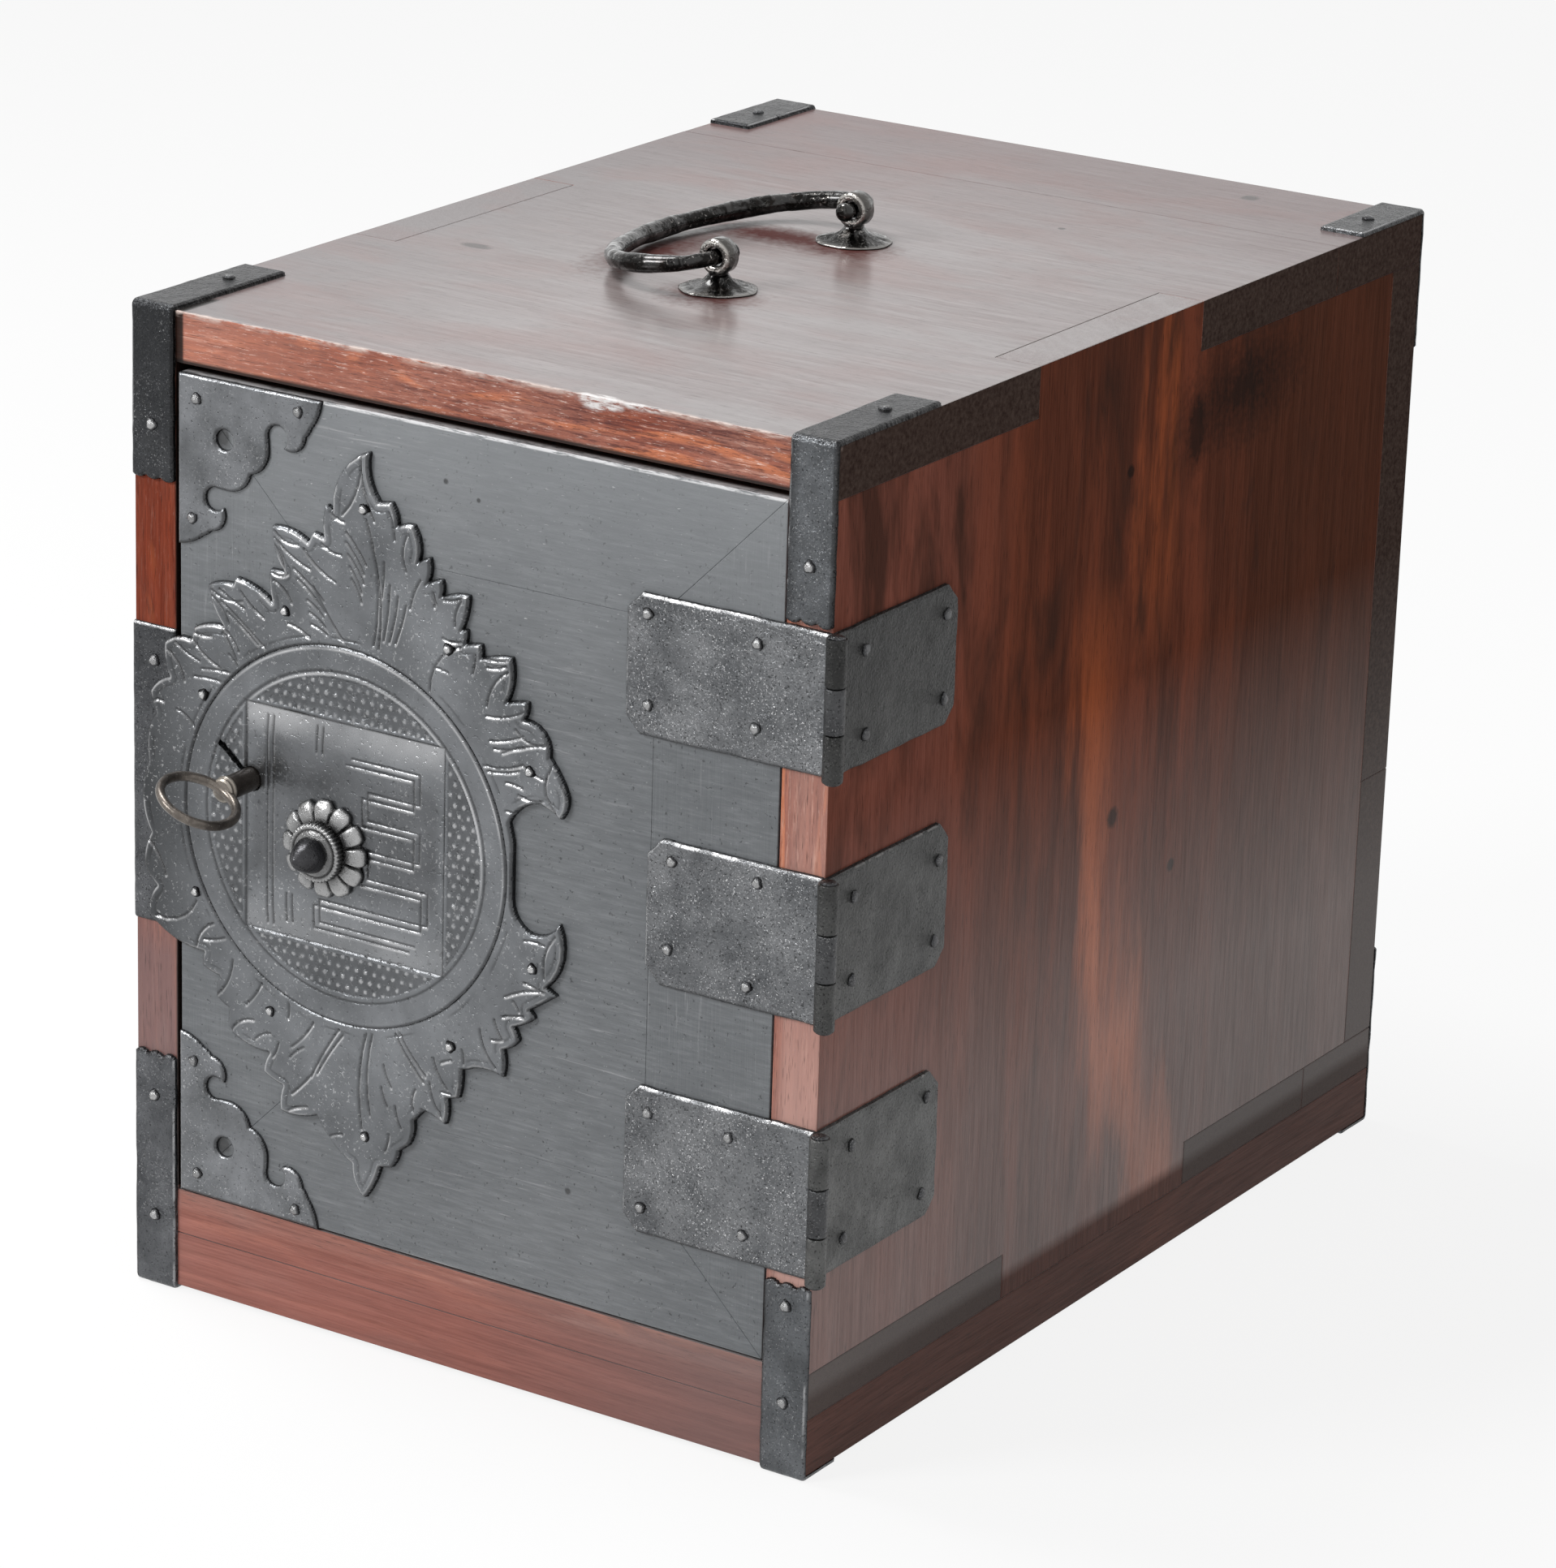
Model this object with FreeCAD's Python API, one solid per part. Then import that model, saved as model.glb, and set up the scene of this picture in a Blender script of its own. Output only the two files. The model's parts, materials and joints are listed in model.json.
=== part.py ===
import FreeCAD
import Part

import math
import os

# A single-door tabletop chest with three drawers behind the door and a bail handle on top.
# Millimetres.  X runs to the right of someone facing the door, Y to the back, Z up.
# The origin is the middle of the carcass footprint at the height of the floor.

# ---------------------------------------------------------------- driving dimensions

# carcass
CHEST_WIDTH = 339.0
CHEST_DEPTH = 478.0
TOP_HEIGHT = 430.0
SIDE_BOARD = 21.5
TOP_BOARD = 21.5
BOTTOM_BOARD = 20.0
BACK_BOARD = 25.0
PLINTH_HEIGHT = 24.5
PLINTH_BOARD = 20.0
TOP_STRIP = 78.0
BOTTOM_STRIP = 64.0
TOP_FINGER_SETBACK = 149.0
TOP_FINGER = 132.0
BOTTOM_FINGER_SETBACK = 150.0
BOTTOM_FINGER = 154.0
BACK_LOWER_BOARD = 126.0

# door
DOOR_THICKNESS = 20.0
DOOR_GAP_FREE = 2.2
DOOR_GAP_HINGE = 0.8
DOOR_GAP_TOP = 3.5
DOOR_GAP_BOTTOM = 1.0
DOOR_MEMBER = 59.0
PANEL_THICKNESS = 12.0
TONGUE_THICKNESS = 5.0
TONGUE_DEPTH = 9.0
TONGUE_SETBACK = 4.0

# iron straps over the corners, each bent once over an edge
STRAP_WIDTH = 21.0
STRAP_THICKNESS = 2.0
FRONT_TOP_STRAP_DROP = 73.0
FRONT_TOP_STRAP_RUN = 73.0
REAR_TOP_STRAP_DROP = 62.0
REAR_TOP_STRAP_RUN = 56.0
FRONT_FOOT_STRAP_RISE_LEFT = 107.0
FRONT_FOOT_STRAP_RISE_RIGHT = 84.5
REAR_FOOT_STRAP_RISE = 86.0
FOOT_STRAP_RUN = 22.0
STRAP_END_WAVE = 3.0
STRAP_NAIL_INSET = 24.0
FOOT_NAIL_DROPS = (20.0, 10.0)
FOOT_NAIL_RISE = 6.0

# keeper plate bent round the left front edge
KEEPER_THICKNESS = 1.2
KEEPER_HEIGHT = 130.0
KEEPER_BOTTOM = 165.0
KEEPER_RETURN = 15.0
KEEPER_NAIL_DROP = 15.0

# nails
NAIL_HEAD = 3.3
NAIL_HEAD_RISE = 1.7
NAIL_SHANK = 1.3
NAIL_LENGTH = 14.0
NAIL_HOLE = 1.6
RIVET_HEAD = 2.9
RIVET_RISE = 1.8
RIVET_DEPTH = 9.0
THROUGH = 1.0

# strap hinges round the right front corner
LEAF_THICKNESS = 2.2
KNUCKLE_RADIUS = 4.25
KNUCKLE_GAP = 0.4
HINGE_PIN_RADIUS = 2.2
HINGE_PIN_CLEARANCE = 0.05
HINGE_PIN_HEAD = 3.5
HINGE_PIN_HEAD_RISE = 1.2
LEAF_CORNER = 7.0
SIDE_LEAF_RUN = 89.0
TOP_HINGE_DROP = 49.0
BOTTOM_HINGE_RISE = 40.5
TOP_HINGE_HEIGHT = 58.0
MIDDLE_HINGE_HEIGHT = 61.0
BOTTOM_HINGE_HEIGHT = 63.0
TOP_HINGE_DOOR_LEAF = 98.0
MIDDLE_HINGE_DOOR_LEAF = 86.0
BOTTOM_HINGE_DOOR_LEAF = 94.0

# corner plates on the free edge of the door
CORNER_PLATE_THICKNESS = 1.8
CORNER_PLATE_UNIT = 1.0
CORNER_HOLE = 4.5
CORNER_DIAGONAL = 36.6

# lock plate and what it carries
LOCK_PLATE_THICKNESS = 3.0
LOCK_PLATE_TOP_MARGIN = 16.0
LOCK_PLATE_BOTTOM_MARGIN = 20.5
LOCK_CENTRE_FROM_EDGE = 85.8
OVERHANG_CLEARANCE = 0.3
LEAF_UP = 165.0
LEAF_DOWN = 156.0

# pull knob with its rosette and milled collar
KNOB_OFFSET_X = -8.5
KNOB_OFFSET_Z = -6.0
ROSETTE_RADIUS = 21.0
ROSETTE_THICKNESS = 5.0
ROSETTE_PETALS = 14
COLLAR_RADIUS = 12.7
COLLAR_THICKNESS = 4.5
KNOB_RADIUS = 8.4
PETAL_RADIUS = 4.0
PETAL_SHARE = 0.6
ROSETTE_RIM_SHARE = 0.7
COLLAR_BEVEL = 1.5
KNOB_RISE = 13.5
KNOB_STEM = 3.0
KNOB_WASHER = 7.0
KNOB_WASHER_THICKNESS = 1.5

# key, keyhole and lock
KEY_FROM_EDGE = 38.3
KEY_OFFSET_Z = 15.5
KEY_SHANK = 5.0
KEYHOLE_CLEARANCE = 0.4
KEY_STANDOUT = 19.5
KEY_COLLAR = 5.7
KEY_COLLAR_LENGTH = 5.5
KEY_BOW_RADIUS = 16.2
KEY_BOW_WIRE = 2.1
KEY_BOW_OVERLAP = 1.1
KEY_BOW_ANGLE = 156.0
KEY_BIT_REACH = 18.5
KEY_BIT_THICKNESS = 2.0
KEY_BIT_LENGTH = 5.0
KEY_BIT_ANGLE = 141.3
KEYHOLE_SLIT_REACH = 20.9
KEYHOLE_SLIT_WIDTH = 2.6
DRILL_PIN_RADIUS = 1.5
DRILL_PIN_CLEARANCE = 0.05
DRILL_PIN_ENTRY = 5.0
CASE_DEPTH = 13.0
CASE_WALL = 1.3
CASE_MARGIN = 2.0
CASE_EAR = 9.0
BOLT_THICKNESS = 4.0
BOLT_HEIGHT = 13.0
BOLT_RISE = 14.0
BOLT_LENGTH = 56.0
BOLT_THROW = 12.0
BOLT_CLEARANCE = 0.3

# handle on the top board
HANDLE_Y = -17.5
HANDLE_X = 2.5
EYE_SPACING = 105.0
EYE_BORE = 3.7
EYE_RADIUS = 7.3
EYE_WIDTH = 8.0
EYE_HEIGHT = 14.2
EYE_SHANK = 2.4
EYE_CLINCH = 9.0
ESCUTCHEON_RADIUS = 17.0
ESCUTCHEON_RISE = 4.0
ESCUTCHEON_EDGE = 1.0
BAIL_PIN = 3.4
BAIL_RADIUS = 4.5
BAIL_TIP_KNOB = 4.3
BAIL_TIP_LENGTH = 6.0
BAIL_HALF_WIDTH = 72.0
BAIL_REACH = 66.0
BAIL_EYE_GAP = 1.5
BAIL_CORNER = 36.0
BAIL_CORNER_TURN = 62.0
BAIL_REST_GAP = 0.3

# inside
DRAWER_SETBACK = 26.0
SHELF = 10.0
TOP_ROW = 84.0
MIDDLE_ROW = 106.0
DRAWER_SIDE_GAP = 0.8
DRAWER_TOP_GAP = 1.5
DRAWER_RUN_GAP = 0.2
DRAWER_BACK_GAP = 12.0
DRAWER_FRONT = 14.0
DRAWER_WALL = 9.0
DRAWER_BOTTOM = 6.0
DRAWER_BACK_DROP = 6.0
DRAWER_PULL_RADIUS = 8.0
DRAWER_PULL_LENGTH = 13.0
DRAWER_PULL_STEM = 3.0
DRAWER_PULL_PEEN = 5.0
DRAWER_PULL_PEEN_THICKNESS = 1.5

# ---------------------------------------------------------------- worked out from them

HALF_WIDTH = CHEST_WIDTH / 2
FRONT = -CHEST_DEPTH / 2
BACK = CHEST_DEPTH / 2
WOOD_FOOT = STRAP_THICKNESS
PLINTH_TOP = WOOD_FOOT + PLINTH_HEIGHT
FLOOR_INSIDE = PLINTH_TOP + BOTTOM_BOARD
CEILING = TOP_HEIGHT - TOP_BOARD
INNER_HALF_WIDTH = HALF_WIDTH - SIDE_BOARD
BACK_INSIDE = BACK - BACK_BOARD

DOOR_LEFT = -INNER_HALF_WIDTH + DOOR_GAP_FREE
DOOR_RIGHT = INNER_HALF_WIDTH - DOOR_GAP_HINGE
DOOR_BOTTOM = FLOOR_INSIDE + DOOR_GAP_BOTTOM
DOOR_TOP = CEILING - DOOR_GAP_TOP
DOOR_BACK = FRONT + DOOR_THICKNESS
PANEL_BACK = FRONT + PANEL_THICKNESS

PIVOT_X = HALF_WIDTH + KNUCKLE_RADIUS
PIVOT_Y = FRONT - KNUCKLE_RADIUS

LOCK_PLATE_ROOM = DOOR_TOP - LOCK_PLATE_TOP_MARGIN - DOOR_BOTTOM - LOCK_PLATE_BOTTOM_MARGIN
LOCK_PLATE_UNIT = LOCK_PLATE_ROOM / (LEAF_UP + LEAF_DOWN)
LOCK_X = DOOR_LEFT + LOCK_CENTRE_FROM_EDGE * LOCK_PLATE_UNIT
LOCK_Z = DOOR_BOTTOM + LOCK_PLATE_BOTTOM_MARGIN + LEAF_DOWN * LOCK_PLATE_UNIT
PLATE_FRONT = FRONT - LOCK_PLATE_THICKNESS
KNOB_X = LOCK_X + KNOB_OFFSET_X
KNOB_Z = LOCK_Z + KNOB_OFFSET_Z
KEY_X = DOOR_LEFT + KEY_FROM_EDGE
KEY_Z = LOCK_Z + KEY_OFFSET_Z
CASE_BACK = DOOR_BACK + CASE_DEPTH

DRAWER_FACE = DOOR_BACK + DRAWER_SETBACK
DRAWER_END = BACK_INSIDE - DRAWER_BACK_GAP


def vector(x, y, z):
    return FreeCAD.Vector(x, y, z)


def box(x0, x1, y0, y1, z0, z1):
    return Part.makeBox(x1 - x0, y1 - y0, z1 - z0, vector(x0, y0, z0))


def rod(radius, start, end):
    """A round bar from one point to another."""
    run = end - start
    return Part.makeCylinder(radius, run.Length, start, run)


def turned(profile, base, axis):
    """A solid of revolution: profile holds (radius, height along axis) corners, closed on the axis."""
    side = vector(1, 0, 0) if abs(axis.x) < 0.5 else vector(0, 0, 1)
    corners = [base + side * radius + axis * height for radius, height in profile]
    corners.append(corners[0])
    return Part.Face(Part.makePolygon(corners)).revolve(base, axis, 360)


def dome(radius, rise, base, axis):
    """A shallow spherical cap of the given foot radius and rise."""
    ball = (radius ** 2 + rise ** 2) / (2 * rise)
    sphere = Part.makeSphere(ball, base + axis * (rise - ball))
    return sphere.common(Part.makeCylinder(radius * 1.2, rise * 1.2, base, axis))


def bulged_face(outline, place):
    """Face of a closed outline of rows (u, v, bulge); bulge is rise over half chord, left of travel."""
    edges = []
    for here, there in zip(outline, outline[1:] + outline[:1]):
        u, v, bulge = here
        start, end = place(u, v), place(there[0], there[1])
        if bulge == 0:
            edges.append(Part.LineSegment(start, end).toShape())
        else:
            du, dv = there[0] - u, there[1] - v
            middle = place(u + du / 2 - dv / 2 * bulge, v + dv / 2 + du / 2 * bulge)
            edges.append(Part.Arc(start, middle, end).toShape())
    return Part.Face(Part.Wire(edges))


def save(node, *pieces):
    """Write one node: one solid, or a group of identical pieces."""
    solids = [solid for piece in pieces for solid in piece.Solids]
    shape = solids[0] if len(solids) == 1 else Part.makeCompound(solids)
    shape.exportStep("parts/" + node + ".step")


os.makedirs("parts", exist_ok=True)

FRONTWARD = vector(0, -1, 0)
BACKWARD = vector(0, 1, 0)
RIGHTWARD = vector(1, 0, 0)
LEFTWARD = vector(-1, 0, 0)
UPWARD = vector(0, 0, 1)
DOWNWARD = vector(0, 0, -1)


def nail(head_at, into):
    """Hand-forged nail: domed head standing on a plate at head_at, shank driven along into."""
    head = dome(NAIL_HEAD, NAIL_HEAD_RISE, head_at, into * -1)
    shank = rod(NAIL_SHANK, head_at - into * (NAIL_HEAD_RISE / 2), head_at + into * NAIL_LENGTH)
    return head.fuse(shank).removeSplitter()


def nail_holes(piece, nails, depth):
    """Cut a plain hole through a plate for each nail, given as (head_at, into)."""
    for head_at, into in nails:
        piece = piece.cut(rod(NAIL_HOLE, head_at - into * depth, head_at + into * depth))
    return piece


# ---------------------------------------------------------------- carcass boards

top_finger = (FRONT + TOP_FINGER_SETBACK, FRONT + TOP_FINGER_SETBACK + TOP_FINGER)
bottom_finger = (FRONT + BOTTOM_FINGER_SETBACK, FRONT + BOTTOM_FINGER_SETBACK + BOTTOM_FINGER)

bolt_front = CASE_BACK - CASE_WALL - BOLT_CLEARANCE - BOLT_THICKNESS
bolt_back = bolt_front + BOLT_THICKNESS
bolt_bottom = KEY_Z + BOLT_RISE - BOLT_HEIGHT / 2
bolt_top = bolt_bottom + BOLT_HEIGHT
bolt_mortise = box(
    -INNER_HALF_WIDTH - BOLT_THROW, -INNER_HALF_WIDTH + BOLT_CLEARANCE,
    bolt_front - BOLT_CLEARANCE, bolt_back + BOLT_CLEARANCE,
    bolt_bottom - BOLT_CLEARANCE, bolt_top + BOLT_CLEARANCE,
)


def side_board(x0, x1):
    """Side board with one wide finger up through the top board and one down through the bottom."""
    board = box(x0, x1, FRONT, BACK_INSIDE, FLOOR_INSIDE, CEILING)
    upper = box(x0, x1, top_finger[0], top_finger[1], CEILING, TOP_HEIGHT)
    lower = box(x0, x1, bottom_finger[0], bottom_finger[1], PLINTH_TOP, FLOOR_INSIDE)
    return board.fuse([upper, lower]).removeSplitter()


def notched_board(y0, y1, z0, z1, finger):
    """Full-width board notched at both ends for the side boards' fingers."""
    board = box(-HALF_WIDTH, HALF_WIDTH, y0, y1, z0, z1)
    left = box(-HALF_WIDTH, -INNER_HALF_WIDTH, finger[0], finger[1], z0, z1)
    right = box(INNER_HALF_WIDTH, HALF_WIDTH, finger[0], finger[1], z0, z1)
    return board.cut([left, right])


save("side_board_left", side_board(-HALF_WIDTH, -INNER_HALF_WIDTH).cut(bolt_mortise))
save("side_board_right", side_board(INNER_HALF_WIDTH, HALF_WIDTH))

eye_ys = [HANDLE_Y - EYE_SPACING / 2, HANDLE_Y + EYE_SPACING / 2]
eye_holes = [
    rod(EYE_SHANK, vector(HANDLE_X, y, CEILING - EYE_CLINCH), vector(HANDLE_X, y, TOP_HEIGHT + EYE_CLINCH))
    for y in eye_ys
]
top_seam = BACK - TOP_STRIP
bottom_seam = BACK - BOTTOM_STRIP
save("top_board", notched_board(FRONT, top_seam, CEILING, TOP_HEIGHT, top_finger).cut(eye_holes))
save("top_rear_strip", box(-HALF_WIDTH, HALF_WIDTH, top_seam, BACK, CEILING, TOP_HEIGHT))
save("bottom_board", notched_board(FRONT, bottom_seam, PLINTH_TOP, FLOOR_INSIDE, bottom_finger))
save("bottom_rear_strip", box(-HALF_WIDTH, HALF_WIDTH, bottom_seam, BACK, PLINTH_TOP, FLOOR_INSIDE))

back_seam = FLOOR_INSIDE + BACK_LOWER_BOARD
save("back_board_lower", box(-HALF_WIDTH, HALF_WIDTH, BACK_INSIDE, BACK, FLOOR_INSIDE, back_seam))
save("back_board_upper", box(-HALF_WIDTH, HALF_WIDTH, BACK_INSIDE, BACK, back_seam, CEILING))

plinth_inner = HALF_WIDTH - PLINTH_BOARD
save("plinth_front", box(-plinth_inner, plinth_inner, FRONT, FRONT + PLINTH_BOARD, WOOD_FOOT, PLINTH_TOP))
save("plinth_back", box(-plinth_inner, plinth_inner, BACK - PLINTH_BOARD, BACK, WOOD_FOOT, PLINTH_TOP))
save("plinth_sides", *[
    box(x, x + PLINTH_BOARD, FRONT, BACK, WOOD_FOOT, PLINTH_TOP)
    for x in (-HALF_WIDTH, plinth_inner)
])

# shelves that carry the two upper drawers
upper_shelf_bottom = CEILING - TOP_ROW - SHELF
lower_shelf_bottom = upper_shelf_bottom - MIDDLE_ROW - SHELF
for node, shelf_bottom in (("shelf_upper", upper_shelf_bottom), ("shelf_lower", lower_shelf_bottom)):
    save(node, box(
        -INNER_HALF_WIDTH, INNER_HALF_WIDTH, DRAWER_FACE, BACK_INSIDE, shelf_bottom, shelf_bottom + SHELF,
    ))

# ---------------------------------------------------------------- corner straps and keeper

carcass_nails = []


def strap(x0, outer_y, leaf_end_z, run_end_y, edge_z, outward_z):
    """L-shaped strap: a leaf with a three-lobed end on the front or back, and a run over the edge."""
    x1 = x0 + STRAP_WIDTH
    y_out = outer_y + math.copysign(STRAP_THICKNESS, outer_y)
    z_out = edge_z + outward_z * STRAP_THICKNESS
    y_low, y_high = min(outer_y, y_out), max(outer_y, y_out)
    leaf = box(x0, x1, y_low, y_high, min(leaf_end_z, z_out), max(leaf_end_z, z_out))
    run = box(x0, x1, min(run_end_y, y_out), max(run_end_y, y_out), min(edge_z, z_out), max(edge_z, z_out))
    bites = [
        rod(STRAP_END_WAVE, vector(x, y_low - THROUGH, leaf_end_z), vector(x, y_high + THROUGH, leaf_end_z))
        for x in (x0 + STRAP_WIDTH / 3, x1 - STRAP_WIDTH / 3)
    ]
    return leaf.fuse(run).removeSplitter().cut(bites)


def strap_nails(x0, spots):
    """Nails down the middle of a strap; each spot is (y, z, direction driven)."""
    x = x0 + STRAP_WIDTH / 2
    return [(vector(x, y, z), into) for y, z, into in spots]


strap_lefts = (-HALF_WIDTH, HALF_WIDTH - STRAP_WIDTH)
foot_rises = (FRONT_FOOT_STRAP_RISE_LEFT, FRONT_FOOT_STRAP_RISE_RIGHT)
front_face = FRONT - STRAP_THICKNESS
rear_face = BACK + STRAP_THICKNESS
strap_top = TOP_HEIGHT + STRAP_THICKNESS
groups = {"front_top_straps": [], "rear_top_straps": [], "front_foot_straps": [], "rear_foot_straps": []}
for x0, foot_rise, nail_drop in zip(strap_lefts, foot_rises, FOOT_NAIL_DROPS):
    parts = {
        "front_top_straps": (
            strap(x0, FRONT, TOP_HEIGHT - FRONT_TOP_STRAP_DROP, FRONT + FRONT_TOP_STRAP_RUN, TOP_HEIGHT, 1),
            [(front_face, TOP_HEIGHT - FRONT_TOP_STRAP_DROP + STRAP_NAIL_INSET, BACKWARD),
             (FRONT + FRONT_TOP_STRAP_RUN - STRAP_NAIL_INSET, strap_top, DOWNWARD)],
        ),
        "rear_top_straps": (
            strap(x0, BACK, TOP_HEIGHT - REAR_TOP_STRAP_DROP, BACK - REAR_TOP_STRAP_RUN, TOP_HEIGHT, 1),
            [(rear_face, TOP_HEIGHT - REAR_TOP_STRAP_DROP + STRAP_NAIL_INSET, FRONTWARD),
             (BACK - REAR_TOP_STRAP_RUN + STRAP_NAIL_INSET, strap_top, DOWNWARD)],
        ),
        "front_foot_straps": (
            strap(x0, FRONT, foot_rise, FRONT + FOOT_STRAP_RUN, WOOD_FOOT, -1),
            [(front_face, foot_rise - nail_drop, BACKWARD),
             (front_face, PLINTH_TOP + FOOT_NAIL_RISE, BACKWARD)],
        ),
        "rear_foot_straps": (
            strap(x0, BACK, REAR_FOOT_STRAP_RISE, BACK - FOOT_STRAP_RUN, WOOD_FOOT, -1),
            [(rear_face, REAR_FOOT_STRAP_RISE - STRAP_NAIL_INSET, FRONTWARD),
             (rear_face, PLINTH_TOP + FOOT_NAIL_RISE, FRONTWARD)],
        ),
    }
    for group, (shape, spots) in parts.items():
        nails = strap_nails(x0, spots)
        groups[group].append(nail_holes(shape, nails, 2 * STRAP_THICKNESS))
        carcass_nails += nails
for group, shapes in groups.items():
    save(group, *shapes)

keeper_top = KEEPER_BOTTOM + KEEPER_HEIGHT
keeper_front = FRONT - KEEPER_THICKNESS
keeper_outer = -HALF_WIDTH - KEEPER_THICKNESS
keeper = box(keeper_outer, -INNER_HALF_WIDTH, keeper_front, FRONT, KEEPER_BOTTOM, keeper_top)
keeper_return = box(
    keeper_outer, -HALF_WIDTH, keeper_front, FRONT + KEEPER_RETURN, KEEPER_BOTTOM, keeper_top)
keeper_nail_x = -HALF_WIDTH + SIDE_BOARD / 2
keeper_nails = [(vector(keeper_nail_x, keeper_front, keeper_top - KEEPER_NAIL_DROP), BACKWARD)]
carcass_nails += keeper_nails
keeper = keeper.fuse(keeper_return).removeSplitter()
save("keeper_plate", nail_holes(keeper, keeper_nails, 3 * KEEPER_THICKNESS))

# ---------------------------------------------------------------- strap hinges

door_nails = []
knuckle_bore = HINGE_PIN_RADIUS + HINGE_PIN_CLEARANCE


def clipped(length, height):
    """Leaf blank in its own plane, from the pivot line: clipped corners at the far end only."""
    return [
        (0, 0, 0), (length - LEAF_CORNER, 0, 0), (length, LEAF_CORNER, 0),
        (length, height - LEAF_CORNER, 0), (length - LEAF_CORNER, height, 0), (0, height, 0),
    ]


def knuckle(z0, z1):
    barrel = Part.makeCylinder(KNUCKLE_RADIUS, z1 - z0, vector(PIVOT_X, PIVOT_Y, z0))
    return barrel.cut(Part.makeCylinder(knuckle_bore, z1 - z0, vector(PIVOT_X, PIVOT_Y, z0)))


def around_pivot(z0, z1):
    """Room that one leaf leaves round the other leaf's knuckle."""
    reach = KNUCKLE_RADIUS + KNUCKLE_GAP
    return box(PIVOT_X - reach, PIVOT_X + reach, PIVOT_Y - reach, PIVOT_Y + reach, z0, z1)


# nail places on each leaf, as (inset from the far end, height above the leaf's lower edge)
door_leaf_nails = {
    "top": [(10.0, 50.0), (61.0, 48.0), (11.0, 13.0), (61.0, 13.5)],
    "middle": [(12.0, 53.0), (52.0, 53.0), (11.0, 16.0), (48.5, 9.0)],
    "bottom": [(11.5, 52.5), (50.0, 51.5), (9.0, 11.0), (58.0, 11.5)],
}
side_leaf_nails = {
    "top": [(9.0, 46.5), (69.0, 47.0), (9.0, 11.5), (67.0, 12.0)],
    "middle": [(8.0, 46.0), (71.0, 49.0), (9.0, 12.0), (71.0, 14.0)],
    "bottom": [(10.0, 53.0), (66.0, 50.5), (11.0, 11.0), (70.5, 12.0)],
}


def hinge(name, z0, height, door_leaf):
    """One hinge: the door leaf has the middle knuckle, the side leaf the two outer ones."""
    z1 = z0 + height
    third = height / 3
    low, high = z0 + third, z1 - third
    pivot_room = rod(knuckle_bore, vector(PIVOT_X, PIVOT_Y, z0), vector(PIVOT_X, PIVOT_Y, z1))

    def on_door(u, v):
        return vector(PIVOT_X - u, FRONT, z0 + v)

    def on_side(u, v):
        return vector(HALF_WIDTH, PIVOT_Y + u, z0 + v)

    front_leaf = bulged_face(clipped(door_leaf, height), on_door).extrude(FRONTWARD * LEAF_THICKNESS)
    ends_room = [around_pivot(z0, low + KNUCKLE_GAP), around_pivot(high - KNUCKLE_GAP, z1)]
    front_leaf = front_leaf.cut(ends_room + [pivot_room])
    front_leaf = front_leaf.fuse(knuckle(low + KNUCKLE_GAP, high - KNUCKLE_GAP)).removeSplitter()
    side_length = SIDE_LEAF_RUN + KNUCKLE_RADIUS
    side_leaf = bulged_face(clipped(side_length, height), on_side).extrude(RIGHTWARD * LEAF_THICKNESS)
    side_leaf = side_leaf.cut([around_pivot(low, high), pivot_room])
    side_leaf = side_leaf.fuse([knuckle(z0, low), knuckle(high, z1)]).removeSplitter()

    leaf_face = FRONT - LEAF_THICKNESS
    side_face = HALF_WIDTH + LEAF_THICKNESS
    front_nails = [
        (vector(PIVOT_X - door_leaf + inset, leaf_face, z0 + rise), BACKWARD)
        for inset, rise in door_leaf_nails[name]
    ]
    side_nails = [
        (vector(side_face, PIVOT_Y + side_length - inset, z0 + rise), LEFTWARD)
        for inset, rise in side_leaf_nails[name]
    ]
    save("hinge_door_leaf_" + name, nail_holes(front_leaf, front_nails, 2 * LEAF_THICKNESS))
    save("hinge_side_leaf_" + name, nail_holes(side_leaf, side_nails, 2 * LEAF_THICKNESS))
    door_nails.extend(front_nails)
    carcass_nails.extend(side_nails)

    shaft = rod(HINGE_PIN_RADIUS, vector(PIVOT_X, PIVOT_Y, z0), vector(PIVOT_X, PIVOT_Y, z1))
    upper = dome(HINGE_PIN_HEAD, HINGE_PIN_HEAD_RISE, vector(PIVOT_X, PIVOT_Y, z1), UPWARD)
    lower = dome(HINGE_PIN_HEAD, HINGE_PIN_HEAD_RISE, vector(PIVOT_X, PIVOT_Y, z0), DOWNWARD)
    return shaft.fuse([upper, lower]).removeSplitter()


middle_hinge_z0 = (DOOR_TOP + DOOR_BOTTOM - MIDDLE_HINGE_HEIGHT) / 2
save(
    "hinge_pins",
    hinge("top", DOOR_TOP - TOP_HINGE_DROP - TOP_HINGE_HEIGHT, TOP_HINGE_HEIGHT, TOP_HINGE_DOOR_LEAF),
    hinge("middle", middle_hinge_z0, MIDDLE_HINGE_HEIGHT, MIDDLE_HINGE_DOOR_LEAF),
    hinge("bottom", DOOR_BOTTOM + BOTTOM_HINGE_RISE, BOTTOM_HINGE_HEIGHT, BOTTOM_HINGE_DOOR_LEAF),
)

# ---------------------------------------------------------------- door boards

panel_left = DOOR_LEFT + DOOR_MEMBER
panel_right = DOOR_RIGHT - DOOR_MEMBER
panel_bottom = DOOR_BOTTOM + DOOR_MEMBER
panel_top = DOOR_TOP - DOOR_MEMBER
tongue_front = FRONT + TONGUE_SETBACK
tongue_back = tongue_front + TONGUE_THICKNESS


def mitred(corners):
    """A frame member from its four corners in the plane of the door."""
    points = [vector(x, FRONT, z) for x, z in corners]
    return Part.Face(Part.makePolygon(points + points[:1])).extrude(BACKWARD * DOOR_THICKNESS)


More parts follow.
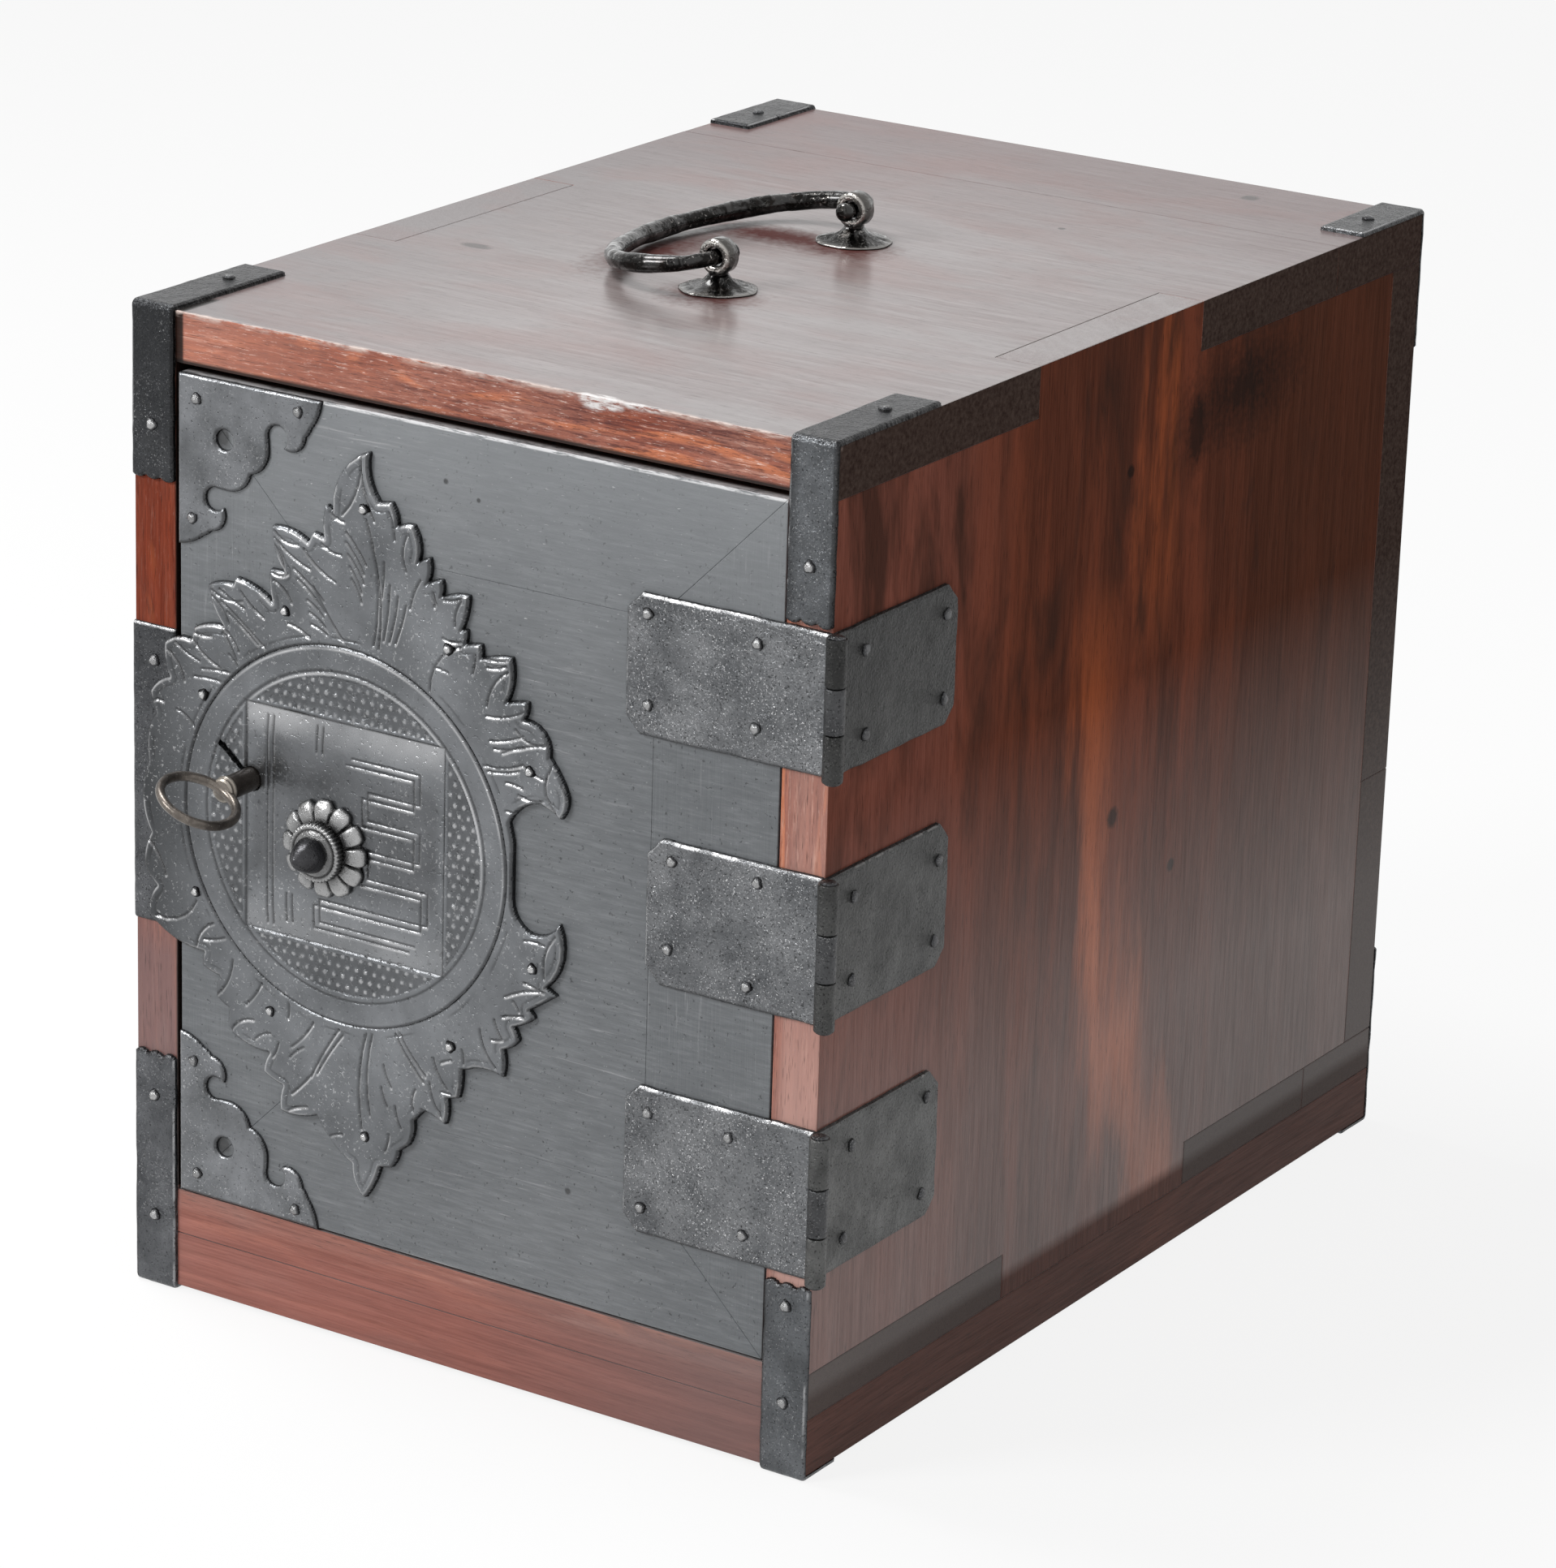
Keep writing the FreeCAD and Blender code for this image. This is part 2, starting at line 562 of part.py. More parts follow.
panel_groove = box(
    panel_left - TONGUE_DEPTH, panel_right + TONGUE_DEPTH, tongue_front, tongue_back,
    panel_bottom - TONGUE_DEPTH, panel_top + TONGUE_DEPTH,
)
outer_left_bottom, outer_right_bottom = (DOOR_LEFT, DOOR_BOTTOM), (DOOR_RIGHT, DOOR_BOTTOM)
outer_left_top, outer_right_top = (DOOR_LEFT, DOOR_TOP), (DOOR_RIGHT, DOOR_TOP)
inner_left_bottom, inner_right_bottom = (panel_left, panel_bottom), (panel_right, panel_bottom)
inner_left_top, inner_right_top = (panel_left, panel_top), (panel_right, panel_top)

key_barrel = KEY_SHANK + KEYHOLE_CLEARANCE
keyhole = rod(
    key_barrel, vector(KEY_X, PLATE_FRONT - THROUGH, KEY_Z), vector(KEY_X, DOOR_BACK + THROUGH, KEY_Z))
slit = box(
    KEY_X, KEY_X + KEYHOLE_SLIT_REACH, PLATE_FRONT - THROUGH, DOOR_BACK + THROUGH,
    KEY_Z - KEYHOLE_SLIT_WIDTH / 2, KEY_Z + KEYHOLE_SLIT_WIDTH / 2,
)
slit.rotate(vector(KEY_X, 0, KEY_Z), FRONTWARD, KEY_BIT_ANGLE)
keyhole = keyhole.fuse(slit)

save("door_stile_left", mitred(
    [outer_left_bottom, inner_left_bottom, inner_left_top, outer_left_top]).cut([panel_groove, keyhole]))
save("door_stile_right", mitred(
    [outer_right_bottom, inner_right_bottom, inner_right_top, outer_right_top]).cut(panel_groove))
save("door_rail_top", mitred(
    [outer_left_top, inner_left_top, inner_right_top, outer_right_top]).cut(panel_groove))
save("door_rail_bottom", mitred(
    [outer_left_bottom, inner_left_bottom, inner_right_bottom, outer_right_bottom]).cut(panel_groove))

knob_hole = rod(
    KNOB_STEM, vector(KNOB_X, PLATE_FRONT - THROUGH, KNOB_Z), vector(KNOB_X, PANEL_BACK + THROUGH, KNOB_Z))
panel = box(panel_left, panel_right, FRONT, PANEL_BACK, panel_bottom, panel_top).fuse(panel_groove)
save("door_panel", panel.removeSplitter().cut([knob_hole, keyhole]))

# ---------------------------------------------------------------- corner plates of the door

# half outline from the tip along the door's edge to the diagonal, as (along, away, bulge);
# a lobe bulges away from the corner, below zero, and the round bite towards it
corner_half = [
    (72.0, 0.0, -0.15), (67.0, 12.0, -0.1), (64.0, 16.5, -0.55), (53.2, 22.8, 2.0),
    (45.4, 20.5, 0.0), (45.6, 25.5, -0.35),
]
corner_nail_spots = [(9.5, 9.5), (61.0, 6.0), (7.5, 60.0)]
corner_hole_spot = (23.5, 24.5)


def corner_plate(z_edge, inward):
    """Scrolled plate in a free corner of the door, mirrored about its own diagonal."""
    bulges = [bulge for u, v, bulge in corner_half]
    far_half = [(v, u) for u, v, bulge in reversed(corner_half)]
    outline = corner_half + [(CORNER_DIAGONAL, CORNER_DIAGONAL, bulges[-1])]
    outline += [(u, v, bulge) for (u, v), bulge in zip(far_half, bulges[-2::-1] + [0.0])]
    outline.append((0.0, 0.0, 0.0))

    def place(u, v):
        return vector(DOOR_LEFT + u * CORNER_PLATE_UNIT, FRONT, z_edge + inward * v * CORNER_PLATE_UNIT)

    plate = bulged_face(outline, place).extrude(FRONTWARD * CORNER_PLATE_THICKNESS)
    up_to_face = FRONTWARD * CORNER_PLATE_THICKNESS
    nails = [(place(u, v) + up_to_face, BACKWARD) for u, v in corner_nail_spots]
    middle = place(*corner_hole_spot)
    plate = plate.cut(rod(CORNER_HOLE, middle + BACKWARD, middle + up_to_face * 2))
    door_nails.extend(nails)
    return nail_holes(plate, nails, 2 * CORNER_PLATE_THICKNESS)


save("door_corner_plate_top", corner_plate(DOOR_TOP, -1))
save("door_corner_plate_bottom", corner_plate(DOOR_BOTTOM, 1))

# ---------------------------------------------------------------- lock plate

# leaf outline about the middle of the ring, clockwise from the top tip, as (right, up, bulge)
leaf_outline = [
    (11.0, LEAF_UP, -0.25), (16.0, 145.0, 0.0), (22.0, 146.0, 0.2), (25.0, 136.5, 0.2),
    (33.0, 138.5, 0.25), (35.5, 123.5, 0.2), (41.0, 126.5, 0.2), (40.0, 115.5, 0.2),
    (47.0, 118.5, 0.2), (47.0, 111.5, 0.15), (60.5, 114.5, 0.1), (57.0, 99.5, 0.0),
    (59.5, 100.5, 0.1), (59.0, 94.0, 0.1), (66.5, 95.5, 0.1), (67.0, 90.0, 0.1),
    (81.5, 93.0, 0.2), (79.5, 74.0, 0.1), (89.5, 76.0, 0.2), (88.0, 68.5, 0.5),
    (100.5, 55.0, 0.1), (109.5, 41.0, 0.25), (106.5, 30.5, -0.1), (96.0, 35.0, -0.25),
    (81.5, 24.0, 0.0), (83.5, 16.0, 0.0), (83.5, -8.0, -0.35), (93.5, -21.0, -0.3),
    (106.5, -13.5, 0.35), (101.0, -42.0, 0.0), (106.0, -44.5, 0.0), (93.0, -53.5, 0.1),
    (95.5, -56.5, 0.1), (85.5, -62.5, 0.1), (88.0, -68.0, 0.15), (80.5, -73.5, 0.15),
    (80.5, -85.5, -0.15), (66.0, -85.0, 0.1), (60.0, -87.0, 0.1), (58.5, -100.0, 0.0),
    (53.0, -101.5, 0.15), (52.0, -113.5, -0.15), (41.0, -110.0, 0.0), (36.0, -115.5, 0.2),
    (33.5, -127.0, 0.0), (29.0, -130.5, 0.15), (25.0, -139.0, 0.0), (19.5, -140.0, 0.1),
    (11.5, -LEAF_DOWN, 0.25), (5.0, -142.0, 0.1), (-6.0, -134.0, 0.1), (-13.0, -125.0, 0.15),
    (-32.0, -127.5, 0.15), (-31.0, -116.0, 0.1), (-41.0, -112.0, 0.15), (-38.0, -103.0, 0.15),
    (-58.0, -98.5, 0.15), (-59.0, -88.0, 0.1), (-66.0, -84.0, 0.15), (-64.0, -75.0, 0.1),
    (-73.0, -72.0, 0.15), (-72.0, -66.0, 0.2), (-101.0, -55.5, 0.25), (-97.0, -42.0, 0.1),
    (-103.5, -34.0, 0.15), (-100.0, -19.0, 0.1), (-104.0, -8.0, 0.15), (-101.0, 12.0, 0.1),
    (-101.0, 26.0, 0.1), (-97.0, 34.0, 0.1), (-100.0, 43.0, 0.2), (-90.0, 51.0, 0.15),
    (-92.5, 65.5, 0.25), (-79.0, 69.0, 0.0),
    (-77.0, 75.0, 0.15), (-62.0, 78.0, 0.15), (-70.0, 94.5, 0.15), (-57.0, 97.0, 0.0),
    (-56.0, 100.0, 0.15), (-37.0, 93.0, 0.1), (-38.5, 107.0, 0.0), (-31.0, 107.0, 0.2),
    (-37.5, 125.5, 0.2), (-19.0, 122.0, 0.0), (-17.0, 126.5, 0.1), (-11.0, 125.0, 0.15),
    (-10.5, 139.5, 0.0), (-7.0, 137.5, 0.35),
]
rivet_spots = [
    (9.0, 141.0), (-30.0, 91.0), (-72.0, 47.0), (51.3, 91.0), (91.8, 48.0),
    (-76.0, -40.0), (-37.0, -84.0), (54.7, -78.0), (94.5, -35.0), (12.0, -128.0),
]


def on_lock_plate(u, v):
    return vector(LOCK_X + u * LOCK_PLATE_UNIT, FRONT, LOCK_Z + v * LOCK_PLATE_UNIT)


lock_plate = bulged_face(leaf_outline, on_lock_plate).extrude(FRONTWARD * LOCK_PLATE_THICKNESS)
overhang_relief = box(
    -CHEST_WIDTH, DOOR_LEFT, FRONT - KEEPER_THICKNESS - OVERHANG_CLEARANCE, FRONT, 0, TOP_HEIGHT,
)
rivet_heads = [on_lock_plate(u, v) + FRONTWARD * LOCK_PLATE_THICKNESS for u, v in rivet_spots]
rivet_holes = [rod(NAIL_SHANK, head + FRONTWARD, head + BACKWARD * NAIL_LENGTH) for head in rivet_heads]
save("lock_plate", lock_plate.cut([overhang_relief, keyhole, knob_hole] + rivet_holes))
rivet_length = LOCK_PLATE_THICKNESS + RIVET_DEPTH
save("lock_plate_rivets", *[
    dome(RIVET_HEAD, RIVET_RISE, head, FRONTWARD).fuse(
        rod(NAIL_SHANK, head + FRONTWARD * (RIVET_RISE / 2), head + BACKWARD * rivet_length)
    ).removeSplitter()
    for head in rivet_heads
])

# ---------------------------------------------------------------- pull knob

knob_base = vector(KNOB_X, PLATE_FRONT, KNOB_Z)
petal_centres = ROSETTE_RADIUS - PETAL_RADIUS
petals = []
for index in range(ROSETTE_PETALS):
    angle = 2 * math.pi * index / ROSETTE_PETALS
    middle = knob_base + vector(math.cos(angle), 0, math.sin(angle)) * petal_centres
    petals.append(rod(PETAL_RADIUS, middle, middle + FRONTWARD * (ROSETTE_THICKNESS * PETAL_SHARE)))
rosette = turned(
    [(0, 0), (petal_centres, 0), (petal_centres, ROSETTE_THICKNESS * ROSETTE_RIM_SHARE),
     (COLLAR_RADIUS, ROSETTE_THICKNESS), (0, ROSETTE_THICKNESS)],
    knob_base, FRONTWARD,
).fuse(petals)
rosette_bore = rod(KNOB_STEM, knob_base, knob_base + FRONTWARD * ROSETTE_THICKNESS)
save("knob_rosette", rosette.cut(rosette_bore))

collar_base = knob_base + FRONTWARD * ROSETTE_THICKNESS
collar = turned(
    [(0, 0), (COLLAR_RADIUS, 0), (COLLAR_RADIUS, COLLAR_THICKNESS * 0.5),
     (COLLAR_RADIUS - COLLAR_BEVEL, COLLAR_THICKNESS), (0, COLLAR_THICKNESS)],
    collar_base, FRONTWARD,
)
stem_top = collar_base + FRONTWARD * COLLAR_THICKNESS
save("knob_collar", collar.cut(rod(KNOB_STEM, collar_base, stem_top)))

knob_head = turned(
    [(0, 0), (KNOB_RADIUS, 0), (KNOB_RADIUS, KNOB_RISE * 0.22), (KNOB_RADIUS * 0.86, KNOB_RISE * 0.5),
     (KNOB_RADIUS * 0.52, KNOB_RISE * 0.8), (KNOB_RADIUS * 0.2, KNOB_RISE * 0.96), (0, KNOB_RISE)],
    stem_top, FRONTWARD,
)
knob_back = vector(KNOB_X, PANEL_BACK, KNOB_Z)
knob_stem = rod(KNOB_STEM, stem_top, knob_back + BACKWARD * KNOB_WASHER_THICKNESS)
knob_clinch = rod(KNOB_WASHER, knob_back, knob_back + BACKWARD * KNOB_WASHER_THICKNESS)
save("pull_knob", knob_head.fuse([knob_stem, knob_clinch]).removeSplitter())

# ---------------------------------------------------------------- lock case, bolt and key

bit_reach_room = KEY_BIT_REACH + CASE_MARGIN
case_left = DOOR_LEFT + CASE_WALL
case_right = KEY_X + bit_reach_room + CASE_WALL
case_bottom = KEY_Z - bit_reach_room - CASE_WALL
case_top = bolt_top + CASE_MARGIN + CASE_WALL
case = box(case_left, case_right, DOOR_BACK, CASE_BACK, case_bottom, case_top)
case_room = box(
    case_left + CASE_WALL, case_right - CASE_WALL, DOOR_BACK, CASE_BACK - CASE_WALL,
    case_bottom + CASE_WALL, case_top - CASE_WALL,
)
bolt_window = box(
    case_left - THROUGH, case_left + CASE_WALL + THROUGH,
    bolt_front - BOLT_CLEARANCE, bolt_back + BOLT_CLEARANCE,
    bolt_bottom - BOLT_CLEARANCE, bolt_top + BOLT_CLEARANCE,
)
ear_right = panel_left
ears = [
    box(case_left, ear_right, DOOR_BACK, DOOR_BACK + CASE_WALL, root, root + CASE_EAR + CASE_WALL)
    for root in (case_top - CASE_WALL, case_bottom - CASE_EAR)
]
pin_inner = CASE_BACK - CASE_WALL
drill_pin = rod(
    DRILL_PIN_RADIUS, vector(KEY_X, pin_inner, KEY_Z), vector(KEY_X, DOOR_BACK - DRILL_PIN_ENTRY, KEY_Z))
ear_nails = []
for z in (case_top + CASE_EAR / 2, case_bottom - CASE_EAR / 2):
    for x in (case_left + CASE_EAR, ear_right - CASE_EAR):
        ear_nails.append((vector(x, DOOR_BACK + CASE_WALL, z), FRONTWARD))
lock_case = case.cut([case_room, bolt_window]).fuse(ears + [drill_pin]).removeSplitter()
save("lock_case", nail_holes(lock_case, ear_nails, 2 * CASE_WALL))
door_nails.extend(ear_nails)

bolt_left = DOOR_LEFT + BOLT_CLEARANCE
save("lock_bolt", box(bolt_left, bolt_left + BOLT_LENGTH, bolt_front, bolt_back, bolt_bottom, bolt_top))

key_end = bolt_front - BOLT_CLEARANCE
shank_start = vector(KEY_X, PLATE_FRONT - KEY_STANDOUT, KEY_Z)
shank = rod(KEY_SHANK, shank_start, vector(KEY_X, key_end, KEY_Z))
shank_bore = rod(
    DRILL_PIN_RADIUS + DRILL_PIN_CLEARANCE,
    vector(KEY_X, key_end, KEY_Z), vector(KEY_X, DOOR_BACK - 2 * DRILL_PIN_ENTRY, KEY_Z),
)
collars = rod(KEY_COLLAR, shank_start, shank_start + BACKWARD * KEY_COLLAR_LENGTH)
bow_centre = shank_start + FRONTWARD * (KEY_BOW_RADIUS - KEY_BOW_OVERLAP)
bow_across = vector(math.cos(math.radians(KEY_BOW_ANGLE)), 0, math.sin(math.radians(KEY_BOW_ANGLE)))
bow = Part.makeTorus(KEY_BOW_RADIUS, KEY_BOW_WIRE, bow_centre, bow_across.cross(FRONTWARD))
bit = box(
    KEY_X, KEY_X + KEY_BIT_REACH, key_end - KEY_BIT_LENGTH, key_end,
    KEY_Z - KEY_BIT_THICKNESS / 2, KEY_Z + KEY_BIT_THICKNESS / 2,
)
bit.rotate(vector(KEY_X, 0, KEY_Z), FRONTWARD, KEY_BIT_ANGLE)
save("key", shank.fuse([collars, bow, bit]).cut(shank_bore))

save("carcass_nails", *[nail(head_at, into) for head_at, into in carcass_nails])
save("door_nails", *[nail(head_at, into) for head_at, into in door_nails])

# ---------------------------------------------------------------- handle

axis_z = TOP_HEIGHT + EYE_HEIGHT
eyes = []
escutcheons = []
for y in eye_ys:
    foot = vector(HANDLE_X, y, TOP_HEIGHT)
    cap = turned(
        [(0, 0), (ESCUTCHEON_RADIUS, 0), (ESCUTCHEON_RADIUS, ESCUTCHEON_EDGE),
         (ESCUTCHEON_RADIUS * 0.66, ESCUTCHEON_RISE * 0.62), (ESCUTCHEON_RADIUS * 0.33, ESCUTCHEON_RISE),
         (0, ESCUTCHEON_RISE)],
        foot, UPWARD,
    )
    escutcheons.append(cap.cut(rod(EYE_SHANK, foot, foot + UPWARD * EYE_HEIGHT)))
    centre = vector(HANDLE_X, y, axis_z)
    half = BACKWARD * (EYE_WIDTH / 2)
    loop = rod(EYE_RADIUS, centre - half, centre + half)
    neck = box(
        HANDLE_X - EYE_SHANK, HANDLE_X + EYE_SHANK, y - EYE_WIDTH / 2, y + EYE_WIDTH / 2,
        TOP_HEIGHT + ESCUTCHEON_RISE, axis_z,
    )
    leg = rod(EYE_SHANK, vector(HANDLE_X, y, CEILING - EYE_SHANK), centre)
    clinch = box(
        HANDLE_X - EYE_CLINCH, HANDLE_X + EYE_CLINCH, y - EYE_SHANK, y + EYE_SHANK,
        CEILING - EYE_SHANK, CEILING,
    )
    bore = rod(EYE_BORE, centre - half * 2, centre + half * 2)
    eyes.append(loop.fuse([neck, leg, clinch]).cut(bore).removeSplitter())
save("handle_escutcheons", *escutcheons)
save("handle_eyes", *eyes)

# bail in its own plane: reach runs away from the pivot line, side runs along it from the middle
bail_elbow = BAIL_HALF_WIDTH - EYE_SPACING / 2 - EYE_WIDTH / 2 - BAIL_EYE_GAP
turn = math.radians(BAIL_CORNER_TURN)
rest_turn = math.radians(90) - turn
corner_start = BAIL_HALF_WIDTH - BAIL_CORNER
tip_side_room = corner_start + BAIL_CORNER * math.cos(turn)
back_radius = tip_side_room / math.sin(rest_turn)
corner_reach = BAIL_REACH - back_radius * (1 - math.cos(rest_turn)) - BAIL_CORNER * math.sin(turn)
drop = EYE_HEIGHT - BAIL_RADIUS - BAIL_REST_GAP
lie_angle = math.asin(drop / BAIL_REACH)
reach_direction = vector(-math.cos(lie_angle), 0, -math.sin(lie_angle))


def on_bail(reach, side):
    return vector(HANDLE_X, HANDLE_Y, axis_z) + reach_direction * reach + BACKWARD * side


def arc(centre, radius, from_angle, to_angle):
    """Arc in the bail's plane; the angle runs from the side direction towards the reach direction."""
    spots = []
    for angle in (from_angle, (from_angle + to_angle) / 2, to_angle):
        spots.append(on_bail(centre[0] + radius * math.sin(angle), centre[1] + radius * math.cos(angle)))
    return Part.Arc(*spots).toShape()


half_edges = []
for hand in (1, -1):
    elbow_end = on_bail(bail_elbow, hand * BAIL_HALF_WIDTH)
    corner_begin = on_bail(corner_reach, hand * BAIL_HALF_WIDTH)
    spots = []
    for angle in (0, math.radians(45), math.radians(90)):
        side = BAIL_HALF_WIDTH - bail_elbow * (1 - math.sin(angle))
        spots.append(on_bail(bail_elbow * (1 - math.cos(angle)), hand * side))
    elbow = Part.Arc(*spots).toShape()
    straight = Part.LineSegment(elbow_end, corner_begin).toShape()
    spots = []
    for angle in (0, turn / 2, turn):
        side = corner_start + BAIL_CORNER * math.cos(angle)
        spots.append(on_bail(corner_reach + BAIL_CORNER * math.sin(angle), hand * side))
    corner = Part.Arc(*spots).toShape()
    half_edges.append([elbow, straight, corner])
back_centre = (BAIL_REACH - back_radius, 0)
back_arc = arc(back_centre, back_radius, math.radians(90) - rest_turn, math.radians(90) + rest_turn)
path = Part.Wire(half_edges[0] + [back_arc] + list(reversed(half_edges[1])))
elbow_start = on_bail(0, BAIL_HALF_WIDTH - bail_elbow)
section = Part.Wire(Part.Circle(elbow_start, BACKWARD, BAIL_RADIUS).toShape())
bail = path.makePipeShell([section], True, True)
pin_inner_side = EYE_SPACING / 2 - EYE_WIDTH / 2 - BAIL_EYE_GAP
for hand in (1, -1):
    outer = on_bail(0, hand * (BAIL_HALF_WIDTH - bail_elbow))
    inner = on_bail(0, hand * (pin_inner_side - BAIL_TIP_LENGTH))
    tip = on_bail(0, hand * pin_inner_side)
    bail = bail.fuse([rod(BAIL_PIN, inner, outer + BACKWARD * hand), rod(BAIL_TIP_KNOB, inner, tip)])
save("handle_bail", bail.removeSplitter())

# ---------------------------------------------------------------- drawers

drawer_left = -INNER_HALF_WIDTH + DRAWER_SIDE_GAP
drawer_right = -drawer_left
drawer_rows = {
    "top": (upper_shelf_bottom + SHELF, CEILING),
    "middle": (lower_shelf_bottom + SHELF, upper_shelf_bottom),
    "bottom": (FLOOR_INSIDE, lower_shelf_bottom),
}
for name, (row_bottom, row_top) in drawer_rows.items():
    low = row_bottom + DRAWER_RUN_GAP
    high = row_top - DRAWER_TOP_GAP
    behind_front = DRAWER_FACE + DRAWER_FRONT
    before_back = DRAWER_END - DRAWER_WALL
    inner_left = drawer_left + DRAWER_WALL
    inner_right = drawer_right - DRAWER_WALL
    pull_z = (low + high) / 2
    peen_y = behind_front + DRAWER_PULL_PEEN_THICKNESS
    stem = rod(DRAWER_PULL_STEM, vector(0, DRAWER_FACE, pull_z), vector(0, peen_y, pull_z))
    front = box(drawer_left, drawer_right, DRAWER_FACE, behind_front, low, high)
    save("drawer_front_" + name, front.cut(stem))
    save("drawer_sides_" + name, *[
        box(x, x + DRAWER_WALL, behind_front, DRAWER_END, low, high)
        for x in (drawer_left, inner_right)
    ])
    save("drawer_back_" + name, box(
        inner_left, inner_right, before_back, DRAWER_END, low, high - DRAWER_BACK_DROP))
    save("drawer_bottom_" + name, box(
        inner_left, inner_right, behind_front, before_back, low, low + DRAWER_BOTTOM))
    length = DRAWER_PULL_LENGTH
    pull = turned(
        [(0, 0), (DRAWER_PULL_RADIUS * 0.7, 0), (DRAWER_PULL_RADIUS * 0.45, length * 0.35),
         (DRAWER_PULL_RADIUS, length * 0.65), (DRAWER_PULL_RADIUS * 0.8, length * 0.92), (0, length)],
        vector(0, DRAWER_FACE, pull_z), FRONTWARD,
    )
    peen = rod(DRAWER_PULL_PEEN, vector(0, behind_front, pull_z), vector(0, peen_y, pull_z))
    save("drawer_pull_" + name, pull.fuse([stem, peen]).removeSplitter())
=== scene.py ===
import json
import math

import bmesh
import bpy
import numpy as np
from mathutils import Matrix, Vector
from mathutils.geometry import delaunay_2d_cdt

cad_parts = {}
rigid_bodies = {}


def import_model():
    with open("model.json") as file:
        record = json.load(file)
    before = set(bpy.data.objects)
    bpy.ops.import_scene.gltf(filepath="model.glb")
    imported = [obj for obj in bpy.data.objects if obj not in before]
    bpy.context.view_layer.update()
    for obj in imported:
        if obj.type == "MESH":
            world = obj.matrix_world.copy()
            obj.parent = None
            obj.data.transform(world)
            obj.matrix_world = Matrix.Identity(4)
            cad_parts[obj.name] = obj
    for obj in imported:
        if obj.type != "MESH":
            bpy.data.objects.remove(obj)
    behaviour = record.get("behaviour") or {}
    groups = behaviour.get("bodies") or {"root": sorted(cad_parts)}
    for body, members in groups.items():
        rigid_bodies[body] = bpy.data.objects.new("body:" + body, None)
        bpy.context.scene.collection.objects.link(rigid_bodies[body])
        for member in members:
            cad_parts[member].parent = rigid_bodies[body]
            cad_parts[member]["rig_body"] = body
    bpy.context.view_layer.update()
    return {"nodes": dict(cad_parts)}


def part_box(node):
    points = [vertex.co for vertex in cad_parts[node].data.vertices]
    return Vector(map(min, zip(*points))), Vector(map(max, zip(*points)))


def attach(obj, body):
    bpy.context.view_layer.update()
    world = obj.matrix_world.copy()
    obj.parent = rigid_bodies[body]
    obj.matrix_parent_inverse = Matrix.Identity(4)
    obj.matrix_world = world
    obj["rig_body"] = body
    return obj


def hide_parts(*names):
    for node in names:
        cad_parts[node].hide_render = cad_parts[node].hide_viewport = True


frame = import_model()

# Lengths below are in millimetres until a mesh is written; MM turns them into metres.
# X runs to the right of someone facing the door, Y to the back, Z up.
MM = 0.001

# ---------------------------------------------------------------- sizes read from the frame


def corners_mm(node):
    """Lowest and highest corner of a CAD node in millimetres."""
    low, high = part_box(node)
    return np.array(low) / MM, np.array(high) / MM


top_low, top_high = corners_mm("top_board")
door_low, door_high = corners_mm("door_stile_left")[0], corners_mm("door_stile_right")[1]
HALF_WIDTH, TOP = top_high[0], top_high[2]
FRONT, CEILING = top_low[1], top_low[2]
BACK = corners_mm("top_rear_strip")[1][1]
WOOD_FOOT = corners_mm("plinth_front")[0][2]
DOOR_LEFT, DOOR_BOTTOM, DOOR_TOP = door_low[0], door_low[2], door_high[2]
HANDLE_X, HANDLE_Y = 2.5, -17.5
EYE_SPACING, EYE_WIDTH = 105.0, 8.0

# ---------------------------------------------------------------- small numeric tools


def lattice_noise(u, v, seed):
    """Smooth random height in -1..1: random numbers on a unit lattice, blended by 3t^2 - 2t^3."""
    table = np.random.RandomState(seed).uniform(-1, 1, (64, 64))
    cell_u, cell_v = np.floor(u).astype(int), np.floor(v).astype(int)
    share_u, share_v = u - cell_u, v - cell_v
    share_u = share_u * share_u * (3 - 2 * share_u)
    share_v = share_v * share_v * (3 - 2 * share_v)
    near_u, far_u, near_v, far_v = cell_u % 64, (cell_u + 1) % 64, cell_v % 64, (cell_v + 1) % 64
    low = table[near_u, near_v] * (1 - share_u) + table[far_u, near_v] * share_u
    high = table[near_u, far_v] * (1 - share_u) + table[far_u, far_v] * share_u
    return low * (1 - share_v) + high * share_v


def roughness_field(u, v, size, seed, octaves=3):
    """Sum of lattice noises, each half the size and half the height of the one before."""
    total = np.zeros(np.broadcast(u, v).shape)
    for octave in range(octaves):
        step = size / 2 ** octave
        total += lattice_noise(u / step, v / step, seed + octave) / 2 ** octave
    return total


def smooth_step(value, start, end):
    """0 before start, 1 after end, 3t^2 - 2t^3 between."""
    share = np.clip((value - start) / (end - start), 0, 1)
    return share * share * (3 - 2 * share)


def round_drop(distance, radius):
    """How far a quarter-round edge lies below its flat: all of radius at the edge, none beyond radius."""
    inside = np.clip(1 - distance / radius, 0, 1)
    return radius * (1 - np.sqrt(np.clip(1 - inside ** 2, 0, 1)))


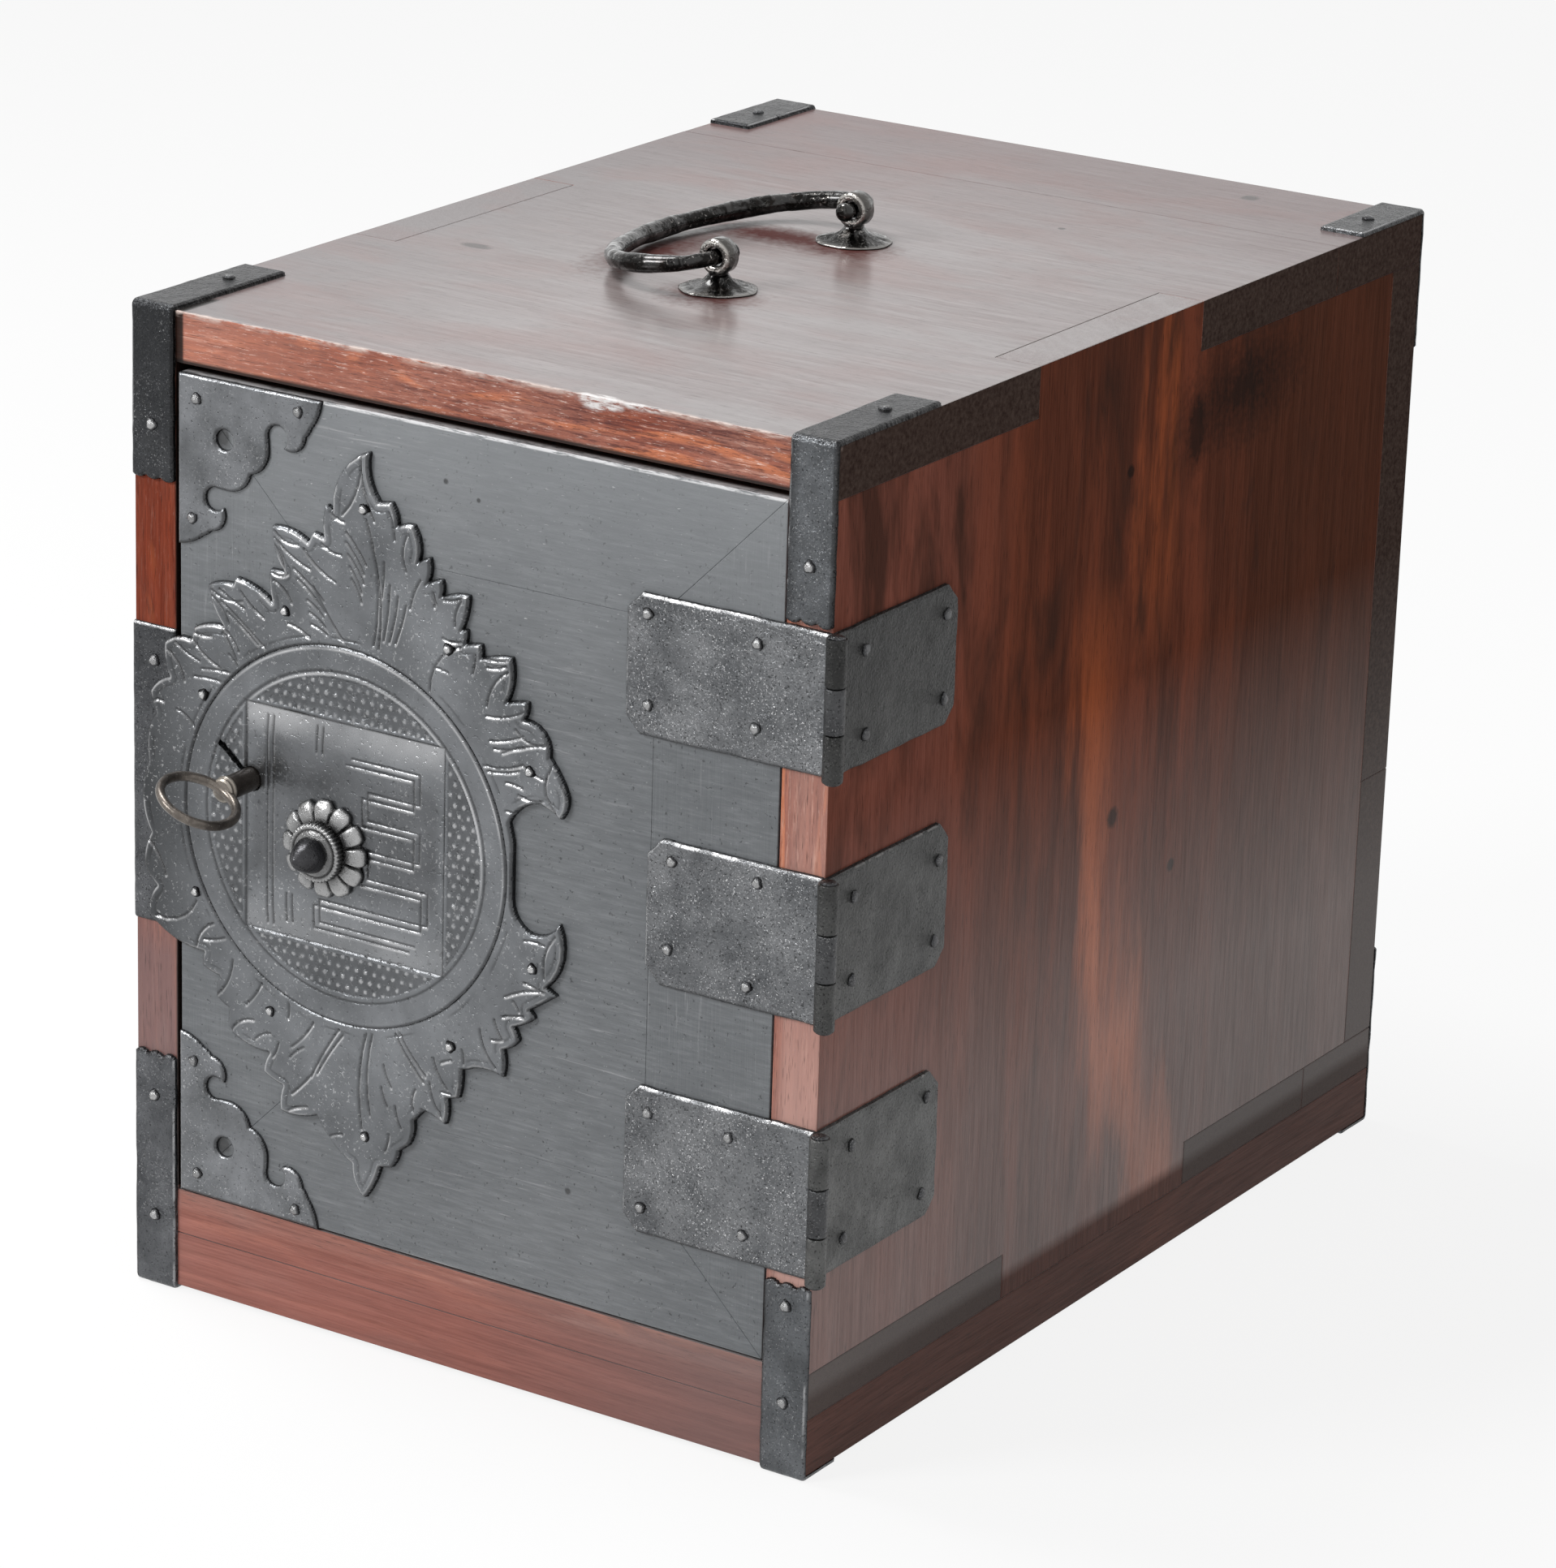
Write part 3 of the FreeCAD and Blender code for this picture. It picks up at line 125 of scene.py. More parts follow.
def arc_outline(rows, steps=5):
    """Closed outline from rows (u, v, bulge): each side is an arc whose rise is bulge times half its chord."""
    points = []
    for (u0, v0, bulge), (u1, v1, _) in zip(rows, rows[1:] + rows[:1]):
        start, chord = np.array([u0, v0], float), np.array([u1 - u0, v1 - v0], float)
        if bulge == 0:
            points.append(start[None])
            continue
        turn = 4 * math.atan(bulge)
        share = np.arange(steps) / steps
        angle = turn * (share - 0.5)
        along = 0.5 + 0.5 * np.sin(angle) / math.sin(turn / 2)
        rise = 0.5 * (np.cos(angle) - math.cos(turn / 2)) / math.sin(turn / 2)
        across = np.array([-chord[1], chord[0]])
        points.append(start + along[:, None] * chord + rise[:, None] * across)
    return np.concatenate(points)


def resampled(outline, step):
    """The same closed outline with a point at least every step."""
    points = []
    for start, end in zip(outline, np.roll(outline, -1, axis=0)):
        count = max(1, int(np.linalg.norm(end - start) / step))
        points.append(start + (end - start) * (np.arange(count) / count)[:, None])
    return np.concatenate(points)


def wobbled(outline, amount, size, seed):
    """Outline pushed in and out by noise, as a hand-cut edge is."""
    outline = resampled(outline, 1.5)
    shift_u = roughness_field(outline[:, 0] + 900, outline[:, 1] + 300, size, seed, 2)
    shift_v = roughness_field(outline[:, 0] + 100, outline[:, 1] + 700, size, seed + 9, 2)
    return outline + amount * np.stack([shift_u, shift_v], axis=1)


def circle_outline(u, v, radius, count=28):
    angle = 2 * math.pi * np.arange(count) / count
    return np.stack([u + radius * np.cos(angle), v + radius * np.sin(angle)], axis=1)


def outline_distance(points, loops):
    """Distance of each point to the nearest side of the loops, above zero inside, and that nearest place."""
    distance = np.full(len(points), np.inf)
    nearest = np.array(points, float)
    inside = np.zeros(len(points), bool)
    starts = np.concatenate(loops)
    ends = np.concatenate([np.roll(loop, -1, axis=0) for loop in loops])
    side = ends - starts
    length = np.maximum((side ** 2).sum(1), 1e-12)
    for first in range(0, len(points), 4000):
        some = points[first:first + 4000]
        away = some[:, None, :] - starts[None]
        share = np.clip((away * side).sum(2) / length, 0, 1)
        close = away - share[:, :, None] * side
        gap = (close ** 2).sum(2)
        best = gap.argmin(1)
        rows = np.arange(len(some))
        distance[first:first + 4000] = np.sqrt(gap[rows, best])
        nearest[first:first + 4000] = some - close[rows, best]
        above = (starts[None, :, 1] > some[:, None, 1]) != (ends[None, :, 1] > some[:, None, 1])
        rise = np.where(np.abs(side[:, 1]) < 1e-12, 1e-12, side[:, 1])
        crossing = starts[None, :, 0] + (some[:, None, 1] - starts[None, :, 1]) * (side[:, 0] / rise)[None]
        inside[first:first + 4000] = (above & (some[:, None, 0] < crossing)).sum(1) % 2 == 1
    return np.where(inside, distance, -distance), nearest


# ---------------------------------------------------------------- meshes


class Shell:
    """Vertices and faces gathered into one mesh; a face row may have three or four corners.
    Each vertex also carries two marks from 0 to 1: rubbed wear together with painted highlights, and dirt together
    with painted shade."""

    def __init__(self):
        self.points = []
        self.faces = []
        self.marks = []
        self.count = 0

    def add(self, points, *faces, worn=0.0, soot=0.0):
        points = np.asarray(points, float).reshape(-1, 3)
        self.points.append(points)
        self.marks.append(np.stack([np.broadcast_to(worn, len(points)), np.broadcast_to(soot, len(points))]))
        for rows in faces:
            if len(rows):
                self.faces.append(np.asarray(rows, int) + self.count)
        self.count += len(points)

    def write(self, name, body, slot, material, replaces=()):
        """Make the piece: it rides on a body, stands for CAD nodes and takes a material."""
        points = np.concatenate(self.points)
        used = np.zeros(len(points), bool)
        for rows in self.faces:
            used[rows] = True
        number = np.cumsum(used) - 1
        points, self.faces = points[used], [number[rows] for rows in self.faces]
        marks = np.concatenate(self.marks, axis=1)[:, used]
        mesh = bpy.data.meshes.new(name)
        mesh.vertices.add(len(points))
        mesh.vertices.foreach_set("co", (points * MM).astype(np.float32).ravel())
        corner_lists = [rows.ravel() for rows in self.faces]
        sizes = np.concatenate([np.full(len(rows), rows.shape[1]) for rows in self.faces])
        mesh.loops.add(int(sizes.sum()))
        mesh.loops.foreach_set("vertex_index", np.concatenate(corner_lists).astype(np.int32))
        mesh.polygons.add(len(sizes))
        starts = np.concatenate([[0], np.cumsum(sizes)[:-1]])
        mesh.polygons.foreach_set("loop_start", starts.astype(np.int32))
        mesh.update(calc_edges=True)
        mesh.validate()
        mesh.polygons.foreach_set("use_smooth", np.ones(len(mesh.polygons), bool))
        for label, values in zip(("worn", "soot"), marks):
            mesh.attributes.new(label, "FLOAT", "POINT").data.foreach_set("value", values.astype(np.float32))
        mesh.materials.append(material)
        piece = bpy.data.objects.new(name, mesh)
        bpy.context.scene.collection.objects.link(piece)
        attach(piece, body)
        if replaces:
            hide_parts(*replaces)
        return piece


def grid_faces(rows, columns, close_rows=False, close_columns=False):
    """Quads of a rows by columns grid of points, joined end to start where closed."""
    row, column = np.meshgrid(
        np.arange(rows if close_rows else rows - 1),
        np.arange(columns if close_columns else columns - 1), indexing="ij")
    row, column = row.ravel(), column.ravel()
    next_row, next_column = (row + 1) % rows, (column + 1) % columns
    return np.stack([
        row * columns + column, next_row * columns + column,
        next_row * columns + next_column, row * columns + next_column], axis=1)


def on_front(u, v, h):
    return np.stack([u, FRONT - h, v], axis=-1)


def on_right(u, v, h):
    return np.stack([HALF_WIDTH + h, u, v], axis=-1)


def ticks(low, high, spacing, extra):
    """Evenly spaced values with a few more where a strip is bent."""
    values = np.arange(low, high + spacing, spacing)
    if len(extra):
        values = values[(values < extra[0] - 0.1) | (values > extra[-1] + 0.1)]
        values = np.sort(np.concatenate([values, extra]))
    return values


def in_shade(outward):
    """1 where an edge faces down and to the right, away from the light, for painted shade; 0 where it faces up or
    left.
    """
    return smooth_step(0.75 * outward[:, 0] - 0.65 * outward[:, 1], -0.3, 0.5)


def grid_distance(u, v, loops):
    """Distances for a whole grid: a coarse pass first, then exact values near the outline."""
    step, near = 6, 9.0
    rows, columns = np.arange(u.shape[0]) // step, np.arange(u.shape[1]) // step
    coarse_u, coarse_v = u[::step, ::step], v[::step, ::step]
    coarse, _ = outline_distance(np.stack([coarse_u.ravel(), coarse_v.ravel()], axis=1), loops)
    distance = coarse.reshape(coarse_u.shape)[np.ix_(rows, columns)].ravel()
    flat = np.stack([u.ravel(), v.ravel()], axis=1)
    nearest = flat.copy()
    close = np.abs(distance) < near
    distance[close], nearest[close] = outline_distance(flat[close], loops)
    return distance, nearest


def add_relief(shell, loops, spacing, height, place, fine_rows=(), fine_lines=(), floor=0.0, splay=0.25):
    """A plate over closed outlines: a grid lifted to height(u, v, distance to the edge), its
    outermost points moved on to the outline, walls down to floor and a flat back."""
    loops = [np.asarray(loop, float) for loop in loops]
    every = np.concatenate(loops)
    low, high = every.min(0) - spacing, every.max(0) + spacing
    columns = ticks(low[0], high[0], spacing, fine_rows)
    lines = ticks(low[1], high[1], spacing, fine_lines)
    u, v = np.meshgrid(columns, lines, indexing="ij")
    flat = np.stack([u.ravel(), v.ravel()], axis=1)
    distance, nearest = grid_distance(u, v, loops)
    outlet = (nearest - flat) * np.sign(distance)[:, None]
    outlet /= np.maximum(np.linalg.norm(outlet, axis=1), 1e-9)[:, None]
    snapped = np.abs(distance) < 0.5 * spacing
    flat = np.where(snapped[:, None], nearest, flat)
    live = snapped | (distance > 0)
    quads = grid_faces(len(columns), len(lines))
    full = live[quads].all(1) & (distance[quads].mean(1) > 0)
    quads = quads[full]
    used = np.unique(quads)
    renumber = np.full(len(flat), -1)
    renumber[used] = np.arange(len(used))
    quads, flat = renumber[quads], flat[used]
    distance = np.where(snapped, 0, distance)[used]
    lifted, worn, soot = height(flat[:, 0], flat[:, 1], distance)
    # Near edges facing down and right, the wear mark is taken off and painted shade is added.
    shaded = in_shade(outlet[used]) * (1 - smooth_step(distance, 0.6, 1.6))
    shell.add(place(flat[:, 0], flat[:, 1], lifted), quads, worn=worn * (1 - 0.9 * shaded),
              soot=np.maximum(soot, 0.7 * shaded))

    starts, ends = quads.ravel(), np.roll(quads, -1, axis=1).ravel()
    key, reverse = starts * len(flat) + ends, ends * len(flat) + starts
    rim = ~np.isin(key, reverse)
    starts, ends = starts[rim], ends[rim]
    rim_points = np.unique(starts)
    number = np.full(len(flat), -1)
    number[rim_points] = np.arange(len(rim_points))
    count = len(rim_points)
    rim_flat = flat[rim_points]
    base = np.full(count, float(floor))
    a, b = number[starts], number[ends]
    chord = rim_flat[b] - rim_flat[a]
    turned = np.stack([chord[:, 1], -chord[:, 0]], axis=1)
    outward = np.zeros((count, 2))
    np.add.at(outward, a, turned)
    np.add.at(outward, b, turned)
    outward /= np.maximum(np.linalg.norm(outward, axis=1), 1e-9)[:, None]
    foot_flat = rim_flat + splay * outward
    shaded = in_shade(outward)
    # The wall is darkened, more where it faces down and right and fully at its foot, which splay sets a little
    # outward: painted shade and a painted contact shadow round the plate.
    rings = [(rim_flat, lifted[rim_points], 0.8 * shaded),
             (rim_flat, 0.45 * (lifted[rim_points] - base) + base, np.maximum(shaded, 0.3)),
             (foot_flat, base, np.ones(count))]
    walls = np.stack([a, a + count, b + count, b], axis=1)
    shell.add(np.concatenate([place(ring[:, 0], ring[:, 1], lift) for ring, lift, _ in rings]), walls,
              walls + count, soot=np.concatenate([dirt for _, _, dirt in rings]))

    result = delaunay_2d_cdt([Vector(p) for p in rim_flat], list(zip(a.tolist(), b.tolist())), [], 1, 1e-6)
    back_flat = np.array([list(p) for p in result[0]])
    triangles = np.array(result[2])
    middle = back_flat[triangles].mean(1)
    kept = triangles[outline_distance(middle, loops)[0] > 0]
    origin = np.array([numbers[0] if numbers else -1 for numbers in result[3]])
    back_flat = back_flat + np.where(origin >= 0, splay, 0)[:, None] * outward[origin]
    shell.add(place(back_flat[:, 0], back_flat[:, 1], np.full(len(back_flat), float(floor))), kept[:, ::-1])


def frames_along(path, closed=False):
    """Two unit vectors across a path at each point, carried along without twisting."""
    step = np.roll(path, -1, axis=0) - np.roll(path, 1, axis=0)
    if not closed:
        step[0], step[-1] = path[1] - path[0], path[-1] - path[-2]
    tangent = step / np.linalg.norm(step, axis=1)[:, None]
    guide = np.eye(3)[np.abs(tangent[0]).argmin()]
    sides = np.empty_like(path)
    for index, direction in enumerate(tangent):
        guide = guide - direction * (guide @ direction)
        guide = guide / np.linalg.norm(guide)
        sides[index] = guide
    return sides, np.cross(tangent, sides)


def add_tube(shell, path, radius, around=20, closed=False, lumps=0.0, seed=3):
    """Round bar: a circle of the given radii carried along a path, with slight hammered lumps; open ends
    are closed by a fan to their middle."""
    path = np.asarray(path, float)
    radius = np.broadcast_to(radius, len(path))
    side, up = frames_along(path, closed)
    angle = 2 * math.pi * np.arange(around) / around
    run = np.concatenate([[0], np.cumsum(np.linalg.norm(np.diff(path, axis=0), axis=1))])
    dent = lumps * roughness_field(run[:, None] + 0 * angle, 4 * np.cos(angle) + 40 + 0 * run[:, None], 5, seed, 2)
    dent = dent + lumps * roughness_field(
        run[:, None] + 50, 4 * np.sin(angle) + 90 + 0 * run[:, None], 5, seed + 4, 2)
    reach = radius[:, None] + dent
    points = (path[:, None] + reach[..., None] * (
        np.cos(angle)[None, :, None] * side[:, None] + np.sin(angle)[None, :, None] * up[:, None]))
    count = len(path)
    faces = grid_faces(count, around, close_rows=closed, close_columns=True)
    points = points.reshape(-1, 3)
    if closed:
        shell.add(points, faces[:, ::-1])
        return
    first, last = len(points), len(points) + 1
    ring = np.arange(around)
    cap_start = np.stack([np.full(around, first), np.roll(ring, -1), ring], axis=1)
    cap_end = np.stack([np.full(around, last), ring + (count - 1) * around,
                        np.roll(ring, -1) + (count - 1) * around], axis=1)
    shell.add(np.concatenate([points, path[:1], path[-1:]]), faces[:, ::-1], cap_start, cap_end)


def add_lathe(shell, base, axis, radii, heights, around=64, ripple=None, closed=False, worn=None, soot=None):
    """Turned shape about an axis, from rows of radius and height. A zero radius at either end is a pole;
    ripple(angle, radii, heights) may shift both; closed joins the last row to the first. worn and soot
    are given per row, or per row and angle."""
    base, axis = np.asarray(base, float), np.asarray(axis, float)
    side = np.eye(3)[np.abs(axis).argmin()]
    side = side - axis * (side @ axis)
    side = side / np.linalg.norm(side)
    up = np.cross(axis, side)
    angle = 2 * math.pi * np.arange(around) / around
    radii, heights = np.asarray(radii, float), np.asarray(heights, float)
    first, last = int(radii[0] == 0), int(radii[-1] == 0)
    rows = slice(first, len(radii) - last)
    reach = radii[rows, None] * np.ones(around)
    lift = heights[rows, None] * np.ones(around)
    if ripple is not None:
        reach, lift = ripple(angle[None, :], reach, lift)
    points = base + reach[..., None] * (
        np.cos(angle)[:, None] * side + np.sin(angle)[:, None] * up) + lift[..., None] * axis
    count = len(points)
    points = np.concatenate([
        points.reshape(-1, 3), base[None] + heights[0] * axis, base[None] + heights[-1] * axis])
    ring, following = np.arange(around), (np.arange(around) + 1) % around
    faces = [grid_faces(count, around, close_rows=closed, close_columns=True)[:, ::-1]]
    if first:
        faces.append(np.stack([np.full(around, count * around), following, ring], axis=1))
    if last:
        top = (count - 1) * around
        faces.append(np.stack([np.full(around, count * around + 1), top + ring, top + following], axis=1))
    marks = []
    for given in (worn, soot):
        mark = np.zeros(len(radii)) if given is None else np.asarray(given, float)
        mark = np.broadcast_to(mark.reshape(len(radii), -1), (len(radii), around))
        marks.append(np.concatenate([mark[rows].ravel(), mark[[0, -1], 0]]))
    shell.add(points, *faces, worn=marks[0], soot=marks[1])


# ---------------------------------------------------------------- node trees


class Tree:
    """Short names for the shader nodes that the finishes are made of."""

    def __init__(self, tree):
        self.tree = tree

    def node(self, kind, inputs=(), **settings):
        made = self.tree.nodes.new(kind)
        for name, value in settings.items():
            setattr(made, name, value)
        for socket, value in (inputs.items() if isinstance(inputs, dict) else enumerate(inputs)):
            if value is None:
                continue
            if isinstance(value, bpy.types.NodeSocket):
                self.tree.links.new(value, made.inputs[socket])
            else:
                made.inputs[socket].default_value = value
        return made

    def math(self, operation, *values, clamp=False):
        return self.node("ShaderNodeMath", values, operation=operation, use_clamp=clamp).outputs[0]

    def times(self, first, second):
        return self.math("MULTIPLY", first, second)

    def plus(self, first, second, clamp=False):
        return self.math("ADD", first, second, clamp=clamp)

    def minus(self, first, second, clamp=False):
        return self.math("SUBTRACT", first, second, clamp=clamp)

    def most(self, first, second):
        return self.math("MAXIMUM", first, second)

    def vector(self, operation, *values):
        made = self.node("ShaderNodeVectorMath", values, operation=operation)
        return made.outputs["Value" if operation in ("LENGTH", "DISTANCE", "DOT_PRODUCT") else "Vector"]

    def scaled(self, vector, factors):
        return self.vector("MULTIPLY", vector, factors)

    def split(self, vector):
        return self.node("ShaderNodeSeparateXYZ", [vector]).outputs

    def joined(self, x, y, z):
        return self.node("ShaderNodeCombineXYZ", [x, y, z]).outputs[0]

    def noise(self, vector, scale, detail=3.0, rough=0.5, distortion=0.0):
        made = self.node("ShaderNodeTexNoise", {
            "Vector": vector, "Scale": scale, "Detail": detail, "Roughness": rough, "Distortion": distortion})
        return made.outputs["Fac"]

    def voronoi(self, vector, scale, feature="F1", randomness=1.0):
        made = self.node("ShaderNodeTexVoronoi", {
            "Vector": vector, "Scale": scale, "Randomness": randomness}, feature=feature)
        return made.outputs["Distance"]

    def span(self, value, low, high, to_low=0.0, to_high=1.0, smooth=False):
        """Value mapped from low..high to to_low..to_high and held there."""
        made = self.node("ShaderNodeMapRange", {
            "Value": value, "From Min": low, "From Max": high, "To Min": to_low, "To Max": to_high},
            clamp=True, interpolation_type="SMOOTHSTEP" if smooth else "LINEAR")
        return made.outputs[0]

    def mix(self, share, first, second):
        made = self.node("ShaderNodeMix", data_type="RGBA", clamp_factor=True)
        for name, value in (("Factor", share), ("A", first), ("B", second)):
            socket = [s for s in made.inputs if s.name == name and s.type in (
                ("VALUE",) if name == "Factor" else ("RGBA",))][0]
            if isinstance(value, bpy.types.NodeSocket):
                self.tree.links.new(value, socket)
            else:
                socket.default_value = value if name == "Factor" else tuple(value) + (1.0,)
        return [s for s in made.outputs if s.type == "RGBA"][0]

    def bump(self, height, strength, distance):
        return self.node("ShaderNodeBump", {
            "Height": height, "Strength": strength, "Distance": distance}).outputs[0]

    def group(self, made, **inputs):
        node = self.node("ShaderNodeGroup", node_tree=made)
        for name, value in inputs.items():
            socket = node.inputs[name.replace("_", " ")]
            if isinstance(value, bpy.types.NodeSocket):
                self.tree.links.new(value, socket)
            else:
                socket.default_value = value
        return node.outputs


def new_group(name, inputs, outputs):
    """Empty shader group with named sockets; returns its tree, its input sockets and a setter for outputs."""
    made = bpy.data.node_groups.new(name, "ShaderNodeTree")
    kinds = {"vector": "NodeSocketVector", "value": "NodeSocketFloat", "colour": "NodeSocketColor"}
    for label, (kind, default) in inputs.items():
        socket = made.interface.new_socket(label, in_out="INPUT", socket_type=kinds[kind])
        socket.default_value = default
    for label, kind in outputs.items():
        made.interface.new_socket(label, in_out="OUTPUT", socket_type=kinds[kind])
    tree = Tree(made)
    entry = made.nodes.new("NodeGroupInput")
    leave = made.nodes.new("NodeGroupOutput")
    return made, tree, entry.outputs, leave.inputs


def finish_group(tree, leave, **values):
    for label, socket in values.items():
        tree.tree.links.new(socket, leave[label])


def new_material(name):
    """Material with one Principled shader; returns its tree, the shader and positions in millimetres."""
    material = bpy.data.materials.new(name)
    material.use_nodes = True
    tree = Tree(material.node_tree)
    shader = material.node_tree.nodes["Principled BSDF"]
    coordinates = tree.node("ShaderNodeTexCoord").outputs["Object"]
    return material, tree, shader, tree.scaled(coordinates, (1000.0, 1000.0, 1000.0))


def feed(tree, shader, **values):
    for label, value in values.items():
        socket = shader.inputs[label.replace("_", " ")]
        if isinstance(value, bpy.types.NodeSocket):
            tree.tree.links.new(value, socket)
        elif isinstance(value, tuple):
            socket.default_value = value + (1.0,)
        else:
            socket.default_value = value


# ---------------------------------------------------------------- stage, lamps and camera

FLOOR_GLOW = 0.86
AZIMUTH, ELEVATION, ROLL = math.radians(32.40), math.radians(19.03), math.radians(1.79)
# Distance of the camera and shift of the point it looks at, in chest heights.
CAMERA_DISTANCE, SHIFT_RIGHT, SHIFT_UP = 6.157, 0.0116, 0.0462
FILM_HEIGHT, FOCAL_SHARE = 36.0, 7520.0 / 1932.0


def direct_rays(tree):
    """1 for rays from the eye, a mirror or a clear body, 0 for the rest."""
    path = tree.node("ShaderNodeLightPath").outputs
    return tree.most(path["Is Camera Ray"], tree.most(path["Is Glossy Ray"], path["Is Transmission Ray"]))


def build_floor():
    """Pale floor: lit diffuse, most of it topped up to white for rays from the eye or a mirror."""
    material = bpy.data.materials.new("paper_floor")
    material.use_nodes = True
    tree = Tree(material.node_tree)
    material.node_tree.nodes.clear()
    diffuse = tree.node("ShaderNodeBsdfDiffuse", {"Color": (0.86, 0.86, 0.86, 1.0)})
    glow = tree.node("ShaderNodeEmission", {"Color": (1.0, 1.0, 1.0, 1.0), "Strength": 1.0})
    share = tree.times(direct_rays(tree), FLOOR_GLOW)
    mixed = tree.node("ShaderNodeMixShader", [share, diffuse.outputs[0], glow.outputs[0]])
    output = tree.node("ShaderNodeOutputMaterial")
    tree.tree.links.new(mixed.outputs[0], output.inputs["Surface"])
    spread = np.linspace(-9.0, 9.0, 7)
    points = np.stack(np.broadcast_arrays(spread[:, None], spread[None], np.zeros((7, 7))), axis=-1).reshape(-1, 3)
    mesh = bpy.data.meshes.new("floor")
    mesh.from_pydata(points.tolist(), [], grid_faces(7, 7).tolist())
    mesh.materials.append(material)
    floor = bpy.data.objects.new("floor", mesh)
    bpy.context.scene.collection.objects.link(floor)


def softbox(name, place, aim, width, height, power):
    """Rectangular area lamp at place, facing aim."""
    data = bpy.data.lights.new(name, "AREA")
    data.shape = "RECTANGLE"
    data.size, data.size_y = width, height
    data.energy = power
    lamp = bpy.data.objects.new(name, data)
    direction = Vector(aim) - Vector(place)
    lamp.matrix_world = Matrix.Translation(place) @ direction.to_track_quat("-Z", "Y").to_matrix().to_4x4()
    bpy.context.scene.collection.objects.link(lamp)


def build_world(light, seen):
    """White world: the eye and mirrors see one strength, diffuse light another."""
    world = bpy.data.worlds.new("studio")
    bpy.context.scene.world = world
    world.use_nodes = True
    tree = Tree(world.node_tree)
    world.node_tree.nodes.clear()
    strength = tree.span(direct_rays(tree), 0.0, 1.0, light, seen)
    background = tree.node("ShaderNodeBackground", {"Color": (1.0, 1.0, 1.0, 1.0), "Strength": strength})
    output = tree.node("ShaderNodeOutputWorld")
    tree.tree.links.new(background.outputs[0], output.inputs["Surface"])


def build_camera():
    """Camera placed by azimuth, elevation and roll about a point near the middle of the chest."""
    unit = TOP * MM
    back = Vector((math.sin(AZIMUTH) * math.cos(ELEVATION), -math.cos(AZIMUTH) * math.cos(ELEVATION),
                   math.sin(ELEVATION)))
    level = Vector((math.cos(AZIMUTH), math.sin(AZIMUTH), 0.0))
    rise = back.cross(level)
    right = level * math.cos(ROLL) + rise * math.sin(ROLL)
    up = rise * math.cos(ROLL) - level * math.sin(ROLL)
    aim = Vector((0.0, 0.0, 0.5 * unit)) - right * SHIFT_RIGHT * unit - up * SHIFT_UP * unit
    data = bpy.data.cameras.new("camera")
    data.sensor_fit = "VERTICAL"
    data.sensor_height = FILM_HEIGHT
    data.lens = FILM_HEIGHT * FOCAL_SHARE
    data.clip_end = 50.0
    camera = bpy.data.objects.new("camera", data)
    camera.matrix_world = Matrix.Translation(aim + back * CAMERA_DISTANCE * unit) @ Matrix(
        (right, up, back)).transposed().to_4x4()
    bpy.context.scene.collection.objects.link(camera)
    bpy.context.scene.camera = camera


build_floor()
build_world(0.38, 1.05)
softbox("overhead_box", (-1.1, -0.1, 2.3), (0.0, 0.0, 0.2), 0.9, 0.9, 38.0)
softbox("front_box", (-1.4, -2.1, 1.75), (0.0, 0.0, 0.2), 0.9, 0.7, 42.0)
build_camera()
bpy.context.scene.view_settings.view_transform = "Standard"

# ---------------------------------------------------------------- shared patterns


def grain_group():
    """Wood figure. Vector is in millimetres with its first axis along the fibres."""
    made, tree, entry, leave = new_group(
        "wood_figure",
        {"Vector": ("vector", (0, 0, 0)), "Ring Size": ("value", 9.0), "Sway": ("value", 1.0)},
        {"Figure": "value", "Rings": "value", "Fibre": "value", "Pores": "value", "Patches": "value"})
    vector = entry["Vector"]
    drift = tree.noise(tree.scaled(vector, (0.004, 0.016, 0.016)), 1.0, 2.0)
    wave = tree.noise(tree.scaled(vector, (0.011, 0.05, 0.05)), 1.0, 2.0)
    across = tree.split(vector)
    spread = tree.plus(across["Y"], tree.times(across["Z"], 0.8))
    sway = tree.times(entry["Sway"], tree.plus(tree.times(drift, 9.0), wave))
    swayed = tree.plus(tree.math("DIVIDE", spread, entry["Ring Size"]), sway)
    ring = tree.math("FRACT", swayed)
    early = tree.span(ring, 0.0, 0.80, smooth=True)
    late = tree.span(ring, 0.80, 1.0, 1.0, 0.0, smooth=True)
    weight = tree.noise(tree.scaled(vector, (0.008, 0.12, 0.12)), 1.0, 3.0, 0.6)
    rings = tree.times(tree.times(early, late), tree.span(weight, 0.35, 0.65))
    stripe = tree.noise(tree.scaled(vector, (0.010, 0.42, 0.42)), 1.0, 3.0, 0.55)
    figure = tree.plus(tree.times(rings, 0.45), tree.times(stripe, 0.75))
    fibre = tree.noise(tree.scaled(vector, (0.030, 1.3, 1.3)), 1.0, 4.0, 0.65)
    pore_field = tree.noise(tree.scaled(vector, (0.12, 2.6, 2.6)), 1.0, 1.0)
    pores = tree.span(pore_field, 0.64, 0.74)
    patches = tree.noise(tree.scaled(vector, (0.006, 0.022, 0.022)), 1.0, 3.0, 0.6, 0.4)
    finish_group(tree, leave, Figure=figure, Rings=rings, Fibre=fibre, Pores=pores, Patches=patches)
    return made


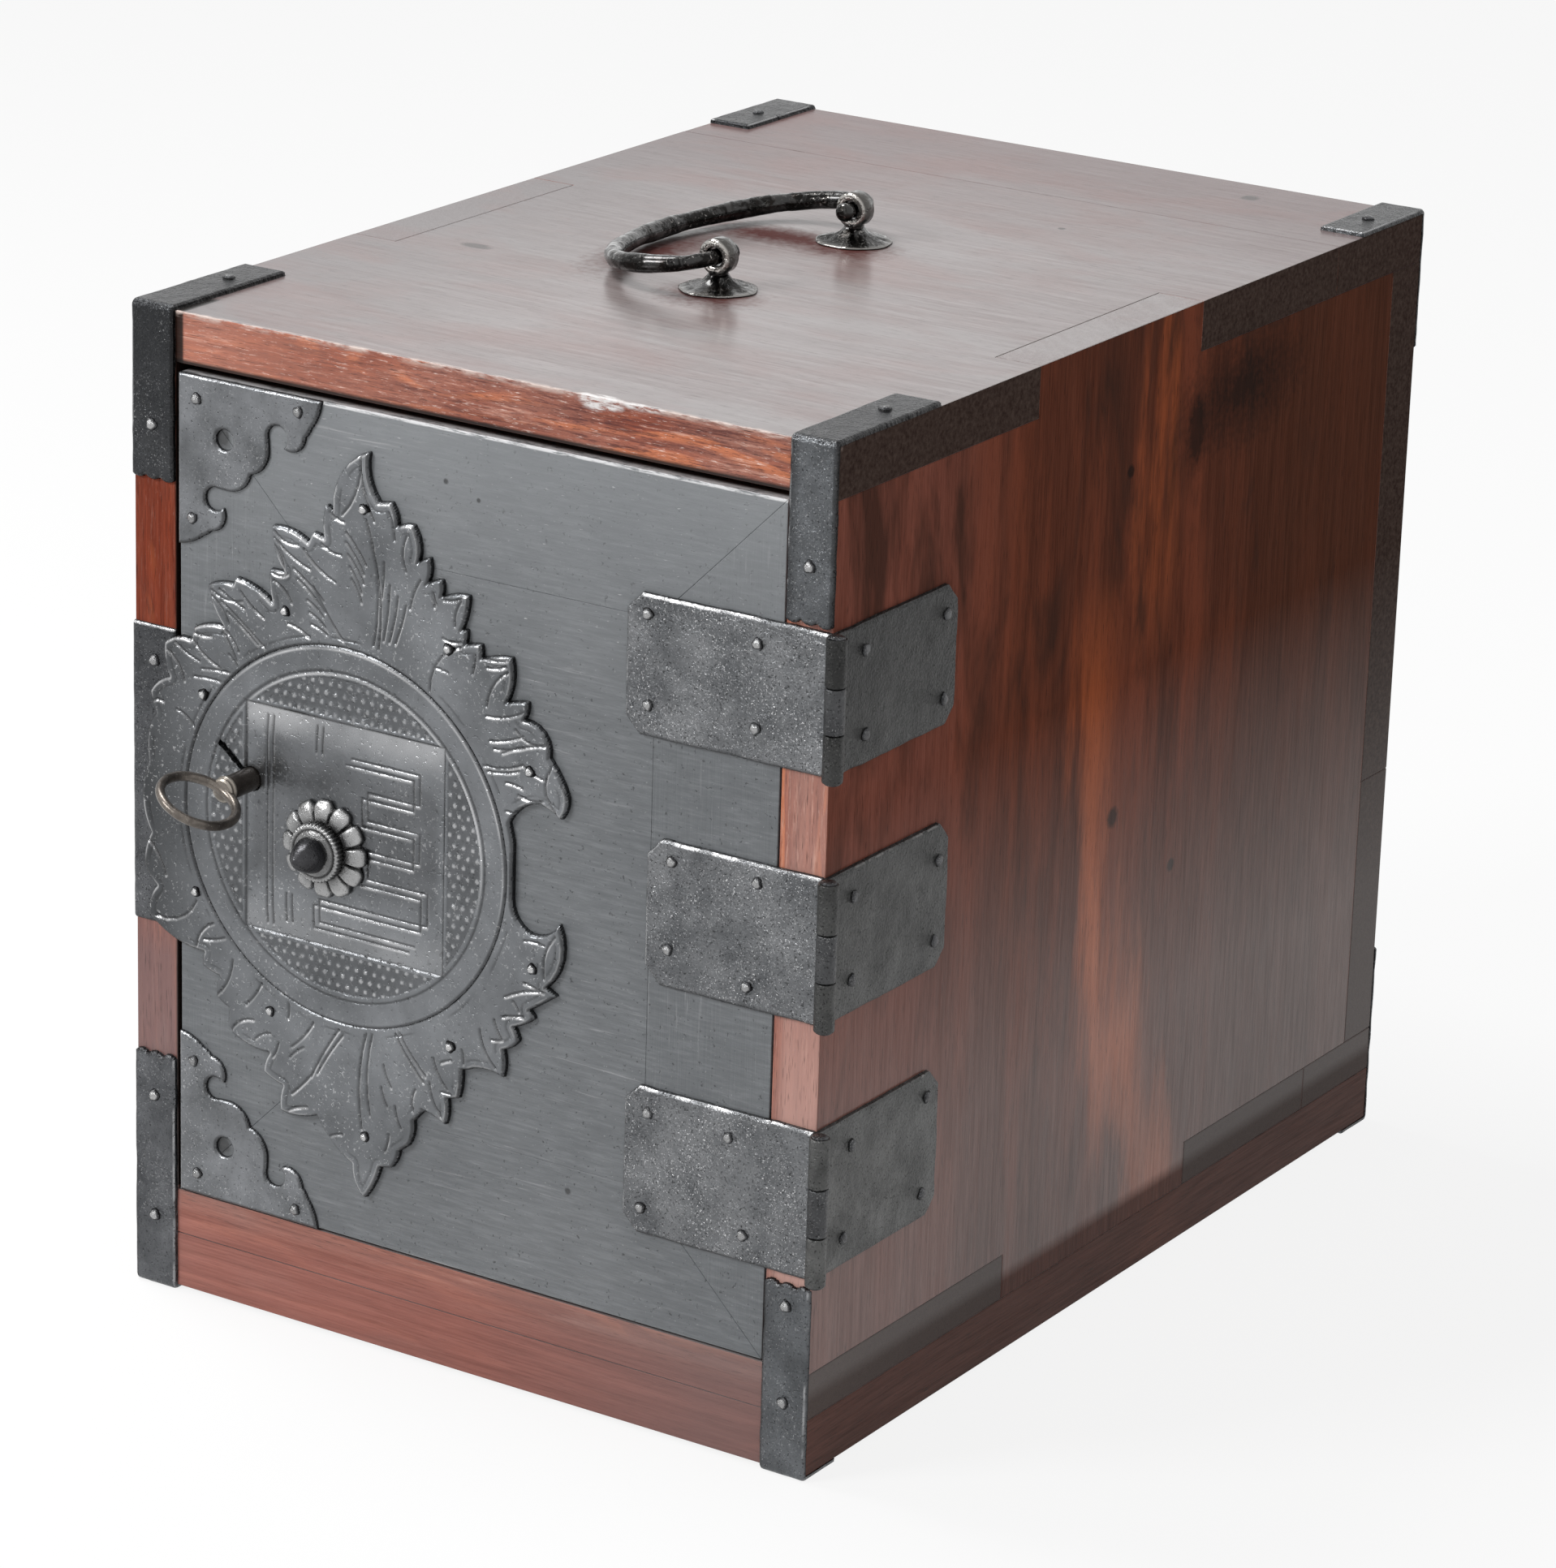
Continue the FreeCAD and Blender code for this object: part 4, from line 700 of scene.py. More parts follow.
def forged_group():
    """Hammered iron skin: dents, pits, specks of bare metal and slow changes of tone."""
    made, tree, entry, leave = new_group(
        "forged_skin", {"Vector": ("vector", (0, 0, 0)), "Size": ("value", 1.0)},
        {"Height": "value", "Pits": "value", "Specks": "value", "Tone": "value"})
    vector = tree.vector("DIVIDE", entry["Vector"], tree.joined(entry["Size"], entry["Size"], entry["Size"]))
    dents = tree.voronoi(vector, 0.17, "SMOOTH_F1")
    peel = tree.noise(vector, 0.55, 3.0, 0.6)
    pit_field = tree.noise(vector, 0.9, 2.0, 0.55)
    pits = tree.span(pit_field, 0.60, 0.72)
    speck_field = tree.noise(vector, 1.1, 3.0, 0.65, 0.6)
    speck_zone = tree.noise(vector, 0.03, 2.0, 0.6)
    specks = tree.times(tree.span(speck_field, 0.60, 0.66), tree.span(speck_zone, 0.38, 0.58, 0.15, 1.0))
    tone = tree.noise(vector, 0.045, 4.0, 0.6)
    height = tree.plus(tree.times(dents, 0.5), tree.minus(tree.times(peel, 0.8), tree.times(pits, 0.5)))
    finish_group(tree, leave, Height=height, Pits=pits, Specks=specks, Tone=tone)
    return made


def scratch_group():
    """Fine scratches and rubbed places on lacquer; Vector in millimetres, first axis along them."""
    made, tree, entry, leave = new_group(
        "scratches", {"Vector": ("vector", (0, 0, 0))}, {"Fine": "value", "Rubs": "value", "Dust": "value"})
    vector = entry["Vector"]
    fine_field = tree.noise(tree.scaled(vector, (0.02, 1.8, 1.8)), 1.0, 5.0, 0.7)
    rub_field = tree.noise(tree.scaled(vector, (0.025, 0.55, 0.55)), 1.0, 4.0, 0.65, 0.5)
    zone = tree.noise(tree.scaled(vector, (0.012, 0.02, 0.02)), 1.0, 2.0)
    rubs = tree.times(tree.span(rub_field, 0.60, 0.72), tree.span(zone, 0.45, 0.65))
    dust_field = tree.noise(vector, 0.8, 2.0, 0.5)
    dust = tree.span(dust_field, 0.70, 0.76)
    finish_group(tree, leave, Fine=fine_field, Rubs=rubs, Dust=dust)
    return made


def spot_group():
    """Soft round spot: 1 within Radius of Centre, fading over Blur. Stretch divides the three axes."""
    made, tree, entry, leave = new_group(
        "spot", {"Vector": ("vector", (0, 0, 0)), "Centre": ("vector", (0, 0, 0)),
                 "Stretch": ("vector", (1, 1, 1)), "Radius": ("value", 5.0), "Blur": ("value", 3.0)},
        {"Mask": "value"})
    away = tree.vector("DIVIDE", tree.vector("SUBTRACT", entry["Vector"], entry["Centre"]), entry["Stretch"])
    far = tree.vector("LENGTH", away)
    ragged = tree.noise(entry["Vector"], 0.35, 2.0)
    far = tree.plus(far, tree.times(tree.minus(ragged, 0.5), entry["Blur"]))
    mask = tree.minus(1.0, tree.math(
        "DIVIDE", tree.minus(far, entry["Radius"]), entry["Blur"], clamp=True), clamp=True)
    finish_group(tree, leave, Mask=mask)
    return made


FIGURE = grain_group()
FORGED = forged_group()
SCRATCHES = scratch_group()
SPOT = spot_group()


def spots_mask(tree, position, rows):
    """Strongest of several spots given as (x, y, z, radius, blur, stretch)."""
    total = None
    for x, y, z, radius, blur, stretch in rows:
        mask = tree.group(
            SPOT, Vector=position, Centre=(x, y, z), Radius=radius, Blur=blur, Stretch=stretch)["Mask"]
        total = mask if total is None else tree.most(total, mask)
    return total


def towards(tree, normal_part):
    """1 on faces that point along one axis, 0 on those 60 degrees or more off it."""
    return tree.span(normal_part, 0.5, 0.75)


# ---------------------------------------------------------------- wood

# Grain axes: order of the position's parts that puts the fibre direction first.
GRAIN_X, GRAIN_Y, GRAIN_Z = "XYZ", "YXZ", "ZYX"


def swizzled(tree, position, order, offset):
    part = tree.split(position)
    return tree.joined(tree.plus(part[order[0]], offset), part[order[1]], part[order[2]])


def carcass_material(name, order, offset=0.0):
    """Red-brown lacquered softwood: mauve and worn on top, orange on the front, deep brown at the sides."""
    material, tree, shader, position = new_material(name)
    fibres = swizzled(tree, position, order, offset)
    figure = tree.group(FIGURE, Vector=fibres, Ring_Size=8.0)
    place = tree.split(position)
    normal = tree.split(tree.node("ShaderNodeTexCoord").outputs["Normal"])
    along = tree.math("ABSOLUTE", normal[order[0]])
    end_grain = towards(tree, along)
    up = towards(tree, normal["Z"])
    front = tree.span(normal["Y"], -0.5, -0.75)
    back = towards(tree, normal["Y"])
    band, fibre = figure["Figure"], figure["Fibre"]
    streak = tree.plus(tree.times(band, 0.45), tree.times(fibre, 0.75))

    # deep brown outer sides with orange runs of the same direction as the fibres
    run_field = tree.noise(tree.scaled(fibres, (0.005, 0.034, 0.034)), 1.0, 5.0, 0.62)
    soft = tree.plus(tree.times(band, 0.30), tree.times(fibre, 0.75))

    def by_fibre(dark, light):
        return tree.mix(tree.span(soft, 0.35, 0.80), dark, light)

    def by_streak(dark, light):
        return tree.mix(tree.span(streak, 0.35, 0.95), dark, light)

    side = by_fibre((0.095, 0.030, 0.018), (0.180, 0.058, 0.034))
    side = tree.mix(tree.span(run_field, 0.46, 0.60, 0.0, 0.65), side, (0.260, 0.072, 0.038))
    bend = tree.minus(300.0, place["Z"])
    path_y = tree.plus(-34.0, tree.times(tree.times(bend, bend), 0.0010))
    ragged = tree.times(tree.minus(run_field, 0.5), 120.0)
    off_path = tree.math("ABSOLUTE", tree.plus(tree.minus(place["Y"], path_y), ragged))
    main_run = tree.times(tree.span(off_path, 0.0, 32.0, 1.0, 0.0, smooth=True), tree.span(place["Z"], 330, 270))
    off_high = tree.math("ABSOLUTE", tree.plus(tree.minus(place["Y"], 12.0), ragged))
    high_run = tree.times(tree.span(off_high, 0.0, 22.0, 0.8, 0.0, smooth=True), tree.span(place["Z"], 280, 350))
    orange = tree.most(main_run, high_run)
    side = tree.mix(tree.times(orange, tree.span(soft, 0.3, 0.7, 0.65, 1.0)), side, tree.mix(
        tree.span(place["Z"], 160, 270), (0.640, 0.190, 0.085), (0.430, 0.110, 0.042)))
    side = tree.mix(tree.span(place["Y"], -100, -170, 0.0, 0.8), side, by_fibre(
        (0.200, 0.066, 0.046), (0.320, 0.118, 0.086)))
    side = tree.mix(tree.span(place["Y"], 40, 130, 0.0, 0.75), side, by_fibre(
        (0.060, 0.024, 0.014), (0.120, 0.046, 0.028)))
    # Greyer in patches lower down the side: a painted reflection of the floor.
    lower = tree.times(tree.span(place["Z"], 270, 60, 0.0, 0.5), tree.span(figure["Patches"], 0.3, 0.6, 0.6, 1.0))
    side = tree.mix(lower, side, by_fibre((0.140, 0.100, 0.092), (0.250, 0.185, 0.170)))
    smoke = tree.noise(tree.scaled(position, (0.016, 0.030, 0.009)), 1.0, 4.0, 0.6, 0.6)
    gloom = tree.times(tree.span(smoke, 0.50, 0.66), tree.span(place["Z"], 120, 330, 0.35, 0.8))
    side = tree.mix(gloom, side, (0.055, 0.027, 0.020))
    side = tree.mix(tree.span(place["Z"], 40, 34, 0.0, 0.9), side, by_fibre(
        (0.075, 0.026, 0.017), (0.150, 0.055, 0.038)))

    # orange-red front edges, duller and paler towards the foot
    glow = by_streak((0.135, 0.034, 0.024), (0.470, 0.120, 0.058))
    glow = tree.mix(tree.span(figure["Patches"], 0.48, 0.68, 0.0, 0.6), glow, (0.40, 0.21, 0.165))
    veins = tree.group(FIGURE, Vector=fibres, Ring_Size=15.0, Sway=1.5)["Rings"]
    glow = tree.mix(tree.times(tree.span(veins, 0.35, 0.80), 0.75), glow, (0.620, 0.200, 0.090))
    fine = tree.noise(tree.scaled(fibres, (0.030, 0.42, 0.42)), 1.0, 5.0, 0.75)
    glow = tree.mix(tree.span(fine, 0.47, 0.36, 0.0, 0.80), glow, (0.100, 0.026, 0.022))
    glow = tree.mix(tree.span(fine, 0.56, 0.68, 0.0, 0.65), glow, (0.700, 0.400, 0.310))
    finer = tree.noise(tree.scaled(fibres, (0.13, 1.1, 1.1)), 1.0, 4.0, 0.8, 0.3)
    rubbed = tree.span(place["Z"], 300, 420, 0.25, 1.0)
    glow = tree.mix(tree.times(tree.span(finer, 0.46, 0.36, 0.0, 0.75), rubbed), glow, (0.085, 0.030, 0.032))
    glow = tree.mix(tree.times(tree.span(finer, 0.58, 0.68, 0.0, 0.80), rubbed), glow, (0.860, 0.690, 0.620))
    low_glow = by_streak((0.230, 0.085, 0.062), (0.430, 0.190, 0.145))
    low_glow = tree.mix(tree.span(figure["Patches"], 0.50, 0.64, 0.0, 0.7), low_glow, (0.290, 0.225, 0.205))
    glow = tree.mix(tree.span(place["Z"], 260, 150, 0.0, 0.7), glow, low_glow)
    far_left = tree.times(tree.span(place["X"], -146, -150), tree.span(place["Z"], 200, 290))
    glow = tree.mix(tree.times(far_left, 0.8), glow, tree.mix(
        tree.span(streak, 0.35, 0.9), (0.105, 0.018, 0.009), (0.260, 0.047, 0.020)))
    pink = tree.times(tree.span(place["Z"], 400, 410), tree.span(place["X"], 0, -120, 0.0, 0.35))
    glow = tree.mix(pink, glow, (0.700, 0.330, 0.240))
    right_low = tree.times(tree.span(place["X"], 148, 154), tree.span(place["Z"], 330, 150, 0.15, 0.6))
    glow = tree.mix(right_low, glow, (0.600, 0.370, 0.320))
    left_foot = tree.times(tree.span(place["X"], -146, -150), tree.span(place["Z"], 190, 150))
    glow = tree.mix(tree.times(left_foot, 0.7), glow, (0.150, 0.096, 0.098))

    # pale top, darker towards the left and the back
    pale = by_streak((0.170, 0.134, 0.130), (0.312, 0.276, 0.272))
    pale = tree.mix(tree.span(figure["Patches"], 0.42, 0.70, 0.0, 0.55), pale, (0.290, 0.275, 0.272))
    pale = tree.mix(tree.span(place["X"], -30, -160, 0.0, 0.75), pale, (0.125, 0.108, 0.110))
    pale = tree.mix(tree.span(place["Y"], 60, 220, 0.0, 0.75), pale, (0.140, 0.092, 0.092))
    warm = tree.noise(tree.scaled(position, (0.010, 0.020, 0.02)), 1.0, 4.0, 0.6, 0.4)
    pale = tree.mix(tree.span(warm, 0.48, 0.68, 0.0, 0.35), pale, (0.200, 0.085, 0.072))
    # Darker, redder wood round the eyes and under the bail, with a thinner coat: partly wood the hands have not
    # rubbed, partly a painted shadow and dark reflection of the handle.
    unrubbed_and_handle_shadow = spots_mask(tree, position, [
        (HANDLE_X + 3, HANDLE_Y - EYE_SPACING / 2 - 12, TOP, 7.0, 16.0, (1.2, 1, 1)),
        (HANDLE_X + 3, HANDLE_Y + EYE_SPACING / 2 - 12, TOP, 7.0, 16.0, (1.2, 1, 1)),
        (HANDLE_X - 55, HANDLE_Y - 22, TOP, 5.0, 18.0, (1, 2.2, 1)),
        (HANDLE_X - 30, HANDLE_Y + 40, TOP, 4.0, 14.0, (3.0, 1, 1))])
    pale = tree.mix(tree.times(unrubbed_and_handle_shadow, 0.9), pale, (0.075, 0.018, 0.015))

    # end grain and the dark back
    rough_end = tree.noise(tree.scaled(position, (0.5, 0.5, 0.5)), 1.0, 5.0, 0.7)
    ends = tree.mix(tree.span(rough_end, 0.35, 0.7), (0.040, 0.024, 0.020), (0.100, 0.070, 0.058))
    ends = tree.mix(tree.span(place["Z"], 200, 60, 0.0, 0.8), ends, (0.120, 0.094, 0.086))
    rear = tree.mix(tree.span(streak, 0.35, 0.9), (0.060, 0.035, 0.027), (0.140, 0.085, 0.064))

    colour = tree.mix(end_grain, side, ends)
    colour = tree.mix(back, colour, rear)
    colour = tree.mix(front, colour, glow)
    colour = tree.mix(up, colour, pale)
    colour = tree.mix(tree.times(figure["Pores"], 0.6), colour, (0.03, 0.018, 0.015))

    # grime gathers low down; edges are rubbed pale; painted shade beside and above the door
    foot = tree.times(tree.span(place["Z"], 46, 30), front)
    colour = tree.mix(tree.times(foot, 0.8), colour, by_streak((0.230, 0.080, 0.062), (0.390, 0.145, 0.115)))
    right_foot = tree.times(front, tree.times(tree.span(place["X"], 0, 120, 0.0, 0.6), tree.span(
        place["Z"], 70, 60)))
    colour = tree.mix(right_foot, colour, (0.150, 0.112, 0.110))
    # Painted shade: a near-black strip at the door's left edge, where the gap beside the door lies in shade.
    beside = tree.times(tree.span(place["X"], DOOR_LEFT - 3.4, DOOR_LEFT - 2.3), tree.span(
        place["X"], DOOR_LEFT + 2, DOOR_LEFT + 1))
    seam = tree.times(beside, tree.times(tree.span(place["Y"], FRONT + 26, FRONT + 22), tree.span(
        place["Z"], DOOR_BOTTOM - 1, DOOR_BOTTOM + 1)))
    colour = tree.mix(tree.times(seam, 0.95), colour, (0.008, 0.006, 0.005))
    upper_edge = tree.times(tree.span(place["Z"], TOP - 2.6, TOP - 0.4), tree.span(
        place["Y"], FRONT + 2.6, FRONT + 0.4))
    chip_field = tree.noise(tree.scaled(position, (0.10, 0.5, 0.5)), 1.0, 4.0, 0.7)
    colour = tree.mix(tree.times(upper_edge, tree.span(chip_field, 0.42, 0.60)), colour, (0.62, 0.50, 0.45))
    chip = spots_mask(tree, position, [
        (60, FRONT, TOP - 1.5, 3.2, 1.6, (2.6, 1, 1)), (78, FRONT, TOP, 1.4, 1.2, (5.0, 1, 1))])
    chip = tree.times(chip, tree.span(chip_field, 0.38, 0.52))
    colour = tree.mix(chip, colour, (0.75, 0.72, 0.71))
    # Painted shadow: a near-black band on the front round the underside of the top board, over the door's top gap.
    under = tree.times(front, tree.times(tree.span(place["Z"], CEILING + 2.4, CEILING + 1.0), tree.span(
        place["Z"], CEILING - 3, CEILING - 2)))
    colour = tree.mix(tree.times(under, 0.95), colour, (0.010, 0.007, 0.006))
    marks = spots_mask(tree, position, [
        (HALF_WIDTH, -14, 219, 3.0, 2.5, (1, 1, 1)), (HALF_WIDTH, -13, 369, 2.0, 1.5, (1, 1, 1)),
        (HALF_WIDTH, 42, 375, 5.0, 7.0, (1, 1, 2)), (HALF_WIDTH, 39, 183, 2.0, 1.5, (1, 1, 1)),
        (HALF_WIDTH, 80, 385, 4.0, 26.0, (1, 2, 1)), (-117, -75, TOP, 2.6, 2.0, (2, 1, 1)),
        (96, 215, TOP, 3.0, 2.0, (1, 1, 1)), (60, 112, TOP, 1.2, 1.0, (1, 1, 1))])
    colour = tree.mix(tree.times(marks, 0.8), colour, (0.020, 0.015, 0.013))

    front_sheen = tree.times(front, tree.span(place["Z"], 380, 120, 0.40, 0.50))
    strip = tree.times(tree.span(place["X"], DOOR_LEFT + 2, DOOR_LEFT - 2), tree.span(place["Z"], 120, 160))
    front_sheen = tree.times(front_sheen, tree.span(strip, 0.0, 1.0, 1.0, 0.1))
    side_sheen = tree.times(tree.span(place["Z"], 280, 120, 0.02, 0.82), tree.span(end_grain, 0, 1, 1, 0.62))
    side_sheen = tree.times(side_sheen, tree.span(place["Z"], 34, 40, 0.3, 1.0))
    top_sheen = tree.times(up, tree.span(place["Y"], -150, 150, 1.0, 0.80))
    top_sheen = tree.times(top_sheen, tree.span(unrubbed_and_handle_shadow, 0.0, 1.0, 1.0, 0.45))
    sheen = tree.most(top_sheen, tree.most(front_sheen, side_sheen))
    sheen = tree.times(sheen, tree.span(fibre, 0.25, 0.6, 0.68, 1.0))
    relief = tree.minus(tree.plus(tree.times(band, 0.4), fibre), figure["Pores"])
    relief = tree.plus(relief, tree.times(tree.times(rough_end, end_grain), 3.0))
    feed(tree, shader, Base_Color=colour, Roughness=0.6, Specular_IOR_Level=0.0,
         Coat_Weight=sheen, Coat_Roughness=0.22, Coat_IOR=1.62,
         Normal=tree.bump(relief, 0.45, 0.25 * MM))
    return material


def lacquer_material(name, order, offset=0.0):
    """Black lacquer gone grey: fine parallel scratches, rubbed places, small dents."""
    material, tree, shader, position = new_material(name)
    lines = tree.group(SCRATCHES, Vector=swizzled(tree, position, order, offset))
    place = tree.split(position)
    haze = tree.noise(position, 0.012, 3.0, 0.55)
    cloud = tree.noise(tree.scaled(position, (0.045, 1.0, 0.06)), 1.0, 5.0, 0.7)
    colour = tree.mix(tree.span(lines["Fine"], 0.30, 0.70), (0.118, 0.127, 0.135), (0.160, 0.170, 0.180))
    colour = tree.mix(tree.span(cloud, 0.35, 0.65, 0.0, 0.5), colour, (0.105, 0.112, 0.119))
    colour = tree.mix(tree.span(haze, 0.4, 0.7, 0.0, 0.45), colour, (0.200, 0.210, 0.219))
    brushed = tree.noise(tree.scaled(position, (0.05, 1.0, 0.50)), 1.0, 5.0, 0.72)
    colour = tree.mix(tree.span(brushed, 0.44, 0.66, 0.0, 0.45), colour, (0.080, 0.086, 0.092))
    colour = tree.mix(tree.span(brushed, 0.48, 0.30, 0.0, 0.40), colour, (0.235, 0.245, 0.255))
    dents = tree.span(tree.noise(position, 0.55, 2.0, 0.6, 0.3), 0.660, 0.72)
    colour = tree.mix(tree.times(dents, 0.7), colour, (0.025, 0.027, 0.029))
    height = tree.span(place["Z"], 300, 400, 0.0, 0.45)
    colour = tree.mix(height, colour, (0.290, 0.304, 0.317))
    colour = tree.mix(tree.times(lines["Rubs"], 0.55), colour, (0.42, 0.42, 0.43))
    colour = tree.mix(tree.times(lines["Dust"], 0.35), colour, (0.45, 0.45, 0.45))
    nicks = tree.noise(tree.scaled(position, (0.09, 0.5, 0.9)), 1.0, 4.0, 0.75)
    rim = tree.times(tree.span(place["Z"], DOOR_TOP - 1.6, DOOR_TOP - 1.0), tree.span(nicks, 0.38, 0.50))
    colour = tree.mix(tree.times(rim, 0.95), colour, (0.78, 0.78, 0.79))
    fleck_field = tree.noise(tree.scaled(position, (0.16, 1.0, 0.75)), 1.0, 3.0, 0.7, 0.5)
    flecks = tree.times(tree.span(fleck_field, 0.68, 0.73), tree.span(place["Z"], 250, 380, 0.15, 0.75))
    colour = tree.mix(flecks, colour, (0.56, 0.56, 0.57))
    # Small dark marks; the last two spots darken the door inside the holes of the corner plates, towards their left:
    # painted shade.
    marks = spots_mask(tree, position, [
        (-13, FRONT, 383, 0.8, 0.7, (1, 1, 1)), (3, FRONT, 378, 0.6, 0.6, (1, 1, 1)),
        (52, FRONT, 96, 1.0, 0.8, (1, 1, 1)), (DOOR_LEFT + 22.0, FRONT, DOOR_TOP - 24.0, 2.6, 2.4, (1, 1, 1)),
        (DOOR_LEFT + 22.0, FRONT, DOOR_BOTTOM + 25.0, 2.6, 2.4, (1, 1, 1))])
    colour = tree.mix(tree.times(marks, 0.8), colour, (0.02, 0.02, 0.02))
    inner = tree.span(place["Y"], FRONT + 2.5, FRONT + 6.0)
    colour = tree.mix(inner, colour, (0.050, 0.038, 0.034))
    relief = tree.minus(tree.plus(lines["Fine"], cloud), tree.plus(marks, dents))
    feed(tree, shader, Base_Color=colour, Roughness=tree.span(lines["Fine"], 0.3, 0.7, 0.32, 0.46),
         Normal=tree.bump(relief, 0.6, 0.25 * MM))
    return material


def inner_wood_material(name, order, light, dark, offset=0.0, shine=0.3):
    """Plain softwood inside: drawers, shelves."""
    material, tree, shader, position = new_material(name)
    figure = tree.group(FIGURE, Vector=swizzled(tree, position, order, offset), Ring_Size=7.0)
    tone = tree.plus(tree.times(figure["Figure"], 0.6), tree.times(figure["Fibre"], 0.5))
    colour = tree.mix(tree.span(tone, 0.25, 0.95), dark, light)
    stain = tree.span(figure["Patches"], 0.5, 0.75, 0.0, 0.45)
    colour = tree.mix(stain, colour, tuple(0.55 * part for part in dark))
    colour = tree.mix(tree.times(figure["Pores"], 0.5), colour, tuple(0.3 * part for part in dark))
    relief = tree.minus(tree.plus(figure["Fibre"], figure["Figure"]), figure["Pores"])
    feed(tree, shader, Base_Color=colour, Roughness=tree.span(figure["Fibre"], 0.3, 0.7, 0.75 - shine, 0.9 - shine),
         Specular_IOR_Level=0.35, Normal=tree.bump(relief, 0.4, 0.25 * MM))
    return material


# ---------------------------------------------------------------- iron and brass


def iron_material(name, dark, light, worn, rough=0.36, size=1.0, rust=0.0, metal=0.85, bump=0.7, fade=None,
                  glint=0.5, pitted=0.7, gloss=0.0, lit=None):
    """Blackened forged iron. Two vertex attributes bring out rubbed edges together with painted highlights, and dirt
    in corners together with painted shade; fade is (axis, from, to, tone at from): the tone rises to full strength
    between the two places;
    lit is (x from, x to, tone): forward faces right of there take that tone; gloss is the oil coat."""
    material, tree, shader, position = new_material(name)
    skin = tree.group(FORGED, Vector=position, Size=size)
    rubbed = tree.node("ShaderNodeAttribute", attribute_name="worn").outputs["Fac"]
    dirt_and_shade = tree.node("ShaderNodeAttribute", attribute_name="soot").outputs["Fac"]
    colour = tree.mix(tree.span(skin["Tone"], 0.35, 0.65), dark, light)
    if fade:
        axis, start, end, tone = fade
        share = tree.span(tree.split(position)[axis], start, end, 1.0, 0.0)
        colour = tree.mix(share, colour, tuple(tone * part for part in dark))
    if lit:
        forward = tree.span(tree.split(tree.node("ShaderNodeTexCoord").outputs["Normal"])["Y"], -0.5, -0.9)
        share = tree.times(forward, tree.span(tree.split(position)["X"], lit[0], lit[1]))
        colour = tree.mix(share, colour, tree.mix(tree.span(skin["Tone"], 0.35, 0.65), lit[2], tuple(
            1.7 * part for part in lit[2])))
    colour = tree.mix(tree.times(skin["Pits"], pitted), colour, tuple(0.18 * part for part in dark))
    # bare: bare-metal specks plus the first attribute, which holds rubbed wear and painted highlights.
    bare = tree.most(tree.times(skin["Specks"], glint), rubbed)
    colour = tree.mix(bare, colour, worn)
    if rust:
        bloom = tree.times(tree.span(tree.noise(position, 0.12, 4.0, 0.65), 0.52, 0.68), rust)
        colour = tree.mix(bloom, colour, (0.10, 0.045, 0.022))
    # The second attribute darkens the iron with dirt and painted shade.
    colour = tree.mix(tree.times(dirt_and_shade, 0.85), colour, (0.008, 0.007, 0.007))
    roughness = tree.plus(rough, tree.minus(tree.times(skin["Pits"], 0.25), tree.times(bare, 0.08)), clamp=True)
    oiled = tree.times(tree.span(tree.noise(position, 0.11, 3.0, 0.6, 0.8), 0.50, 0.58), gloss)
    feed(tree, shader, Base_Color=colour, Roughness=roughness, Metallic=metal,
         Coat_Weight=oiled, Coat_Roughness=0.16, Normal=tree.bump(skin["Height"], bump, 0.6 * MM))
    return material


def brass_material(name):
    """Old bronze-brown brass with rubbed bright places."""
    material, tree, shader, position = new_material(name)
    tone = tree.noise(position, 0.10, 4.0, 0.6)
    fine = tree.noise(position, 1.2, 3.0, 0.6)
    rubbed = tree.node("ShaderNodeAttribute", attribute_name="worn").outputs["Fac"]
    dirt_and_shade = tree.node("ShaderNodeAttribute", attribute_name="soot").outputs["Fac"]
    colour = tree.mix(tree.span(tone, 0.38, 0.62), (0.045, 0.038, 0.033), (0.160, 0.140, 0.122))
    colour = tree.mix(tree.span(fine, 0.60, 0.75, 0.0, 0.5), colour, (0.46, 0.43, 0.40))
    colour = tree.mix(tree.times(rubbed, 0.7), colour, (0.60, 0.55, 0.48))
    colour = tree.mix(tree.times(dirt_and_shade, 0.8), colour, (0.016, 0.010, 0.007))
    feed(tree, shader, Base_Color=colour, Roughness=tree.span(tone, 0.35, 0.65, 0.42, 0.24), Metallic=0.75,
         Normal=tree.bump(fine, 0.25, 0.2 * MM))
    return material


CARCASS_X = carcass_material("carcass_wood_lengthwise", GRAIN_X)
CARCASS_Z = carcass_material("carcass_wood_upright", GRAIN_Z, 31.0)
CARCASS_Y = carcass_material("carcass_wood_deep", GRAIN_Y, 77.0)
LACQUER_X = lacquer_material("door_lacquer_across", GRAIN_X)
LACQUER_Z = lacquer_material("door_lacquer_upright", GRAIN_Z, 53.0)
DRAWER_FACE = inner_wood_material(
    "drawer_front_wood", GRAIN_X, (0.30, 0.165, 0.085), (0.15, 0.070, 0.035), 11.0, 0.4)
INNER_Y = inner_wood_material("drawer_side_wood", GRAIN_Y, (0.50, 0.37, 0.23), (0.33, 0.22, 0.12), 5.0)
INNER_X = inner_wood_material("shelf_wood", GRAIN_X, (0.46, 0.34, 0.21), (0.30, 0.20, 0.11), 23.0)
PLATE_IRON = iron_material("lock_plate_iron", (0.125, 0.131, 0.138), (0.215, 0.224, 0.236), (0.80, 0.80, 0.81),
                           0.28, 1.8, bump=0.65, fade=("X", -168.0, -112.0, 0.40), glint=0.35, pitted=0.3)
CORNER_IRON = iron_material("corner_plate_iron", (0.118, 0.123, 0.129), (0.220, 0.228, 0.240), (0.60, 0.60, 0.61),
                            0.30, 1.1, bump=0.8, glint=0.6)
